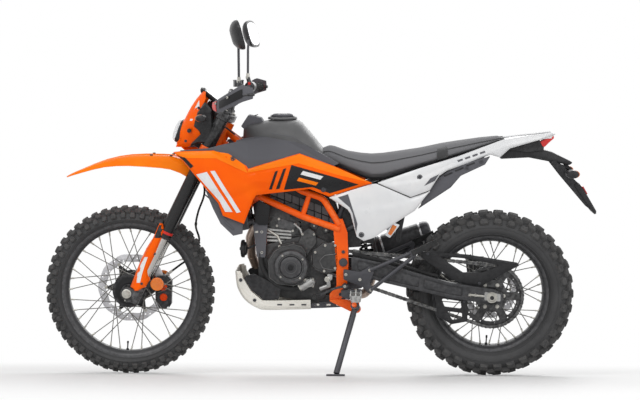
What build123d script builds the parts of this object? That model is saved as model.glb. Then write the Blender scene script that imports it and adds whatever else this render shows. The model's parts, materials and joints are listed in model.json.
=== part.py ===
from build123d import *
import os
from math import cos, radians, sin, sqrt, tan

# Dual sport motorcycle, parked on its side stand.
# Everything is laid out with the motorcycle upright: X points to the rear, Y to the rider's
# right, Z up, with the ground at Z = 0 and the wheels' contact points on Y = 0.
# The finished pieces are then leaned to the left about the line on the ground under the wheels.

# ---- Stance, mm and degrees ----
lean = 10.0                   # how far the parked motorcycle leans to its left
rake = 26.3                   # steering axis from the vertical
steering_foot = -847.0        # where the steering axis meets the ground
clamp_offset = 22.0           # fork legs ahead of the steering axis
axle_offset = 34.0            # front axle ahead of the fork legs
leg_spacing = 194.0           # between the centres of the fork legs
pivot_x = 139.0               # swingarm pivot
pivot_z = 478.0
swingarm_length = 612.0       # pivot to rear axle
fit = 0.2                     # between pieces bolted or clamped together
pin_clearance = 0.3           # round a pin that turns in its bore
running_gap = 6.0             # between pieces that move past each other
tube_gap = 0.4                # around the frame tubes where covers are shaped to fit over them
guard_gap = 3.0               # round the sliding fork tubes

# ---- Wheels, mm ----
front_tyre_diameter = 695.0
front_tyre_width = 92.0
front_crown_radius = 52.0
front_rim_diameter = 536.0    # bead seat
front_rim_width = 54.0
rear_tyre_diameter = 681.0
rear_tyre_width = 140.0
rear_crown_radius = 86.0
rear_rim_diameter = 459.0
rear_rim_width = 76.0
rim_depth = 14.0              # from the bead seat in to the rim's inner edge
flange_height = 14.0          # from the bead seat out to the rim's lip
flange_thickness = 3.0
spoke_diameter = 4.5
spoke_count = 36
front_hub_width = 122.0
rear_hub_width = 180.0
front_flange_spread = 39.0     # hub flanges, each from the centre plane
rear_flange_spread = 44.0
hub_barrel_diameter = 46.0
hub_flange_diameter = 104.0
axle_diameter = 20.0
front_disc_diameter = 285.0
front_disc_plane = 55.0       # distance of the disc's middle to the right of the centre plane
rear_disc_diameter = 240.0
rear_disc_plane = 84.0
disc_thickness = 4.5
disc_band = 32.0
disc_side_gap = 5.2           # each side of a disc, inside its caliper
sprocket_diameter = 232.0
sprocket_plane = 86.0         # to the left of the centre plane
sprocket_thickness = 7.0

# ---- Fork, mm, heights measured along the steering axis from the ground ----
outer_tube_diameter = 53.0
inner_tube_diameter = 43.0
outer_tube_bottom = 634.0
outer_tube_top = 1206.0
lower_clamp_height = 1003.0
lower_clamp_thickness = 38.0
upper_clamp_height = 1166.0
upper_clamp_thickness = 28.0
stem_diameter = 30.0
headstock_diameter = 60.0
lug_reach = 31.0              # from the leg's centre plane out to the axle's end
lug_width = 46.0

# ---- Frame, mm ----
frame_tube_diameter = 27.0
frame_width = 216.0           # between the side tubes' centre planes
plate_thickness = 12.0
pivot_tube_diameter = 34.0
subframe_tube_diameter = 22.0
subframe_width = 150.0
arm_thickness = 30.0
axle_reach = 14.0              # from each arm's outer face to the rear axle's end
chain_pitch_radius = 123.0
front_sprocket_x = 58.0
front_sprocket_z = 486.0
front_sprocket_radius = 34.0
chain_width = 18.0
chain_height = 15.0

# ---- Handlebar, mm ----
bar_diameter = 22.0
bar_bend = 60.0
bar_half_width = 398.0
bar_end_x = -226.0
bar_end_z = 1168.0
bar_clamp_x = -316.0
bar_clamp_z = 1118.0
bar_straight_half = 98.0       # where the bar's bends begin, from the centre plane
riser_spread = 31.0           # bar risers, each from the centre plane
riser_diameter = 28.0
grip_diameter = 34.0
grip_length = 125.0

# ---- Side stand, mm ----
stand_pivot = (188.0, -146.0, 305.0)
stand_foot_x = 112.0
stand_foot_y = -292.0
stand_tube_diameter = 24.0
stand_foot_size = (74.0, 46.0, 8.0)
stand_hub_half = 13.0
stand_bolt_diameter = 12.0

# ---- Exhaust, mm ----
header_diameter = 38.0

# ---- Fuel cap, mm ----
cap_x = -110.0
cap_diameter = 84.0
cap_height = 11.0
cap_ring_diameter = 116.0

# ---- Worked out from the above ----
rake_sin = sin(radians(rake))
rake_cos = cos(radians(rake))
lean_cos = cos(radians(lean))
lean_tan = tan(radians(lean))


def axle_height(tyre_diameter, crown_radius):
    """Axle above the ground, along the wheel's own plane, with the wheel leaned over."""
    return tyre_diameter / 2 - crown_radius + crown_radius / lean_cos


front_axle_z = axle_height(front_tyre_diameter, front_crown_radius)
rear_axle_z = axle_height(rear_tyre_diameter, rear_crown_radius)
axle_lead = clamp_offset + axle_offset
axle_along = (front_axle_z - axle_lead * rake_sin) / rake_cos
front_axle_x = steering_foot + axle_along * rake_sin - axle_lead * rake_cos
rear_axle_x = pivot_x + sqrt(swingarm_length**2 - (pivot_z - rear_axle_z) ** 2)

steering_plane = Plane(
    origin=(steering_foot, 0, 0),
    x_dir=(rake_cos, 0, -rake_sin),
    z_dir=(rake_sin, 0, rake_cos),
)
front_axle = Plane(origin=(front_axle_x, 0, front_axle_z))
rear_axle = Plane(origin=(rear_axle_x, 0, rear_axle_z))


def steer_point(back, side, along):
    """A point given by its distances behind, beside and along the steering axis."""
    return (
        steering_foot + back * rake_cos + along * rake_sin,
        side,
        -back * rake_sin + along * rake_cos,
    )


def at_axle(axle):
    """The plane for a wheel's profile: its x is the radius and its y lies along the axle."""
    return Plane(origin=axle.origin, x_dir=(1, 0, 0), z_dir=(0, 0, 1))


def axle_line(axle):
    return Axis(tuple(axle.origin), (0, 1, 0))


def side_plane(side):
    """A plane seen from the left, at a distance to the rider's right of the centre."""
    return Plane.XZ.offset(-side)


def tube(points, diameter, bend=0.0):
    """A round tube through the points, with its corners bent to one radius."""
    with BuildPart() as swept:
        with BuildLine() as path:
            if bend and len(points) > 2:
                FilletPolyline(*points, radius=bend)
            else:
                Polyline(*points)
        with BuildSketch(Plane(path.line @ 0, z_dir=path.line % 0)):
            Circle(diameter / 2)
        sweep()
    return swept.part


def rod(start, end, diameter):
    """A straight round rod between two points."""
    return tube([start, end], diameter)


def cross_rod(x, z, diameter, left, right):
    """A round rod along Y between two distances from the centre plane."""
    return rod((x, left, z), (x, right, z), diameter)


def side_slab(outline, left, right):
    """An outline in X and Z, made solid between two distances from the centre plane."""
    with BuildPart() as slab:
        with BuildSketch(side_plane(left)):
            with BuildLine():
                Polyline(*outline, close=True)
            make_face()
        extrude(amount=-(right - left))
    return slab.part


def top_slab(outline, bottom, top):
    """An outline in X and Y, made solid between two heights."""
    with BuildPart() as slab:
        with BuildSketch(Plane.XY.offset(bottom)):
            with BuildLine():
                Polyline(*outline, close=True)
            make_face()
        extrude(amount=top - bottom)
    return slab.part


def both_sides(half_outline):
    """Closes a half outline of (place, half width) pairs with its mirror image."""
    return [(a, -b) for a, b in half_outline] + [(a, b) for a, b in reversed(half_outline)]


def both_sides_up(half_outline):
    """The same for (half width, height) pairs."""
    return [(-a, b) for a, b in half_outline] + [(a, b) for a, b in reversed(half_outline)]


def mirrored(part):
    return part.mirror(Plane.XZ)


# =====================================================================================
# Wheels
# =====================================================================================
def wheel_tyre(axle, diameter, width, crown_radius, rim_diameter, rim_width):
    """A tyre whose outer surface runs over the tips of its knobs."""
    outer = diameter / 2
    bead = rim_diameter / 2 + fit
    bead_half = rim_width / 2 - flange_thickness - fit
    lip = rim_diameter / 2 + flange_height + 3
    shoulder_half = width / 2 - 3
    shoulder = outer - crown_radius + sqrt(crown_radius**2 - shoulder_half**2)
    with BuildPart() as tyre:
        with BuildSketch(at_axle(axle)):
            with BuildLine():
                Polyline((bead, bead_half), (bead, -bead_half), (lip, -bead_half),
                         ((lip + shoulder) / 2, -width / 2), (shoulder, -shoulder_half))
                ThreePointArc((shoulder, -shoulder_half), (outer, 0), (shoulder, shoulder_half))
                Polyline((shoulder, shoulder_half), ((lip + shoulder) / 2, width / 2),
                         (lip, bead_half), (bead, bead_half))
            make_face()
        revolve(axis=axle_line(axle))
    return tyre.part


def spoked_rim(axle, rim_diameter, rim_width, hub_width, flange_half, bore):
    """Rim, hub and crossed spokes, joined as the built wheel is."""
    seat = rim_diameter / 2
    inner = seat - rim_depth
    lip = seat + flange_height
    half = rim_width / 2
    flange_radius = hub_flange_diameter / 2
    with BuildPart() as wheel:
        with BuildSketch(at_axle(axle)):
            with BuildLine():
                Polyline((inner, -half + 14), (seat - 5, -half), (lip, -half),
                         (lip, -half + flange_thickness), (seat, -half + flange_thickness),
                         (seat, half - flange_thickness), (lip, half - flange_thickness),
                         (lip, half), (seat - 5, half), (inner, half - 14), close=True)
            make_face()
            with Locations((bore / 2 + (hub_barrel_diameter - bore) / 4, 0)):
                Rectangle((hub_barrel_diameter - bore) / 2, hub_width)
            for side in (-1, 1):
                with Locations((bore / 2 + (flange_radius - bore / 2) / 2, side * flange_half)):
                    Rectangle(flange_radius - bore / 2, 9)
        revolve(axis=axle_line(axle))
        x0, z0 = axle.origin.X, axle.origin.Z
        turn = 360 / spoke_count
        for number in range(spoke_count):
            side = -1 if number % 2 else 1
            swing = 52 if (number // 2) % 2 else -52
            rim_angle = radians(number * turn)
            hub_angle = rim_angle + radians(swing)
            hub_radius = flange_radius - 8
            rim_radius = inner + 4
            add(rod(
                (x0 + hub_radius * cos(hub_angle), side * flange_half, z0 + hub_radius * sin(hub_angle)),
                (x0 + rim_radius * cos(rim_angle), side * 5, z0 + rim_radius * sin(rim_angle)),
                spoke_diameter,
            ))
    return wheel.part


def brake_disc(axle, diameter, plane, hub_radius):
    """A disc with its carrier, slid over the hub barrel."""
    outer = diameter / 2
    with BuildPart() as disc:
        with BuildSketch(side_plane(plane - disc_thickness / 2)) as face:
            with Locations((axle.origin.X, axle.origin.Z)):
                Circle(outer)
                Circle(outer - disc_band, mode=Mode.SUBTRACT)
                with PolarLocations((outer - disc_band + hub_radius) / 2, 6):
                    Rectangle(outer - disc_band - hub_radius + 4, 16)
                Circle(hub_radius + 16)
                Circle(hub_radius + fit, mode=Mode.SUBTRACT)
        extrude(amount=-disc_thickness)
    return disc.part


wheel_bore = axle_diameter + 2 * pin_clearance
barrel_radius = hub_barrel_diameter / 2

front_tyre = wheel_tyre(front_axle, front_tyre_diameter, front_tyre_width, front_crown_radius,
                        front_rim_diameter, front_rim_width)
front_rim = spoked_rim(front_axle, front_rim_diameter, front_rim_width, front_hub_width,
                       front_flange_spread, wheel_bore)
front_disc = brake_disc(front_axle, front_disc_diameter, front_disc_plane, barrel_radius)
rear_tyre = wheel_tyre(rear_axle, rear_tyre_diameter, rear_tyre_width, rear_crown_radius,
                       rear_rim_diameter, rear_rim_width)
rear_rim = spoked_rim(rear_axle, rear_rim_diameter, rear_rim_width, rear_hub_width,
                      rear_flange_spread, wheel_bore)
rear_disc = brake_disc(rear_axle, rear_disc_diameter, rear_disc_plane, barrel_radius)

with BuildPart() as rear_sprocket:
    with BuildSketch(side_plane(-sprocket_plane - sprocket_thickness / 2)):
        with Locations((rear_axle.origin.X, rear_axle.origin.Z)):
            Circle(sprocket_diameter / 2)
            Circle(sprocket_diameter / 2 - 26, mode=Mode.SUBTRACT)
            with PolarLocations((sprocket_diameter / 2 - 26 + barrel_radius) / 2, 6):
                Rectangle(sprocket_diameter / 2 - 26 - barrel_radius + 4, 18)
            Circle(barrel_radius + 24)
            Circle(barrel_radius + fit, mode=Mode.SUBTRACT)
    extrude(amount=-sprocket_thickness)

# =====================================================================================
# Steering: clamps, fork, axle
# =====================================================================================
leg_half = leg_spacing / 2


def leg_rod(side, low, high, diameter, back=-clamp_offset):
    """A rod along a fork leg between two heights along the steering axis."""
    return rod(steer_point(back, side * leg_half, low), steer_point(back, side * leg_half, high), diameter)


def clamp_slab(height, thickness, outline):
    """A fork clamp: its outline is in distances behind and beside the steering axis."""
    with BuildPart() as clamp:
        with BuildSketch(steering_plane.offset(height)):
            with BuildLine():
                Polyline(*outline, close=True)
            make_face()
        extrude(amount=thickness)
    return clamp.part


# half outline of a clamp: (behind the axis, beside the axis)
clamp_outline = both_sides([(-54, 0.01), (-42, 50), (-52, 88), (-44, 128), (2, 130), (10, 92), (22, 34),
                            (26, 0.01)])
lower_clamp = clamp_slab(lower_clamp_height, lower_clamp_thickness, clamp_outline)
upper_clamp = clamp_slab(upper_clamp_height, upper_clamp_thickness, clamp_outline)

with BuildPart() as triple_clamps:
    add(lower_clamp)
    add(upper_clamp)
    for side in (-1, 1):
        add(leg_rod(side, lower_clamp_height - 1, upper_clamp_height + upper_clamp_thickness + 1,
                    outer_tube_diameter + 2 * fit), mode=Mode.SUBTRACT)
    add(rod(steer_point(0, 0, lower_clamp_height), steer_point(0, 0,
                                                               upper_clamp_height + upper_clamp_thickness + 8),
            stem_diameter))
    for side in (-1, 1):
        add(rod((bar_clamp_x, side * riser_spread, bar_clamp_z),
                steer_point(-8, side * riser_spread, upper_clamp_height + upper_clamp_thickness - 2),
                riser_diameter))
    add(cross_rod(bar_clamp_x, bar_clamp_z, bar_diameter + 2 * fit, -70, 70), mode=Mode.SUBTRACT)

axle_back = -axle_lead
with BuildPart() as fork_legs:
    for side in (-1, 1):
        add(leg_rod(side, outer_tube_bottom, outer_tube_top, outer_tube_diameter))
        add(leg_rod(side, axle_along + 10, outer_tube_bottom + 1, inner_tube_diameter))
        add(leg_rod(side, axle_along - 24, axle_along + 74, inner_tube_diameter + 8))
        middle = side * leg_half
        add(cross_rod(front_axle_x, front_axle_z, 50, middle - lug_width / 2, middle + lug_width / 2))
        add(rod((front_axle_x, middle, front_axle_z), steer_point(-clamp_offset, middle, axle_along + 10),
                40))
    add(cross_rod(front_axle_x, front_axle_z, axle_diameter + 2 * fit, -140, 140), mode=Mode.SUBTRACT)


def axle_with_spacers(axle, reach, hub_half, carrier_half):
    """An axle with the sleeves that keep the hub in the middle."""
    x, z = axle.origin.X, axle.origin.Z
    with BuildPart() as built:
        add(cross_rod(x, z, axle_diameter, -reach, reach))
        for side in (-1, 1):
            near, far = sorted((side * (hub_half + 1), side * (carrier_half - fit)))
            add(cross_rod(x, z, axle_diameter + 10, near, far))
    return built.part


front_axle_rod = axle_with_spacers(front_axle, leg_half + lug_reach, front_hub_width / 2,
                                   leg_half - lug_width / 2)

# Guard outline, in X and Z, in front of and beside each inner tube
guard_outline = [
    (-602, 630), (-578, 600), (-627, 510), (-652, 425), (-640, 385), (-668, 366), (-700, 362),
    (-726, 375), (-696, 444), (-671, 494), (-650, 533), (-626, 575),
]
guard_side = leg_half + 36
with BuildPart() as fork_guards:
    for side in (-1, 1):
        near, far = sorted((side * (leg_half + 4), side * guard_side))
        add(side_slab(guard_outline, near, far))
        add(leg_rod(side, axle_along + 74, outer_tube_bottom + 60, outer_tube_diameter + 2 * guard_gap),
            mode=Mode.SUBTRACT)
        add(leg_rod(side, axle_along - 40, axle_along + 75, inner_tube_diameter + 8 + 2 * fit),
            mode=Mode.SUBTRACT)
        add(cross_rod(front_axle_x, front_axle_z, 58, *sorted((side * 60, side * 140))), mode=Mode.SUBTRACT)

caliper_outline = [
    (-640, 395), (-600, 405), (-578, 380), (-574, 300), (-592, 262), (-626, 262), (-640, 300),
]
with BuildPart() as front_caliper:
    add(side_slab(caliper_outline, front_disc_plane - 18, leg_half - 22))
    add(side_slab([(-700, 375), (-600, 385), (-600, 300), (-690, 290)], leg_half - 22.5, leg_half - 8))
    with BuildSketch(side_plane(front_disc_plane - disc_thickness / 2 - disc_side_gap)):
        with Locations((front_axle_x, front_axle_z)):
            Circle(front_disc_diameter / 2 + running_gap)
    extrude(amount=-(disc_thickness + 2 * disc_side_gap), mode=Mode.SUBTRACT)
    add(leg_rod(1, axle_along - 40, axle_along + 90, inner_tube_diameter + 8 + 2 * fit), mode=Mode.SUBTRACT)
    add(cross_rod(front_axle_x, front_axle_z, 54, 50, 130), mode=Mode.SUBTRACT)

# Route of the front brake hose, from the hand lever down behind the right leg to the caliper
hose_diameter = 9.0
hose_route = [
    (-290, 247, 1158.2), (-290, 246, 1128), (-352, 204, 1076), (-398, 152, 1026), (-434, 139, 955),
    (-450, 136, 880), (-444, 128, 805), (-442, 112, 730), (-466, 102, 660), (-476, 96, 600),
    (-462, 90, 540), (-492, 82, 478), (-544, 74, 438), (-590, 66, 402.4),
]

# ---- Handlebar ----
bar_route = [
    (bar_end_x, -bar_half_width, bar_end_z), (-262, -230, 1172), (bar_clamp_x, -120, bar_clamp_z),
    (bar_clamp_x, 120, bar_clamp_z), (-262, 230, 1172), (bar_end_x, bar_half_width, bar_end_z),
]
bar_room = tube(bar_route, bar_diameter + 2 * fit, bar_bend)
with BuildPart() as handlebar:
    add(cross_rod(bar_clamp_x, bar_clamp_z, bar_diameter, -bar_straight_half, bar_straight_half))
    add(tube([*bar_route[:3], (bar_clamp_x, -bar_straight_half, bar_clamp_z)], bar_diameter, bar_bend))
    add(tube([*bar_route[:2:-1], (bar_clamp_x, bar_straight_half, bar_clamp_z)], bar_diameter, bar_bend))


def along_bar_end(distance):
    """A point on the left end of the handlebar, its distance measured from the centre plane."""
    share = (distance - 230) / (bar_half_width - 230)
    return (-262 + share * (bar_end_x + 262), -distance, 1172 + share * (bar_end_z - 1172))


def control_side():
    with BuildPart() as controls:
        add(rod(along_bar_end(bar_half_width - 6), along_bar_end(bar_half_width - 6 - grip_length),
                grip_diameter))
        add(rod(along_bar_end(bar_half_width + 12), along_bar_end(bar_half_width), 30))
        add(rod(along_bar_end(bar_half_width), along_bar_end(bar_half_width - 6), 30))
        add(rod(along_bar_end(268), along_bar_end(236), 44))
        add(rod(along_bar_end(262), (-298, -244, 1168), 20))
        lever = [(-298, -244, 1168), (-300, -300, 1168), (-286, -395, 1166)]
        add(tube(lever, 11, 20))
        add(rod(along_bar_end(251), (-268, -250, 1212), 20))
        add(bar_room, mode=Mode.SUBTRACT)
    return controls.part


left_controls = control_side()
with BuildPart() as bar_controls:
    add(left_controls)
    add(mirrored(left_controls))


# (X, distance from the centre plane) of a hand guard's middle line, seen from above
def guard_side_part():
    with BuildPart() as guard:
        with BuildSketch(Plane.XY.offset(1085)):
            with BuildLine():
                Polyline((-196, -432), (-232, -438), (-300, -410), (-352, -350), (-372, -270), (-352, -215),
                         (-346, -220), (-362, -270), (-343, -345), (-294, -401), (-230, -428), (-196, -422),
                         close=True)
            make_face()
        extrude(amount=140)
        with BuildSketch(side_plane(-460)):
            with BuildLine():
                Polyline((-192, 1150), (-192, 1192), (-245, 1206), (-340, 1146), (-380, 1128),
                         (-376, 1096), (-340, 1090), (-235, 1140), close=True)
            make_face()
        extrude(amount=-400, mode=Mode.INTERSECT)
        add(rod(along_bar_end(bar_half_width + 13), along_bar_end(bar_half_width + 30), 24))
        add(rod((-356, -222, 1118), (-284, -196, 1148), 14))
        add(bar_room, mode=Mode.SUBTRACT)
    return guard.part


left_guard = guard_side_part()
with BuildPart() as hand_guards:
    add(left_guard)
    add(mirrored(left_guard))


def mirror_part():
    with BuildPart() as mirror:
        add(tube([(-268, -250, 1214), (-268, -262, 1330), (-256, -300, 1388), (-252, -330, 1392)], 10, 30))
        with BuildSketch(Plane(origin=(-268, -366, 1388), x_dir=(0, 1, 0), z_dir=(1, 0, 0.12))):
            RectangleRounded(168, 116, 38)
        extrude(amount=34, taper=8)
    return mirror.part


left_mirror = mirror_part()
with BuildPart() as mirrors:
    add(left_mirror)
    add(mirrored(left_mirror))

dash_plane = Plane(origin=(-386, 0, 1140), x_dir=(0, 1, 0), z_dir=(0.62, 0, 0.78))
with BuildPart() as dash:
    with BuildSketch(dash_plane):
        RectangleRounded(128, 70, 10)
    extrude(amount=-20)
    add(rod((-396, 0, 1126), steer_point(-54.3, 0, upper_clamp_height + 14), 16))
    add(upper_clamp, mode=Mode.SUBTRACT)

# ---- Headlight mask: front outline in X and Z, and its half widths seen from the front ----
mask_side = [
    (-430, 1166), (-455, 1139), (-480, 1102), (-497, 1070), (-515, 1030), (-530, 978), (-544, 941),
    (-492, 940), (-452, 956), (-427, 985), (-424, 1000), (-462, 1024), (-457, 1056), (-446, 1080),
    (-414, 1130),
]
mask_front = both_sides_up([(0.01, 936), (50, 942), (78, 972), (108, 1010), (112, 1060), (96, 1110),
                            (66, 1166), (0.01, 1168)])
mask_back_step = 9.0
lens_radius = 62.0


def mask_block(step):
    with BuildPart() as block:
        add(side_slab([(x + step, z) for x, z in mask_side], -130, 130))
        with BuildSketch(Plane.YZ.offset(-600)):
            with BuildLine():
                Polyline(*mask_front, close=True)
            make_face()
        extrude(amount=260, mode=Mode.INTERSECT)
        with BuildSketch(Plane.XY.offset(900)):
            with BuildLine():
                Polyline((-560 + step, -34), (-548 + step, -58), (-500 + step, -96), (-400 + step, -118),
                         (-400 + step, 118), (-500 + step, 96), (-548 + step, 58), (-560 + step, 34),
                         close=True)
            make_face()
        extrude(amount=300, mode=Mode.INTERSECT)
    return block.part


mask_outer = mask_block(0)
mask_inner = mask_block(mask_back_step)
headlight_plane = Plane(origin=(-528, 0, 1002), x_dir=(0, 1, 0), z_dir=(0.94, 0, -0.34))
with BuildPart() as mask_ears:
    add(cross_rod(-480, 1008, 18, -140, 140))
    add(mask_inner, mode=Mode.INTERSECT)
with BuildPart() as headlight:
    with BuildSketch(headlight_plane):
        RectangleRounded(2 * lens_radius, 2 * lens_radius - 20, 22)
    extrude(amount=88, taper=10)
    add(rod(steer_point(-110, 0, 1020), steer_point(-54.3, 0, 1020), 24))
    add(mask_ears.part)
with BuildPart() as mask_opening:
    with BuildSketch(headlight_plane.offset(-20)):
        RectangleRounded(2 * lens_radius + 8, 2 * lens_radius - 12, 26)
    extrude(amount=130)
with BuildPart() as headlight_mask:
    add(mask_outer)
    add(mask_inner, mode=Mode.SUBTRACT)
    add(mask_opening.part, mode=Mode.SUBTRACT)

with BuildPart() as front_blinkers:
    for side in (-1, 1):
        inner, outer = sorted((side * 146, side * 206))
        add(side_slab([(-446, 1052), (-440, 1078), (-405, 1072), (-398, 1056), (-420, 1048)], inner, outer))
    add(cross_rod(-424, 1063, 13, -147, 147))
    add(rod((-424, 0, 1063), (-446, 0, 990), 10))
    add(headlight.part, mode=Mode.SUBTRACT)

# ---- Front fender: side outline, and half widths seen from above ----
fender_side = [
    (-992, 811), (-903, 851), (-844, 877), (-785, 893), (-730, 902), (-668, 905), (-560, 903),
    (-500, 880), (-452, 826), (-452, 800), (-505, 800), (-552, 820), (-602, 841), (-661, 849),
    (-773, 853), (-828, 829), (-914, 826),
]
fender_top = both_sides([(-994, 14), (-975, 34), (-900, 52), (-800, 66), (-690, 74), (-560, 74), (-440, 62)])
fender_wall = 5.0


def fender_block(drop, narrow):
    with BuildPart() as block:
        add(side_slab([(x, z - drop) for x, z in fender_side], -100, 100))
        with BuildSketch(Plane.XY.offset(700)):
            with BuildLine():
                Polyline(*[(x, y - narrow if y > 0 else y + narrow) for x, y in fender_top], close=True)
            make_face()
        extrude(amount=300, mode=Mode.INTERSECT)
    return block.part


with BuildPart() as front_fender:
    add(fender_block(0, 0))
    add(fender_block(fender_wall, fender_wall), mode=Mode.SUBTRACT)
    for side in (-1, 1):
        add(leg_rod(side, 700, 1003, outer_tube_diameter + 2 * guard_gap), mode=Mode.SUBTRACT)
        add(rod(steer_point(-40, side * 45, lower_clamp_height - fit), steer_point(-40, side * 45, 920), 20))
    add(clamp_slab(lower_clamp_height - fit, 80, clamp_outline), mode=Mode.SUBTRACT)

# =====================================================================================
# Frame
# =====================================================================================
side = frame_width / 2
stem_bore = stem_diameter + 2 * pin_clearance
headstock_low = lower_clamp_height + lower_clamp_thickness + running_gap
headstock_high = upper_clamp_height - running_gap
plate_inner = side - plate_thickness / 2
hanger_inner = 82.0            # each engine hanger, from the centre plane
cross_tube_x = 132.0
cross_tube_z = 376.0
cross_tube_diameter = 24.0
plate_outer = side + plate_thickness / 2

# Left side tubes: (X, distance from the centre plane, Z)
upper_tube = [
    steer_point(0, -4, 1126), (-215, -78, 905), (-30, -side, 768), (58, -side, 738), (122, -side, 632),
]
lower_tube = [steer_point(0, -4, 1090), (-205, -92, 745), (-26, -side, 665), (124, -side, 612)]
strut = [(2, -side, 752), (-25, -side, 666)]
hanger = [(-222, 752), (-186, 738), (-176, 500), (-206, 500)]
pivot_plate = [
    (108, 655), (136, 655), (156, 600), (160, 470), (154, 384), (150, 352), (120, 322), (84, 322),
    (84, 350), (112, 384), (110, 470), (100, 600),
]


def frame_tubes(extra):
    """The left side's tubes, thickened all round by an amount."""
    with BuildPart() as tubes:
        add(tube(upper_tube, frame_tube_diameter + 2 * extra, 60))
        add(tube(lower_tube, frame_tube_diameter + 2 * extra, 60))
        add(tube(strut, frame_tube_diameter - 6 + 2 * extra))
    return tubes.part


left_tubes = frame_tubes(0)
left_tube_room = frame_tubes(tube_gap)
with BuildPart() as tube_room:
    add(left_tube_room)
    add(mirrored(left_tube_room))
    add(rod(steer_point(0, 0, headstock_low - tube_gap), steer_point(0, 0, headstock_high + tube_gap),
            headstock_diameter + 2 * tube_gap))

stand_pivot_point = Vector(*stand_pivot)
stand_foot_z = -stand_foot_y * lean_tan
stand_foot = Vector(stand_foot_x, stand_foot_y, stand_foot_z)
stand_down = (stand_foot - stand_pivot_point).normalized()
stand_folded = Vector(0.955, -0.10, 0.26).normalized()
stand_axis = stand_down.cross(stand_folded).normalized()
stand_swing = stand_down.get_angle(stand_folded)
lug_start = stand_pivot_point - stand_axis * (stand_hub_half + 1)
lug_end = stand_pivot_point - stand_axis * (stand_hub_half + 13)

with BuildPart() as main_frame:
    add(rod(steer_point(0, 0, headstock_low), steer_point(0, 0, headstock_high), headstock_diameter))
    add(left_tubes)
    add(mirrored(left_tubes))
    for y in (-side, side):
        add(side_slab(pivot_plate, y - plate_thickness / 2, y + plate_thickness / 2))
        inner, outer = sorted((abs(y) / y * hanger_inner, abs(y) / y * (hanger_inner + 14)))
        add(side_slab(hanger, inner, outer))
        add(cross_rod(-200, 742, 24, *sorted((abs(y) / y * 70, abs(y) / y * 104))))
    add(cross_rod(pivot_x, pivot_z, axle_diameter - 2, -plate_outer - 8, plate_outer + 8))
    add(rod(tuple(stand_pivot_point + stand_axis * (stand_hub_half + 8)), tuple(lug_end),
            stand_bolt_diameter))
    add(rod(tuple(stand_pivot_point + stand_axis * (stand_hub_half + 1)),
            tuple(stand_pivot_point + stand_axis * (stand_hub_half + 8)), 20))
    add(rod(tuple(lug_start), tuple(lug_end), 34))
    add(side_slab([(86, 330), (150, 330), (204, 322), (204, 282), (166, 282), (86, 322)],
                  -plate_outer - 9, -plate_outer + 1))
    add(cross_rod(118, 642, 26, -side, side))
    add(cross_rod(cross_tube_x, cross_tube_z, cross_tube_diameter, -side, side))
    add(rod(steer_point(0, 0, headstock_low - 1), steer_point(0, 0, headstock_high + 1), stem_bore),
        mode=Mode.SUBTRACT)

with BuildPart() as pivot_room:
    add(cross_rod(pivot_x, pivot_z, axle_diameter - 2 + 2 * 0.5, -plate_inner + 1, plate_inner - 1))

# ---- Swingarm ----
arm_outer = leg_half + lug_reach - 1
arm_inner = arm_outer - arm_thickness
arm_outline = [
    (172, 505), (300, 478), (560, 402), (rear_axle_x + 12, rear_axle_z + 30),
    (rear_axle_x + 48, rear_axle_z + 12), (rear_axle_x + 48, rear_axle_z - 16),
    (rear_axle_x - 20, rear_axle_z - 26), (560, 340), (300, 400), (172, 440),
]
with BuildPart() as swingarm:
    add(cross_rod(pivot_x, pivot_z, pivot_tube_diameter, -plate_inner + 1, plate_inner - 1))
    add(side_slab([(pivot_x, pivot_z + 14), (240, 486), (340, 468), (340, 418), (240, 424),
                   (pivot_x, pivot_z - 14)],
                  -66, 66))
    add(side_slab([(210, 486), (330, 470), (330, 425), (210, 432)], -arm_outer, arm_outer))
    for y in (-1, 1):
        near, far = sorted((y * arm_inner, y * arm_outer))
        add(side_slab(arm_outline, near, far))
    add(pivot_room.part, mode=Mode.SUBTRACT)
    add(cross_rod(rear_axle_x, rear_axle_z, axle_diameter + 2 * fit, -arm_outer - 1, arm_outer + 1),
        mode=Mode.SUBTRACT)
    add(side_slab([(198, 560), (280, 560), (280, 400), (198, 400)], -34, 34), mode=Mode.SUBTRACT)

rear_axle_rod = axle_with_spacers(rear_axle, arm_outer + axle_reach, rear_hub_width / 2, arm_inner)

# ---- Chain, one fixed loop round both sprockets ----
chain_inner = chain_pitch_radius - chain_height / 2 + 3


def chain_hull(front_radius, rear_radius, width):
    with BuildPart() as hull:
        with BuildSketch(side_plane(-sprocket_plane - width / 2)):
            with Locations((front_sprocket_x, front_sprocket_z)):
                Circle(front_radius)
            with Locations((rear_axle_x, rear_axle_z)):
                Circle(rear_radius)
            make_hull()
        extrude(amount=-width)
    return hull.part


chain_front = front_sprocket_radius + 3
with BuildPart() as chain:
    add(chain_hull(chain_front + chain_height, chain_inner + chain_height, chain_width))
    add(chain_hull(chain_front, chain_inner, chain_width + 2), mode=Mode.SUBTRACT)

chain_guard_outline = [
    (452, 524), (640, 512), (838, 480), (848, 468), (790, 440), (690, 381), (600, 396), (452, 500),
]
chain_guard_slot = [(520, 506), (640, 495), (770, 468), (700, 440), (620, 440)]
guide_plane = -sprocket_plane - chain_width / 2 - 3
with BuildPart() as chain_guards:
    add(side_slab(chain_guard_outline, -arm_inner - 8, -arm_inner - 3))
    add(side_slab(chain_guard_slot, -arm_inner - 9, -arm_inner - 2), mode=Mode.SUBTRACT)
    add(side_slab([(505, 355), (560, 342), (640, 329), (640, 240), (575, 228), (520, 262)], -arm_inner - 10,
                  guide_plane))
    add(swingarm.part, mode=Mode.SUBTRACT)

# ---- Shock absorber ----
shock_low = (246, 0, 440)
shock_high = (196, 0, 700)
with BuildPart() as shock:
    add(rod(shock_low, shock_high, 26))
    add(rod((236, 0, 492), (203, 0, 664), 58))
    add(cross_rod(shock_low[0], shock_low[2], 22, -33, 33))
    add(cross_rod(shock_high[0], shock_high[2], 26, -24, 24))

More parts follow.
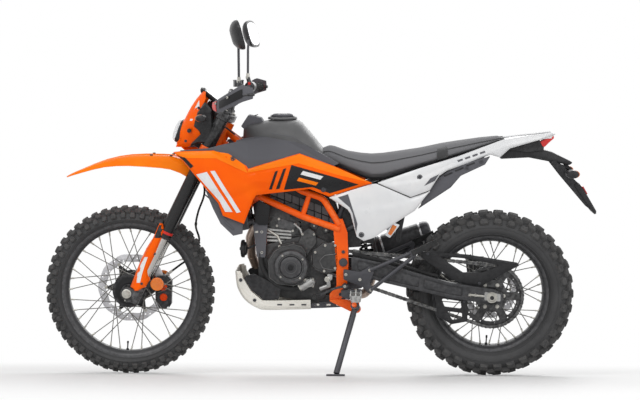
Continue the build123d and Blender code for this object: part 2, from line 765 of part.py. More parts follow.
# =====================================================================================
# Engine, cooling and exhaust
# =====================================================================================
engine_bottom = 320.0
with BuildPart() as engine:
    add(side_slab([(-176, 545), (-206, 490), (-204, 420), (-150, 338), (-60, engine_bottom),
                   (1, engine_bottom), (1, 580), (-30, 582)],
                  -80, 80))
    add(cross_rod(-188, 514, 24, -hanger_inner + fit, hanger_inner - fit))
    add(side_slab([(50, 388), (cross_tube_x - cross_tube_diameter / 2 - fit, 388),
                   (cross_tube_x - cross_tube_diameter / 2 - fit, 364), (50, 364)], -30, 30))
    add(side_slab([(0, engine_bottom), (60, engine_bottom), (84, 372), (84, 556), (40, 575), (0, 580)], -68,
                  80))
    add(side_slab([(-172, 560), (-24, 575), (-42, 700), (-66, 716), (-168, 702)], -68, 68))
    add(cross_rod(front_sprocket_x, front_sprocket_z, 26, -sprocket_plane - 6, -60))
    add(cross_rod(front_sprocket_x, front_sprocket_z, 2 * (chain_front - fit), -sprocket_plane - 3.5,
                  -sprocket_plane + 3.5))

cover_outline = [
    (-146, 530), (-172, 486), (-168, 410), (-110, 372), (-20, 382), (-6, 440), (-6, 530), (-60, 560),
]
with BuildPart() as engine_covers:
    add(side_slab(cover_outline, -116, -80.2))
    add(cross_rod(-70, 470, 132, -148, -110))
    add(side_slab([(-6.5, 572), (90, 560), (96, 520), (96, 420), (-6.5, 408)], -sprocket_plane - 28,
                  -sprocket_plane - 16))
    add(side_slab([(-166, 520), (-182, 470), (-150, 385), (-70, 345), (20, 350), (76, 420), (76, 520),
                   (0, 560),
                   (-110, 560)], 80.2, 122))
    add(cross_rod(-20, 440, 150, 121, 142))

with BuildPart() as radiator:
    add(side_slab([(-300, 760), (-262, 766), (-240, 612), (-276, 604)], -112, 112))
    for y in (-1, 1):
        near, far = sorted((y * 76, y * 92))
        add(side_slab([(-268, 764), (-228, 776), (-228, 758), (-266, 746)], near, far))
    add(tube_room.part, mode=Mode.SUBTRACT)

header_route = [
    (-166, 20, 650), (-212, 24, 636), (-238, 50, 548), (-232, 110, 480), (-214, 134, 410),
    (-150, 142, 326), (-90, 144, 308), (230, 158, 308), (262, 200, 392), (266, 210, 486),
]
with BuildPart() as exhaust_header:
    add(tube(header_route, header_diameter, 30))
    add(engine.part, mode=Mode.SUBTRACT)

muffler_axis = ((256, 213, 484), (506, 213, 566))
with BuildPart() as muffler:
    with BuildSketch(Plane(muffler_axis[0], x_dir=(0, 1, 0),
                           z_dir=Vector(*muffler_axis[1]) - Vector(*muffler_axis[0]))):
        RectangleRounded(88, 104, 30)
    extrude(amount=262)
    add(tube(header_route, header_diameter + 2 * fit, 30), mode=Mode.SUBTRACT)

skid_outline = [
    (-300, 440), (-292, 372), (-262, 322), (-212, 288), (-176, 280), (10, 283), (10, 291), (-170, 289),
    (-206, 296), (-254, 330), (-282, 376), (-286, 438),
]
with BuildPart() as skid_plate:
    add(side_slab(skid_outline, -112, 112))
    for y in (-1, 1):
        near, far = sorted((y * 104, y * 112))
        add(side_slab([(-285, 436), (-281, 376), (-254, 330), (-206, 296), (-170, 289), (10, 291), (-30, 318),
                       (-160, 326), (-236, 392), (-256, 436)], near, far))
        near, far = sorted((y * 40, y * 64))
        add(side_slab([(-50, 287), (-14, 287), (-14, engine_bottom - fit), (-50, engine_bottom - fit)], near,
                      far))

# =====================================================================================
# Tank, seat and panels
# =====================================================================================
tank_side = [
    (-228, 1036), (-190, 1046), (-168, 1052), (-52, 1052), (-36, 1043), (3, 998), (50, 934), (96, 880),
    (112, 800), (40, 786), (-60, 800), (-180, 860), (-280, 900),
]
tank_half_width = 132.0
tank_front = both_sides_up([(0.01, 780), (100, 784), (tank_half_width, 830), (tank_half_width, 930),
                            (108, 1000), (84, 1048), (60, 1056), (0.01, 1056)])
nose_box = [(-277, 1022), (-245, 1068), (-186, 1050), (-186, 960), (-250, 960)]
with BuildPart() as fuel_tank:
    add(side_slab(tank_side, -150, 150))
    with BuildSketch(Plane.YZ.offset(-320)):
        with BuildLine():
            Polyline(*tank_front, close=True)
        make_face()
    extrude(amount=480, mode=Mode.INTERSECT)
    add(side_slab(nose_box, -36, 36))
    with Locations((cap_x, 0, 1052)):
        Cylinder(cap_ring_diameter / 2, 8, align=(Align.CENTER, Align.CENTER, Align.MIN))
    add(tube_room.part, mode=Mode.SUBTRACT)

cap_bottom = 1060 + fit + 0.3
cap_hinge = (cap_x - cap_diameter / 2 - 3, 0, cap_bottom + 6)
with BuildPart() as fuel_cap:
    with Locations((cap_x, 0, cap_bottom)):
        Cylinder(cap_diameter / 2, cap_height, align=(Align.CENTER, Align.CENTER, Align.MIN))
    with Locations((cap_x - cap_diameter / 2, 0, cap_bottom + 6)):
        Box(14, 26, 8)


def panel_band(outer_line, thickness, low, high):
    """An upright band along an outer line seen from above, on the left side."""
    inner_line = [(x, y + thickness) for x, y in reversed(outer_line)]
    return top_slab(outer_line + inner_line, low, high)


def side_panel(outline, outer_line, thickness):
    """A side outline cut out of a curved upright band."""
    heights = [z for x, z in outline]
    with BuildPart() as panel:
        add(side_slab(outline, -260, -20))
        add(panel_band(outer_line, thickness, min(heights) - 10, max(heights) + 10), mode=Mode.INTERSECT)
    return panel.part


shroud_outline = [
    (-538, 930), (-512, 936), (-376, 934), (-317, 925), (-245, 875), (-240, 862), (-35, 922),
    (104, 869), (252, 803), (82, 748), (4, 780), (-208, 757), (-215, 742), (-256, 642), (-338, 672),
    (-358, 723), (-410, 784), (-494, 884),
]
shroud_line = [
    (-545, -139), (-470, -162), (-340, -186), (-210, -190), (-60, -174), (80, -150), (260, -136),
]
panel_outline = [
    (84, 744), (252, 799), (271, 800), (406, 741), (484, 770), (424, 691), (349, 644), (261, 583),
    (221, 570), (193, 587), (168, 679), (156, 697),
]
panel_line = [(70, -146), (160, -148), (300, -144), (500, -132)]
cowl_outline = [
    (277, 802), (445, 860), (600, 908), (778, 972), (976, 1000), (989, 993), (935, 973), (806, 938),
    (765, 900), (727, 914), (553, 852), (522, 831), (485, 774), (409, 746),
]
cowl_line = [(260, -137), (450, -138), (600, -126), (790, -88), (990, -50)]
cover_thickness = 8.0
left_shroud = side_panel(shroud_outline, shroud_line, cover_thickness)
left_panel = side_panel(panel_outline, panel_line, cover_thickness)
left_cowl = side_panel(cowl_outline, cowl_line, cover_thickness)
with BuildPart() as left_shroud_mounted:
    add(left_shroud)
    for x, z in ((-100, 860), (56, 846)):
        add(cross_rod(x, z, 22, -178 if x < 0 else -152, -tank_half_width - fit))
with BuildPart() as tank_shrouds:
    add(left_shroud_mounted.part)
    add(mirrored(left_shroud_mounted.part))
with BuildPart() as left_panel_mounted:
    add(left_panel)
    add(cross_rod(240, 770, 14, -140, -(subframe_width + subframe_tube_diameter) / 2 - fit))
with BuildPart() as side_panels:
    add(left_panel_mounted.part)
    add(mirrored(left_panel_mounted.part))
rack_front = (800, 966)         # the ends of the flat top between the cowl's sides
rack_back = (976, 997)
rack_normal = Vector(rack_front[1] - rack_back[1], 0, rack_back[0] - rack_front[0]).normalized()
with BuildPart() as tail_cowl:
    add(left_cowl)
    add(mirrored(left_cowl))
    add(side_slab([rack_front, rack_back, (984, 992), (935, 973), (812, 942)], -56, 56))

seat_side = [
    (8, 900), (12, 913), (60, 941), (82, 946), (116, 930), (153, 916), (210, 906), (272, 905),
    (365, 918), (448, 929), (537, 950), (690, 972), (787, 979), (772, 970), (600, 912), (445, 864),
    (300, 812), (252, 808), (118, 870), (100, 890),
]
seat_top = both_sides([(6, 44), (80, 76), (200, 92), (400, 124), (520, 122), (640, 104), (740, 74),
                       (788, 50)])
with BuildPart() as seat:
    add(side_slab(seat_side, -140, 140))
    with BuildSketch(Plane.XY.offset(780)):
        with BuildLine():
            Polyline(*seat_top, close=True)
        make_face()
    extrude(amount=220, mode=Mode.INTERSECT)
    add(fuel_tank.part, mode=Mode.SUBTRACT)

# ---- Subframe under the seat ----
rail = subframe_width / 2
with BuildPart() as subframe:
    for y in (-rail, rail):
        add(tube([(118, y, 654), (150, y, 740), (300, y, 790), (600, y, 886), (800, y * 0.6, 948)],
                 subframe_tube_diameter, 60))
        add(tube([(136, y, 600), (330, y, 690), (620, y, 852), (640, y, 896)], subframe_tube_diameter - 2,
                 24))
        near, far = sorted((y * 1.02, y * 1.02 + abs(y) / y * 30))
        add(side_slab([(499, 770), (440, 697), (568, 782), (609, 830), (705, 875), (724, 906), (560, 850),
                       (528, 828)],
                      near, far))
    for x, z in ((300, 790), (500, 854), (760, 935)):
        add(cross_rod(x, z, 18, -rail * (0.7 if x > 700 else 1), rail * (0.7 if x > 700 else 1)))
    add(main_frame.part, mode=Mode.SUBTRACT)

with BuildPart() as airbox:
    add(side_slab([(140, 718), (150, 738), (300, 780.2), (480, 836), (440, 730), (330, 714)], -60, 60))
    add(subframe.part, mode=Mode.SUBTRACT)

with BuildPart() as tail_light:
    add(side_slab([(926, 968), (984, 992), (980, 962), (950, 943)], -44, 44))
    add(tail_cowl.part, mode=Mode.SUBTRACT)

plate_top = (1088, 794)
plate_bottom = (1157, 676)
plate_x = (plate_top[0] + plate_bottom[0]) / 2
plate_z = (plate_top[1] + plate_bottom[1]) / 2
plate_normal = Vector(plate_top[1] - plate_bottom[1], 0, plate_bottom[0] - plate_top[0]).normalized()
with BuildPart() as plate_holder:
    add(side_slab([(770, 890), (772, 926), (806, 942), (880, 932), (923, 935), (978, 921), (1066, 878),
                   (1049, 867), (974, 880), (885, 896)],
                  -40, 40))
    add(side_slab([(978, 884), (990, 884), plate_top, plate_bottom, (1148, 672), (1070, 784)], -70, 70))
    add(cross_rod(1052, 842, 14, -80, 80))
    for y in (-1, 1):
        inner, outer = sorted((y * 79, y * 142))
        add(side_slab([(1026, 838), (1036, 862), (1074, 858), (1090, 830), (1072, 816), (1040, 820)], inner,
                      outer))
    add(rod((1052, 0, 842), (1030, 0, 890), 16))
    add(subframe.part, mode=Mode.SUBTRACT)
    add(tail_cowl.part, mode=Mode.SUBTRACT)

# =====================================================================================
# Foot controls, pegs, stand, rear brake
# =====================================================================================
pax_plate = [
    (140, 456), (206, 444), (252, 470), (262, 440), (244, 400), (262, 376), (250, 352), (216, 384),
    (140, 414),
]
pax_near = arm_outer + running_gap
with BuildPart() as foot_pegs:
    for y in (-1, 1):
        near, far = sorted((y * (plate_outer + fit), y * 142))
        add(side_slab([(130, 372), (215, 372), (215, 340), (160, 332), (130, 345)], near, far))
        near, far = sorted((y * 141, y * 250))
        add(side_slab([(166, 368), (214, 368), (210, 338), (172, 338)], near, far))
    for y in (-1, 1):
        near, far = sorted((y * pax_near, y * (pax_near + 9)))
        add(side_slab(pax_plate, near, far))
        middle = y * (pax_near + 7)
        add(rod((246, middle, 452), (424, middle, 528), 16))
        add(rod((250, middle, 372), (424, middle, 510), 16))
        add(cross_rod(420, 520, 26, *sorted((y * pax_near, y * (pax_near + 26)))))
        add(rod((414, y * (pax_near + 20), 522), (512, y * (pax_near + 20), 568), 22))
        add(cross_rod(150, 434, 16, *sorted((y * (plate_outer + fit), y * (pax_near + 2)))))

with BuildPart() as foot_levers:
    add(rod((146, -148, 388), (24, -148, 346), 12))
    add(cross_rod(24, 346, 18, -190, -140))
    add(cross_rod(146, 388, 16, -157, -plate_outer - fit))
    add(rod((146, 150, 392), (30, 154, 356), 13))
    add(cross_rod(30, 356, 22, 146, 190))
    add(cross_rod(146, 392, 18, plate_outer + fit, 162))

leaned_floor = Plane(origin=(stand_foot.X, stand_foot.Y, stand_foot.Z),
                     x_dir=(1, 0, 0), z_dir=(0, sin(radians(lean)), cos(radians(lean))))
with BuildPart() as side_stand:
    add(rod(tuple(stand_pivot_point + stand_down * 2), tuple(stand_foot - stand_down * 4),
            stand_tube_diameter))
    with BuildSketch(leaned_floor.offset(-60)):
        Rectangle(300, 300)
    extrude(amount=60, mode=Mode.SUBTRACT)
    with BuildSketch(leaned_floor):
        RectangleRounded(stand_foot_size[0], stand_foot_size[1], 12)
    extrude(amount=stand_foot_size[2])
    add(rod(tuple(stand_pivot_point - stand_axis * stand_hub_half),
            tuple(stand_pivot_point + stand_axis * stand_hub_half), 34))
    add(rod(tuple(stand_pivot_point - stand_axis * 30), tuple(stand_pivot_point + stand_axis * 30),
            stand_bolt_diameter + 2 * pin_clearance), mode=Mode.SUBTRACT)

with BuildPart() as rear_caliper:
    add(side_slab([(640, 470), (720, 476), (732, 440), (720, 404), (650, 400)], rear_disc_plane - 16,
                  rear_disc_plane + 15))
    with BuildSketch(side_plane(rear_disc_plane - disc_thickness / 2 - disc_side_gap)):
        with Locations((rear_axle_x, rear_axle_z)):
            Circle(rear_disc_diameter / 2 + running_gap)
    extrude(amount=-(disc_thickness + 2 * disc_side_gap), mode=Mode.SUBTRACT)
    add(side_slab([(686, 412), (728, 412), (731, 370), (702, 370)], rear_disc_plane + 8,
                  rear_disc_plane + 15))
    add(swingarm.part, mode=Mode.SUBTRACT)

# =====================================================================================
# The assembly, leaned and written
# =====================================================================================
hose_bends = []
for before, corner, after in zip(hose_route, hose_route[1:], hose_route[2:]):
    inward = Vector(*corner) - Vector(*before)
    outward = Vector(*after) - Vector(*corner)
    turn = radians(inward.get_angle(outward))
    hose_bends.append(0.45 * min(inward.length, outward.length) / tan(turn / 2))
print("brake hose radii:", [round(radius) for radius in hose_bends])


def hose(route, diameter, bends):
    with BuildPart() as swept:
        with BuildLine() as path:
            FilletPolyline(*route, radius=bends)
        with BuildSketch(Plane(path.line @ 0, z_dir=path.line % 0)):
            Circle(diameter / 2)
        sweep()
    return swept.part


brake_hose = hose(hose_route, hose_diameter, hose_bends)

pieces = {
    "main_frame": main_frame.part,
    "subframe": subframe.part,
    "swingarm": swingarm.part,
    "rear_axle": rear_axle_rod,
    "chain": chain.part,
    "chain_guards": chain_guards.part,
    "shock": shock.part,
    "engine": engine.part,
    "engine_covers": engine_covers.part,
    "radiator": radiator.part,
    "exhaust_header": exhaust_header.part,
    "muffler": muffler.part,
    "skid_plate": skid_plate.part,
    "airbox": airbox.part,
    "fuel_tank": fuel_tank.part,
    "fuel_cap": fuel_cap.part,
    "tank_shrouds": tank_shrouds.part,
    "side_panels": side_panels.part,
    "tail_cowl": tail_cowl.part,
    "seat": seat.part,
    "tail_light": tail_light.part,
    "plate_holder": plate_holder.part,
    "foot_pegs": foot_pegs.part,
    "foot_levers": foot_levers.part,
    "side_stand": side_stand.part,
    "rear_caliper": rear_caliper.part,
    "front_tyre": front_tyre,
    "front_rim": front_rim,
    "front_disc": front_disc,
    "rear_tyre": rear_tyre,
    "rear_rim": rear_rim,
    "rear_disc": rear_disc,
    "rear_sprocket": rear_sprocket.part,
    "triple_clamps": triple_clamps.part,
    "fork_legs": fork_legs.part,
    "front_axle": front_axle_rod,
    "fork_guards": fork_guards.part,
    "front_caliper": front_caliper.part,
    "brake_hose": brake_hose,
    "handlebar": handlebar.part,
    "bar_controls": bar_controls.part,
    "hand_guards": hand_guards.part,
    "mirrors": mirrors.part,
    "dash": dash.part,
    "headlight": headlight.part,
    "headlight_mask": headlight_mask.part,
    "front_blinkers": front_blinkers.part,
    "front_fender": front_fender.part,
}
lean_left = Location((0, 0, 0), (lean, 0, 0))
leaned = {name: piece.moved(lean_left) for name, piece in pieces.items()}
boxes = [piece.bounding_box() for piece in leaned.values()]
# The origin is on the floor, in the middle of the parked motorcycle's footprint
middle_x = (min(box.min.X for box in boxes) + max(box.max.X for box in boxes)) / 2
middle_y = (min(box.min.Y for box in boxes) + max(box.max.Y for box in boxes)) / 2
to_origin = Location((-middle_x, -middle_y, 0))
os.makedirs("parts", exist_ok=True)
for name, piece in leaned.items():
    placed = piece.moved(to_origin)
    placed.label = name
    export_step(placed, f"parts/{name}.step")


def parked(point, is_direction=False):
    """A point or direction of the upright motorcycle, as it stands parked."""
    x, y, z = tuple(Vector(*point))
    turned = Vector(x, y * lean_cos - z * sin(radians(lean)), y * sin(radians(lean)) + z * lean_cos)
    return turned if is_direction else turned - Vector(middle_x, middle_y, 0)


key_points = {
    "front_axle": (front_axle_x, 0, front_axle_z),
    "rear_axle": (rear_axle_x, 0, rear_axle_z),
    "steering": steer_point(0, 0, headstock_low),
    "stand_pivot": stand_pivot,
    "cap_hinge": cap_hinge,
    "upright_origin": (0, 0, 0),
    "rack_face": ((rack_front[0] + rack_back[0]) / 2, 0, (rack_front[1] + rack_back[1]) / 2),
    "lever_gap_left": (-272, -345, 1168),
    "lever_gap_right": (-272, 345, 1168),
    "plate_face": (plate_x, 0, plate_z),
    "frame_side": (-215, 0, 820),
}
key_directions = {
    "across": (0, 1, 0),
    "steering_axis": (rake_sin, 0, rake_cos),
    "stand_axis": tuple(stand_axis),
    "upright": (0, 0, 1),
    "plate_normal": tuple(plate_normal),
    "rack_normal": rack_normal,
}
for name, point in key_points.items():
    print("point", name, *[round(value, 4) for value in tuple(parked(point))])
for name, direction in key_directions.items():
    print("direction", name, *[round(value, 6) for value in tuple(parked(direction, True))])
print("value stand_swing", round(stand_swing, 2))
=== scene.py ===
import json
from math import acos, atan2, cos, pi, radians, sin, tan

import bmesh
import bpy
from mathutils import Matrix, Vector


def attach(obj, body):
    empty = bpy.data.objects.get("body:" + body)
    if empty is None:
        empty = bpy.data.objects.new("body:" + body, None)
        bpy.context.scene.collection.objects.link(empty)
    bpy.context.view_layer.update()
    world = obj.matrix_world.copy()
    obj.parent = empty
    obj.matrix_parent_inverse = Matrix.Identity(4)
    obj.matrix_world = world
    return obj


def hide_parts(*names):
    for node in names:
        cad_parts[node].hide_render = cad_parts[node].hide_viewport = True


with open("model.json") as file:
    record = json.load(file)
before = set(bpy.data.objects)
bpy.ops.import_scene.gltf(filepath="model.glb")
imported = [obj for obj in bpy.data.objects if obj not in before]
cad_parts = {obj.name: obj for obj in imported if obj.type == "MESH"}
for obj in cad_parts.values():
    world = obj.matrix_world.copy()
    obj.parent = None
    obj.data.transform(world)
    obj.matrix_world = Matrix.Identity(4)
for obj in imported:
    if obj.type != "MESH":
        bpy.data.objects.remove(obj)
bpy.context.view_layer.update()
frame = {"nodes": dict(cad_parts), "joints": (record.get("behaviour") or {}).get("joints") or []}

bl_info = {
    "name": "Dual sport motorcycle",
    "version": (1, 0, 0),
    "blender": (4, 5, 0),
    "location": "3D View > Sidebar > Motorcycle",
    "description": "Builds the visible pieces of a parked dual sport motorcycle over its packed model",
    "category": "Object",
}

JOINTS = {joint["name"]: joint for joint in frame["joints"]}

# Pieces are drawn upright in millimetres: X to the rear, Y to the rider's right, Z up, with the
# ground at Z = 0 and the wheels on Y = 0. PARKED leans them onto the side stand, in metres.
MM = 0.001
METRE = 1000.0
LEAN = radians(10)
FRONT_AXLE = Vector((-737.3, 0, 348.3))
REAR_AXLE = Vector((735.66, 0, 341.83))
LEANED = Matrix.Rotation(LEAN, 4, "X")
PARKED = (
    Matrix.Translation(Vector(JOINTS["rear_wheel_spin"]["pos_m"]) - LEANED @ (REAR_AXLE * MM))
    @ LEANED @ Matrix.Scale(MM, 4)
)
RAKE = radians(26.3)
STEERING_FOOT = -847.0  # X where the steering axis meets the ground
CLAMP_OFFSET = 22.0     # from the steering axis forward to the fork tubes
LEG_HALF = 97.0         # from the centre plane to a fork tube's middle


def steer_point(back, side, along):
    """A point by its distances behind, beside and along the steering axis."""
    return Vector((STEERING_FOOT + back * cos(RAKE) + along * sin(RAKE), side,
                   -back * sin(RAKE) + along * cos(RAKE)))


STEER_AXIS = Vector((sin(RAKE), 0, cos(RAKE)))
ACROSS = Vector((0, 1, 0))


# ---------------------------------------------------------------------------------------------
# Drawing faces
# ---------------------------------------------------------------------------------------------
class Shape:
    """Faces gathered in upright millimetres. A face without a finish gets the piece's first one."""

    def __init__(self):
        self.points, self.faces, self.finishes = [], [], []

    def add(self, points, faces, finish=None):
        start = len(self.points)
        self.points += [Vector(point) for point in points]
        self.faces += [tuple(start + i for i in face) for face in faces]
        self.finishes += [finish] * len(faces)
        return self

    def join(self, other, matrix=None, finish=None):
        """Adds another shape's faces, moved and refinished if asked."""
        points = [matrix @ point for point in other.points] if matrix else other.points
        start = len(self.points)
        self.points += points
        self.faces += [tuple(start + i for i in face) for face in other.faces]
        self.finishes += other.finishes if finish is None else [finish] * len(other.faces)
        return self

    def mirrored(self):
        """This shape and its mirror image across the centre plane."""
        return Shape().join(self).join(self, Matrix.Scale(-1, 4, (0, 1, 0)))

    def rings(self, rings, finish=None, round_=True, caps=True):
        """Joins rings of points, each with the same number, by strips of quads."""
        count = len(rings[0])
        faces = []
        for r in range(len(rings) - 1):
            for i in range(count if round_ else count - 1):
                j = (i + 1) % count
                faces.append((r * count + i, r * count + j, (r + 1) * count + j, (r + 1) * count + i))
        if caps:
            faces.append(tuple(range(count))[::-1])
            faces.append(tuple((len(rings) - 1) * count + i for i in range(count)))
        return self.add([p for ring in rings for p in ring], faces, finish)

    def slab(self, outline, left, right, finish=None):
        """An outline in X and Z between two distances from the centre plane."""
        return self.rings([[(x, side, z) for x, z in outline] for side in (left, right)], finish)

    def taper(self, outline, left, right, share, finish=None):
        """A slab whose far outline is drawn in towards its middle by a share."""
        mx = sum(p[0] for p in outline) / len(outline)
        mz = sum(p[1] for p in outline) / len(outline)
        far = [(mx + (x - mx) * share, mz + (z - mz) * share) for x, z in outline]
        return self.rings([[(x, left, z) for x, z in outline], [(x, right, z) for x, z in far]], finish)

    def lathe(self, profile, foot, axis, count=48, finish=None, loop=False):
        """Turns a profile of (radius, distance along the axis) round an axis."""
        foot, axis = Vector(foot), Vector(axis).normalized()
        side = axis.orthogonal().normalized()
        other = axis.cross(side)
        rings = []
        for radius, along in profile:
            centre = foot + axis * along
            rings.append([centre + (side * cos(2 * pi * i / count) + other * sin(2 * pi * i / count)) * radius
                          for i in range(count)])
        if loop:
            rings.append(rings[0])
            return self.rings(rings, finish, caps=False)
        return self.rings(rings, finish)

    def rod(self, start, end, radius, count=16, finish=None):
        start, end = Vector(start), Vector(end)
        return self.lathe([(radius, 0), (radius, (end - start).length)], start, end - start, count, finish)

    def sweep(self, path, section, finish=None, closed=False, up=(0, 1, 0), sizes=None):
        """Carries a flat section, of (across, up) pairs, along a path."""
        path = [Vector(p) for p in path]
        rings, last = [], Vector(up)
        for i, point in enumerate(path):
            ahead = path[(i + 1) % len(path)] if closed or i + 1 < len(path) else point
            behind = path[i - 1] if closed or i else point
            along = (ahead - behind).normalized()
            last = (last - along * last.dot(along)).normalized()
            over = along.cross(last)
            size = sizes[i] if sizes else 1.0
            rings.append([point + (over * a + last * b) * size for a, b in section])
        if closed:
            rings.append(rings[0])
        return self.rings(rings, finish, caps=not closed)

    def tube(self, path, radius, count=16, finish=None, closed=False, up=(0, 1, 0)):
        return self.sweep(path, ring(radius, count), finish, closed, up)

    def block(self, centre, size, finish=None, turn=None):
        hx, hy, hz = (s / 2 for s in size)
        points = [Vector((x, y, z)) for x in (-hx, hx) for y in (-hy, hy) for z in (-hz, hz)]
        spin = turn or Matrix.Identity(3)
        points = [spin @ p + Vector(centre) for p in points]
        return self.add(points, [(0, 1, 3, 2), (4, 6, 7, 5), (0, 4, 5, 1), (2, 3, 7, 6), (0, 2, 6, 4), (1, 5, 7, 3)],
                        finish)

    def mesh(self, mesh, matrix=None, finish=None):
        points = [matrix @ v.co if matrix else v.co.copy() for v in mesh.vertices]
        start = len(self.points)
        self.points += points
        self.faces += [tuple(start + i for i in face.vertices) for face in mesh.polygons]
        self.finishes += [finish] * len(mesh.polygons)
        return self


def flank(side, near, far):
    """Two distances from the centre plane, on the left (-1) or the right (1), as signed values that rise."""
    return sorted((side * near, side * far))


def ring(radius, count):
    return [(radius * cos(2 * pi * i / count), radius * sin(2 * pi * i / count)) for i in range(count)]


def circle(x, z, radius, count):
    return [(x + a, z + b) for a, b in ring(radius, count)]


def signed_power(value, power):
    return abs(value) ** power * (1 if value > 0 else -1)


def squircle(width, height, power, count):
    """A ring between an ellipse (power 1) and a rectangle (power 0)."""
    return [(width * signed_power(c, power), height * signed_power(s, power)) for c, s in ring(1, count)]


def bent(points, bend, steps=5, closed=False):
    """A line through corners, each rounded off by about one radius."""
    points = [Vector(p) for p in points]
    size = len(points)
    line = [] if closed else [points[0]]
    for i in range(size) if closed else range(1, size - 1):
        before, corner, after = points[i - 1], points[i], points[(i + 1) % size]
        a, b = before - corner, after - corner
        angle = a.angle(b)
        cut = min(bend / tan(angle / 2) if angle > 0.01 else bend, a.length * 0.48, b.length * 0.48)
        p, q = corner + a.normalized() * cut, corner + b.normalized() * cut
        for k in range(steps + 1):
            t = k / steps
            line.append(p * (1 - t) ** 2 + corner * 2 * t * (1 - t) + q * t * t)
    if not closed:
        line.append(points[-1])
    return line


def flat_bent(outline, bend, steps=4):
    """The same for a closed flat outline of pairs."""
    return [(p.x, p.y) for p in bent([(a, b, 0) for a, b in outline], bend, steps, closed=True)]


def curve_through(points, steps):
    """A smooth line through points."""
    points = [Vector(p) for p in points]
    points = [points[0] * 2 - points[1]] + points + [points[-1] * 2 - points[-2]]
    line = []
    for a, b, c, d in zip(points, points[1:], points[2:], points[3:]):
        for k in range(steps):
            t = k / steps
            line.append(0.5 * (2 * b + (c - a) * t + (2 * a - 5 * b + 4 * c - d) * t * t
                               + (3 * b - a - 3 * c + d) * t ** 3))
    return line + [points[-2]]


def table(rows, x):
    """Reads rows of (x, value, ...) at x, in straight steps between them."""
    if x <= rows[0][0]:
        return rows[0][1:]
    for low, high in zip(rows, rows[1:]):
        if x <= high[0]:
            t = (x - low[0]) / (high[0] - low[0])
            return tuple(a + (b - a) * t for a, b in zip(low[1:], high[1:]))
    return rows[-1][1:]


def pierced(outlines, left, right, round_over=0.8):
    """A flat plate in X and Z with holes, its edges eased, between two distances from the centre plane."""
    curve = bpy.data.curves.new("plate", "CURVE")
    curve.dimensions, curve.fill_mode = "2D", "BOTH"
    curve.extrude = max(abs(right - left) / 2 - round_over, 0.01)
    curve.bevel_depth, curve.bevel_resolution, curve.offset = round_over, 1, -round_over
    for outline in outlines:
        spline = curve.splines.new("POLY")
        spline.points.add(len(outline) - 1)
        for point, (x, z) in zip(spline.points, outline):
            point.co = (x, z, 0, 1)
        spline.use_cyclic_u = True
    turn = Matrix(((1, 0, 0, 0), (0, 0, -1, (left + right) / 2), (0, 1, 0, 0), (0, 0, 0, 1)))
    return Shape().mesh(plain_mesh(curve), turn)


def plain_mesh(data):
    """What a curve or mesh looks like once its modifiers are done."""
    holder = data if isinstance(data, bpy.types.Object) else bpy.data.objects.new("holder", data)
    if holder.name not in bpy.context.scene.collection.objects:
        bpy.context.scene.collection.objects.link(holder)
    evaluated = holder.evaluated_get(bpy.context.evaluated_depsgraph_get())
    mesh = bpy.data.meshes.new_from_object(evaluated)
    bpy.data.objects.remove(holder)
    return mesh


def to_mesh(shape, finishes=(), weld=0.02, inner=None):
    """A mesh of a shape, faces outward. An open skin faces away from an inner point instead."""
    mesh = bpy.data.meshes.new("shape")
    mesh.from_pydata([tuple(p) for p in shape.points], [], shape.faces)
    mesh.polygons.foreach_set("material_index", [finishes.index(f) if f else 0 for f in shape.finishes])
    work = bmesh.new()
    work.from_mesh(mesh)
    if weld:
        bmesh.ops.remove_doubles(work, verts=work.verts, dist=weld)
    bmesh.ops.recalc_face_normals(work, faces=work.faces)
    if inner:
        todo = set(work.faces)
        while todo:
            island, edge = set(), [todo.pop()]
            while edge:
                face = edge.pop()
                island.add(face)
                near = {other for side in face.edges for other in side.link_faces} & todo
                todo -= near
                edge += near
            away = sum((f.calc_center_median() - Vector(inner)).dot(f.normal) * f.calc_area() for f in island)
            if away < 0:
                bmesh.ops.reverse_faces(work, faces=list(island))
    work.to_mesh(mesh)
    work.free()
    return mesh


BEVEL_STEPS, BEVEL_ANGLE = 2, radians(28)


def piece(name, shape, finishes, body, stands_for=(), bevel=0.0, smooth=0, wall=0.0, plain=None, angle=32,
          weld=0.02, inner=None):
    """Makes one finished object: wall, subdivision and eased edges first, then small plain parts added."""
    holder = bpy.data.objects.new("work", to_mesh(shape, finishes, weld, inner))
    if wall:
        shell = holder.modifiers.new("Wall", "SOLIDIFY")
        shell.thickness, shell.offset, shell.use_even_offset = wall, -1, True
    if smooth:
        soft = holder.modifiers.new("Smooth", "SUBSURF")
        soft.levels = soft.render_levels = smooth
    if bevel:
        ease = holder.modifiers.new("Eased edges", "BEVEL")
        ease.width, ease.segments, ease.limit_method = bevel, BEVEL_STEPS, "ANGLE"
        ease.angle_limit, ease.use_clamp_overlap, ease.miter_outer = BEVEL_ANGLE, True, "MITER_ARC"
    mesh = plain_mesh(holder)
    if plain is not None:
        extra = to_mesh(plain, finishes, weld)
        numbers = [face.material_index for part in (mesh, extra) for face in part.polygons]
        whole = Shape().mesh(mesh).mesh(extra)
        mesh = bpy.data.meshes.new(name)
        mesh.from_pydata([tuple(p) for p in whole.points], [], whole.faces)
        mesh.polygons.foreach_set("material_index", numbers)
    mesh.transform(PARKED)
    mesh.polygons.foreach_set("use_smooth", [True] * len(mesh.polygons))
    mesh.set_sharp_from_angle(angle=radians(angle))
    mesh.name = name
    return finished(name, mesh, finishes, body, stands_for)


def finished(name, mesh, finishes, body, stands_for):
    """The object of a mesh: painted, carried by its body and standing for its CAD nodes."""
    numbers = [face.material_index for face in mesh.polygons]
    mesh.materials.clear()
    for finish in finishes:
        mesh.materials.append(material(finish))
    mesh.polygons.foreach_set("material_index", numbers)
    made = bpy.data.objects.new(name, mesh)
    bpy.context.scene.collection.objects.link(made)
    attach(made, body)
    if stands_for:
        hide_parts(*stands_for)
    return made


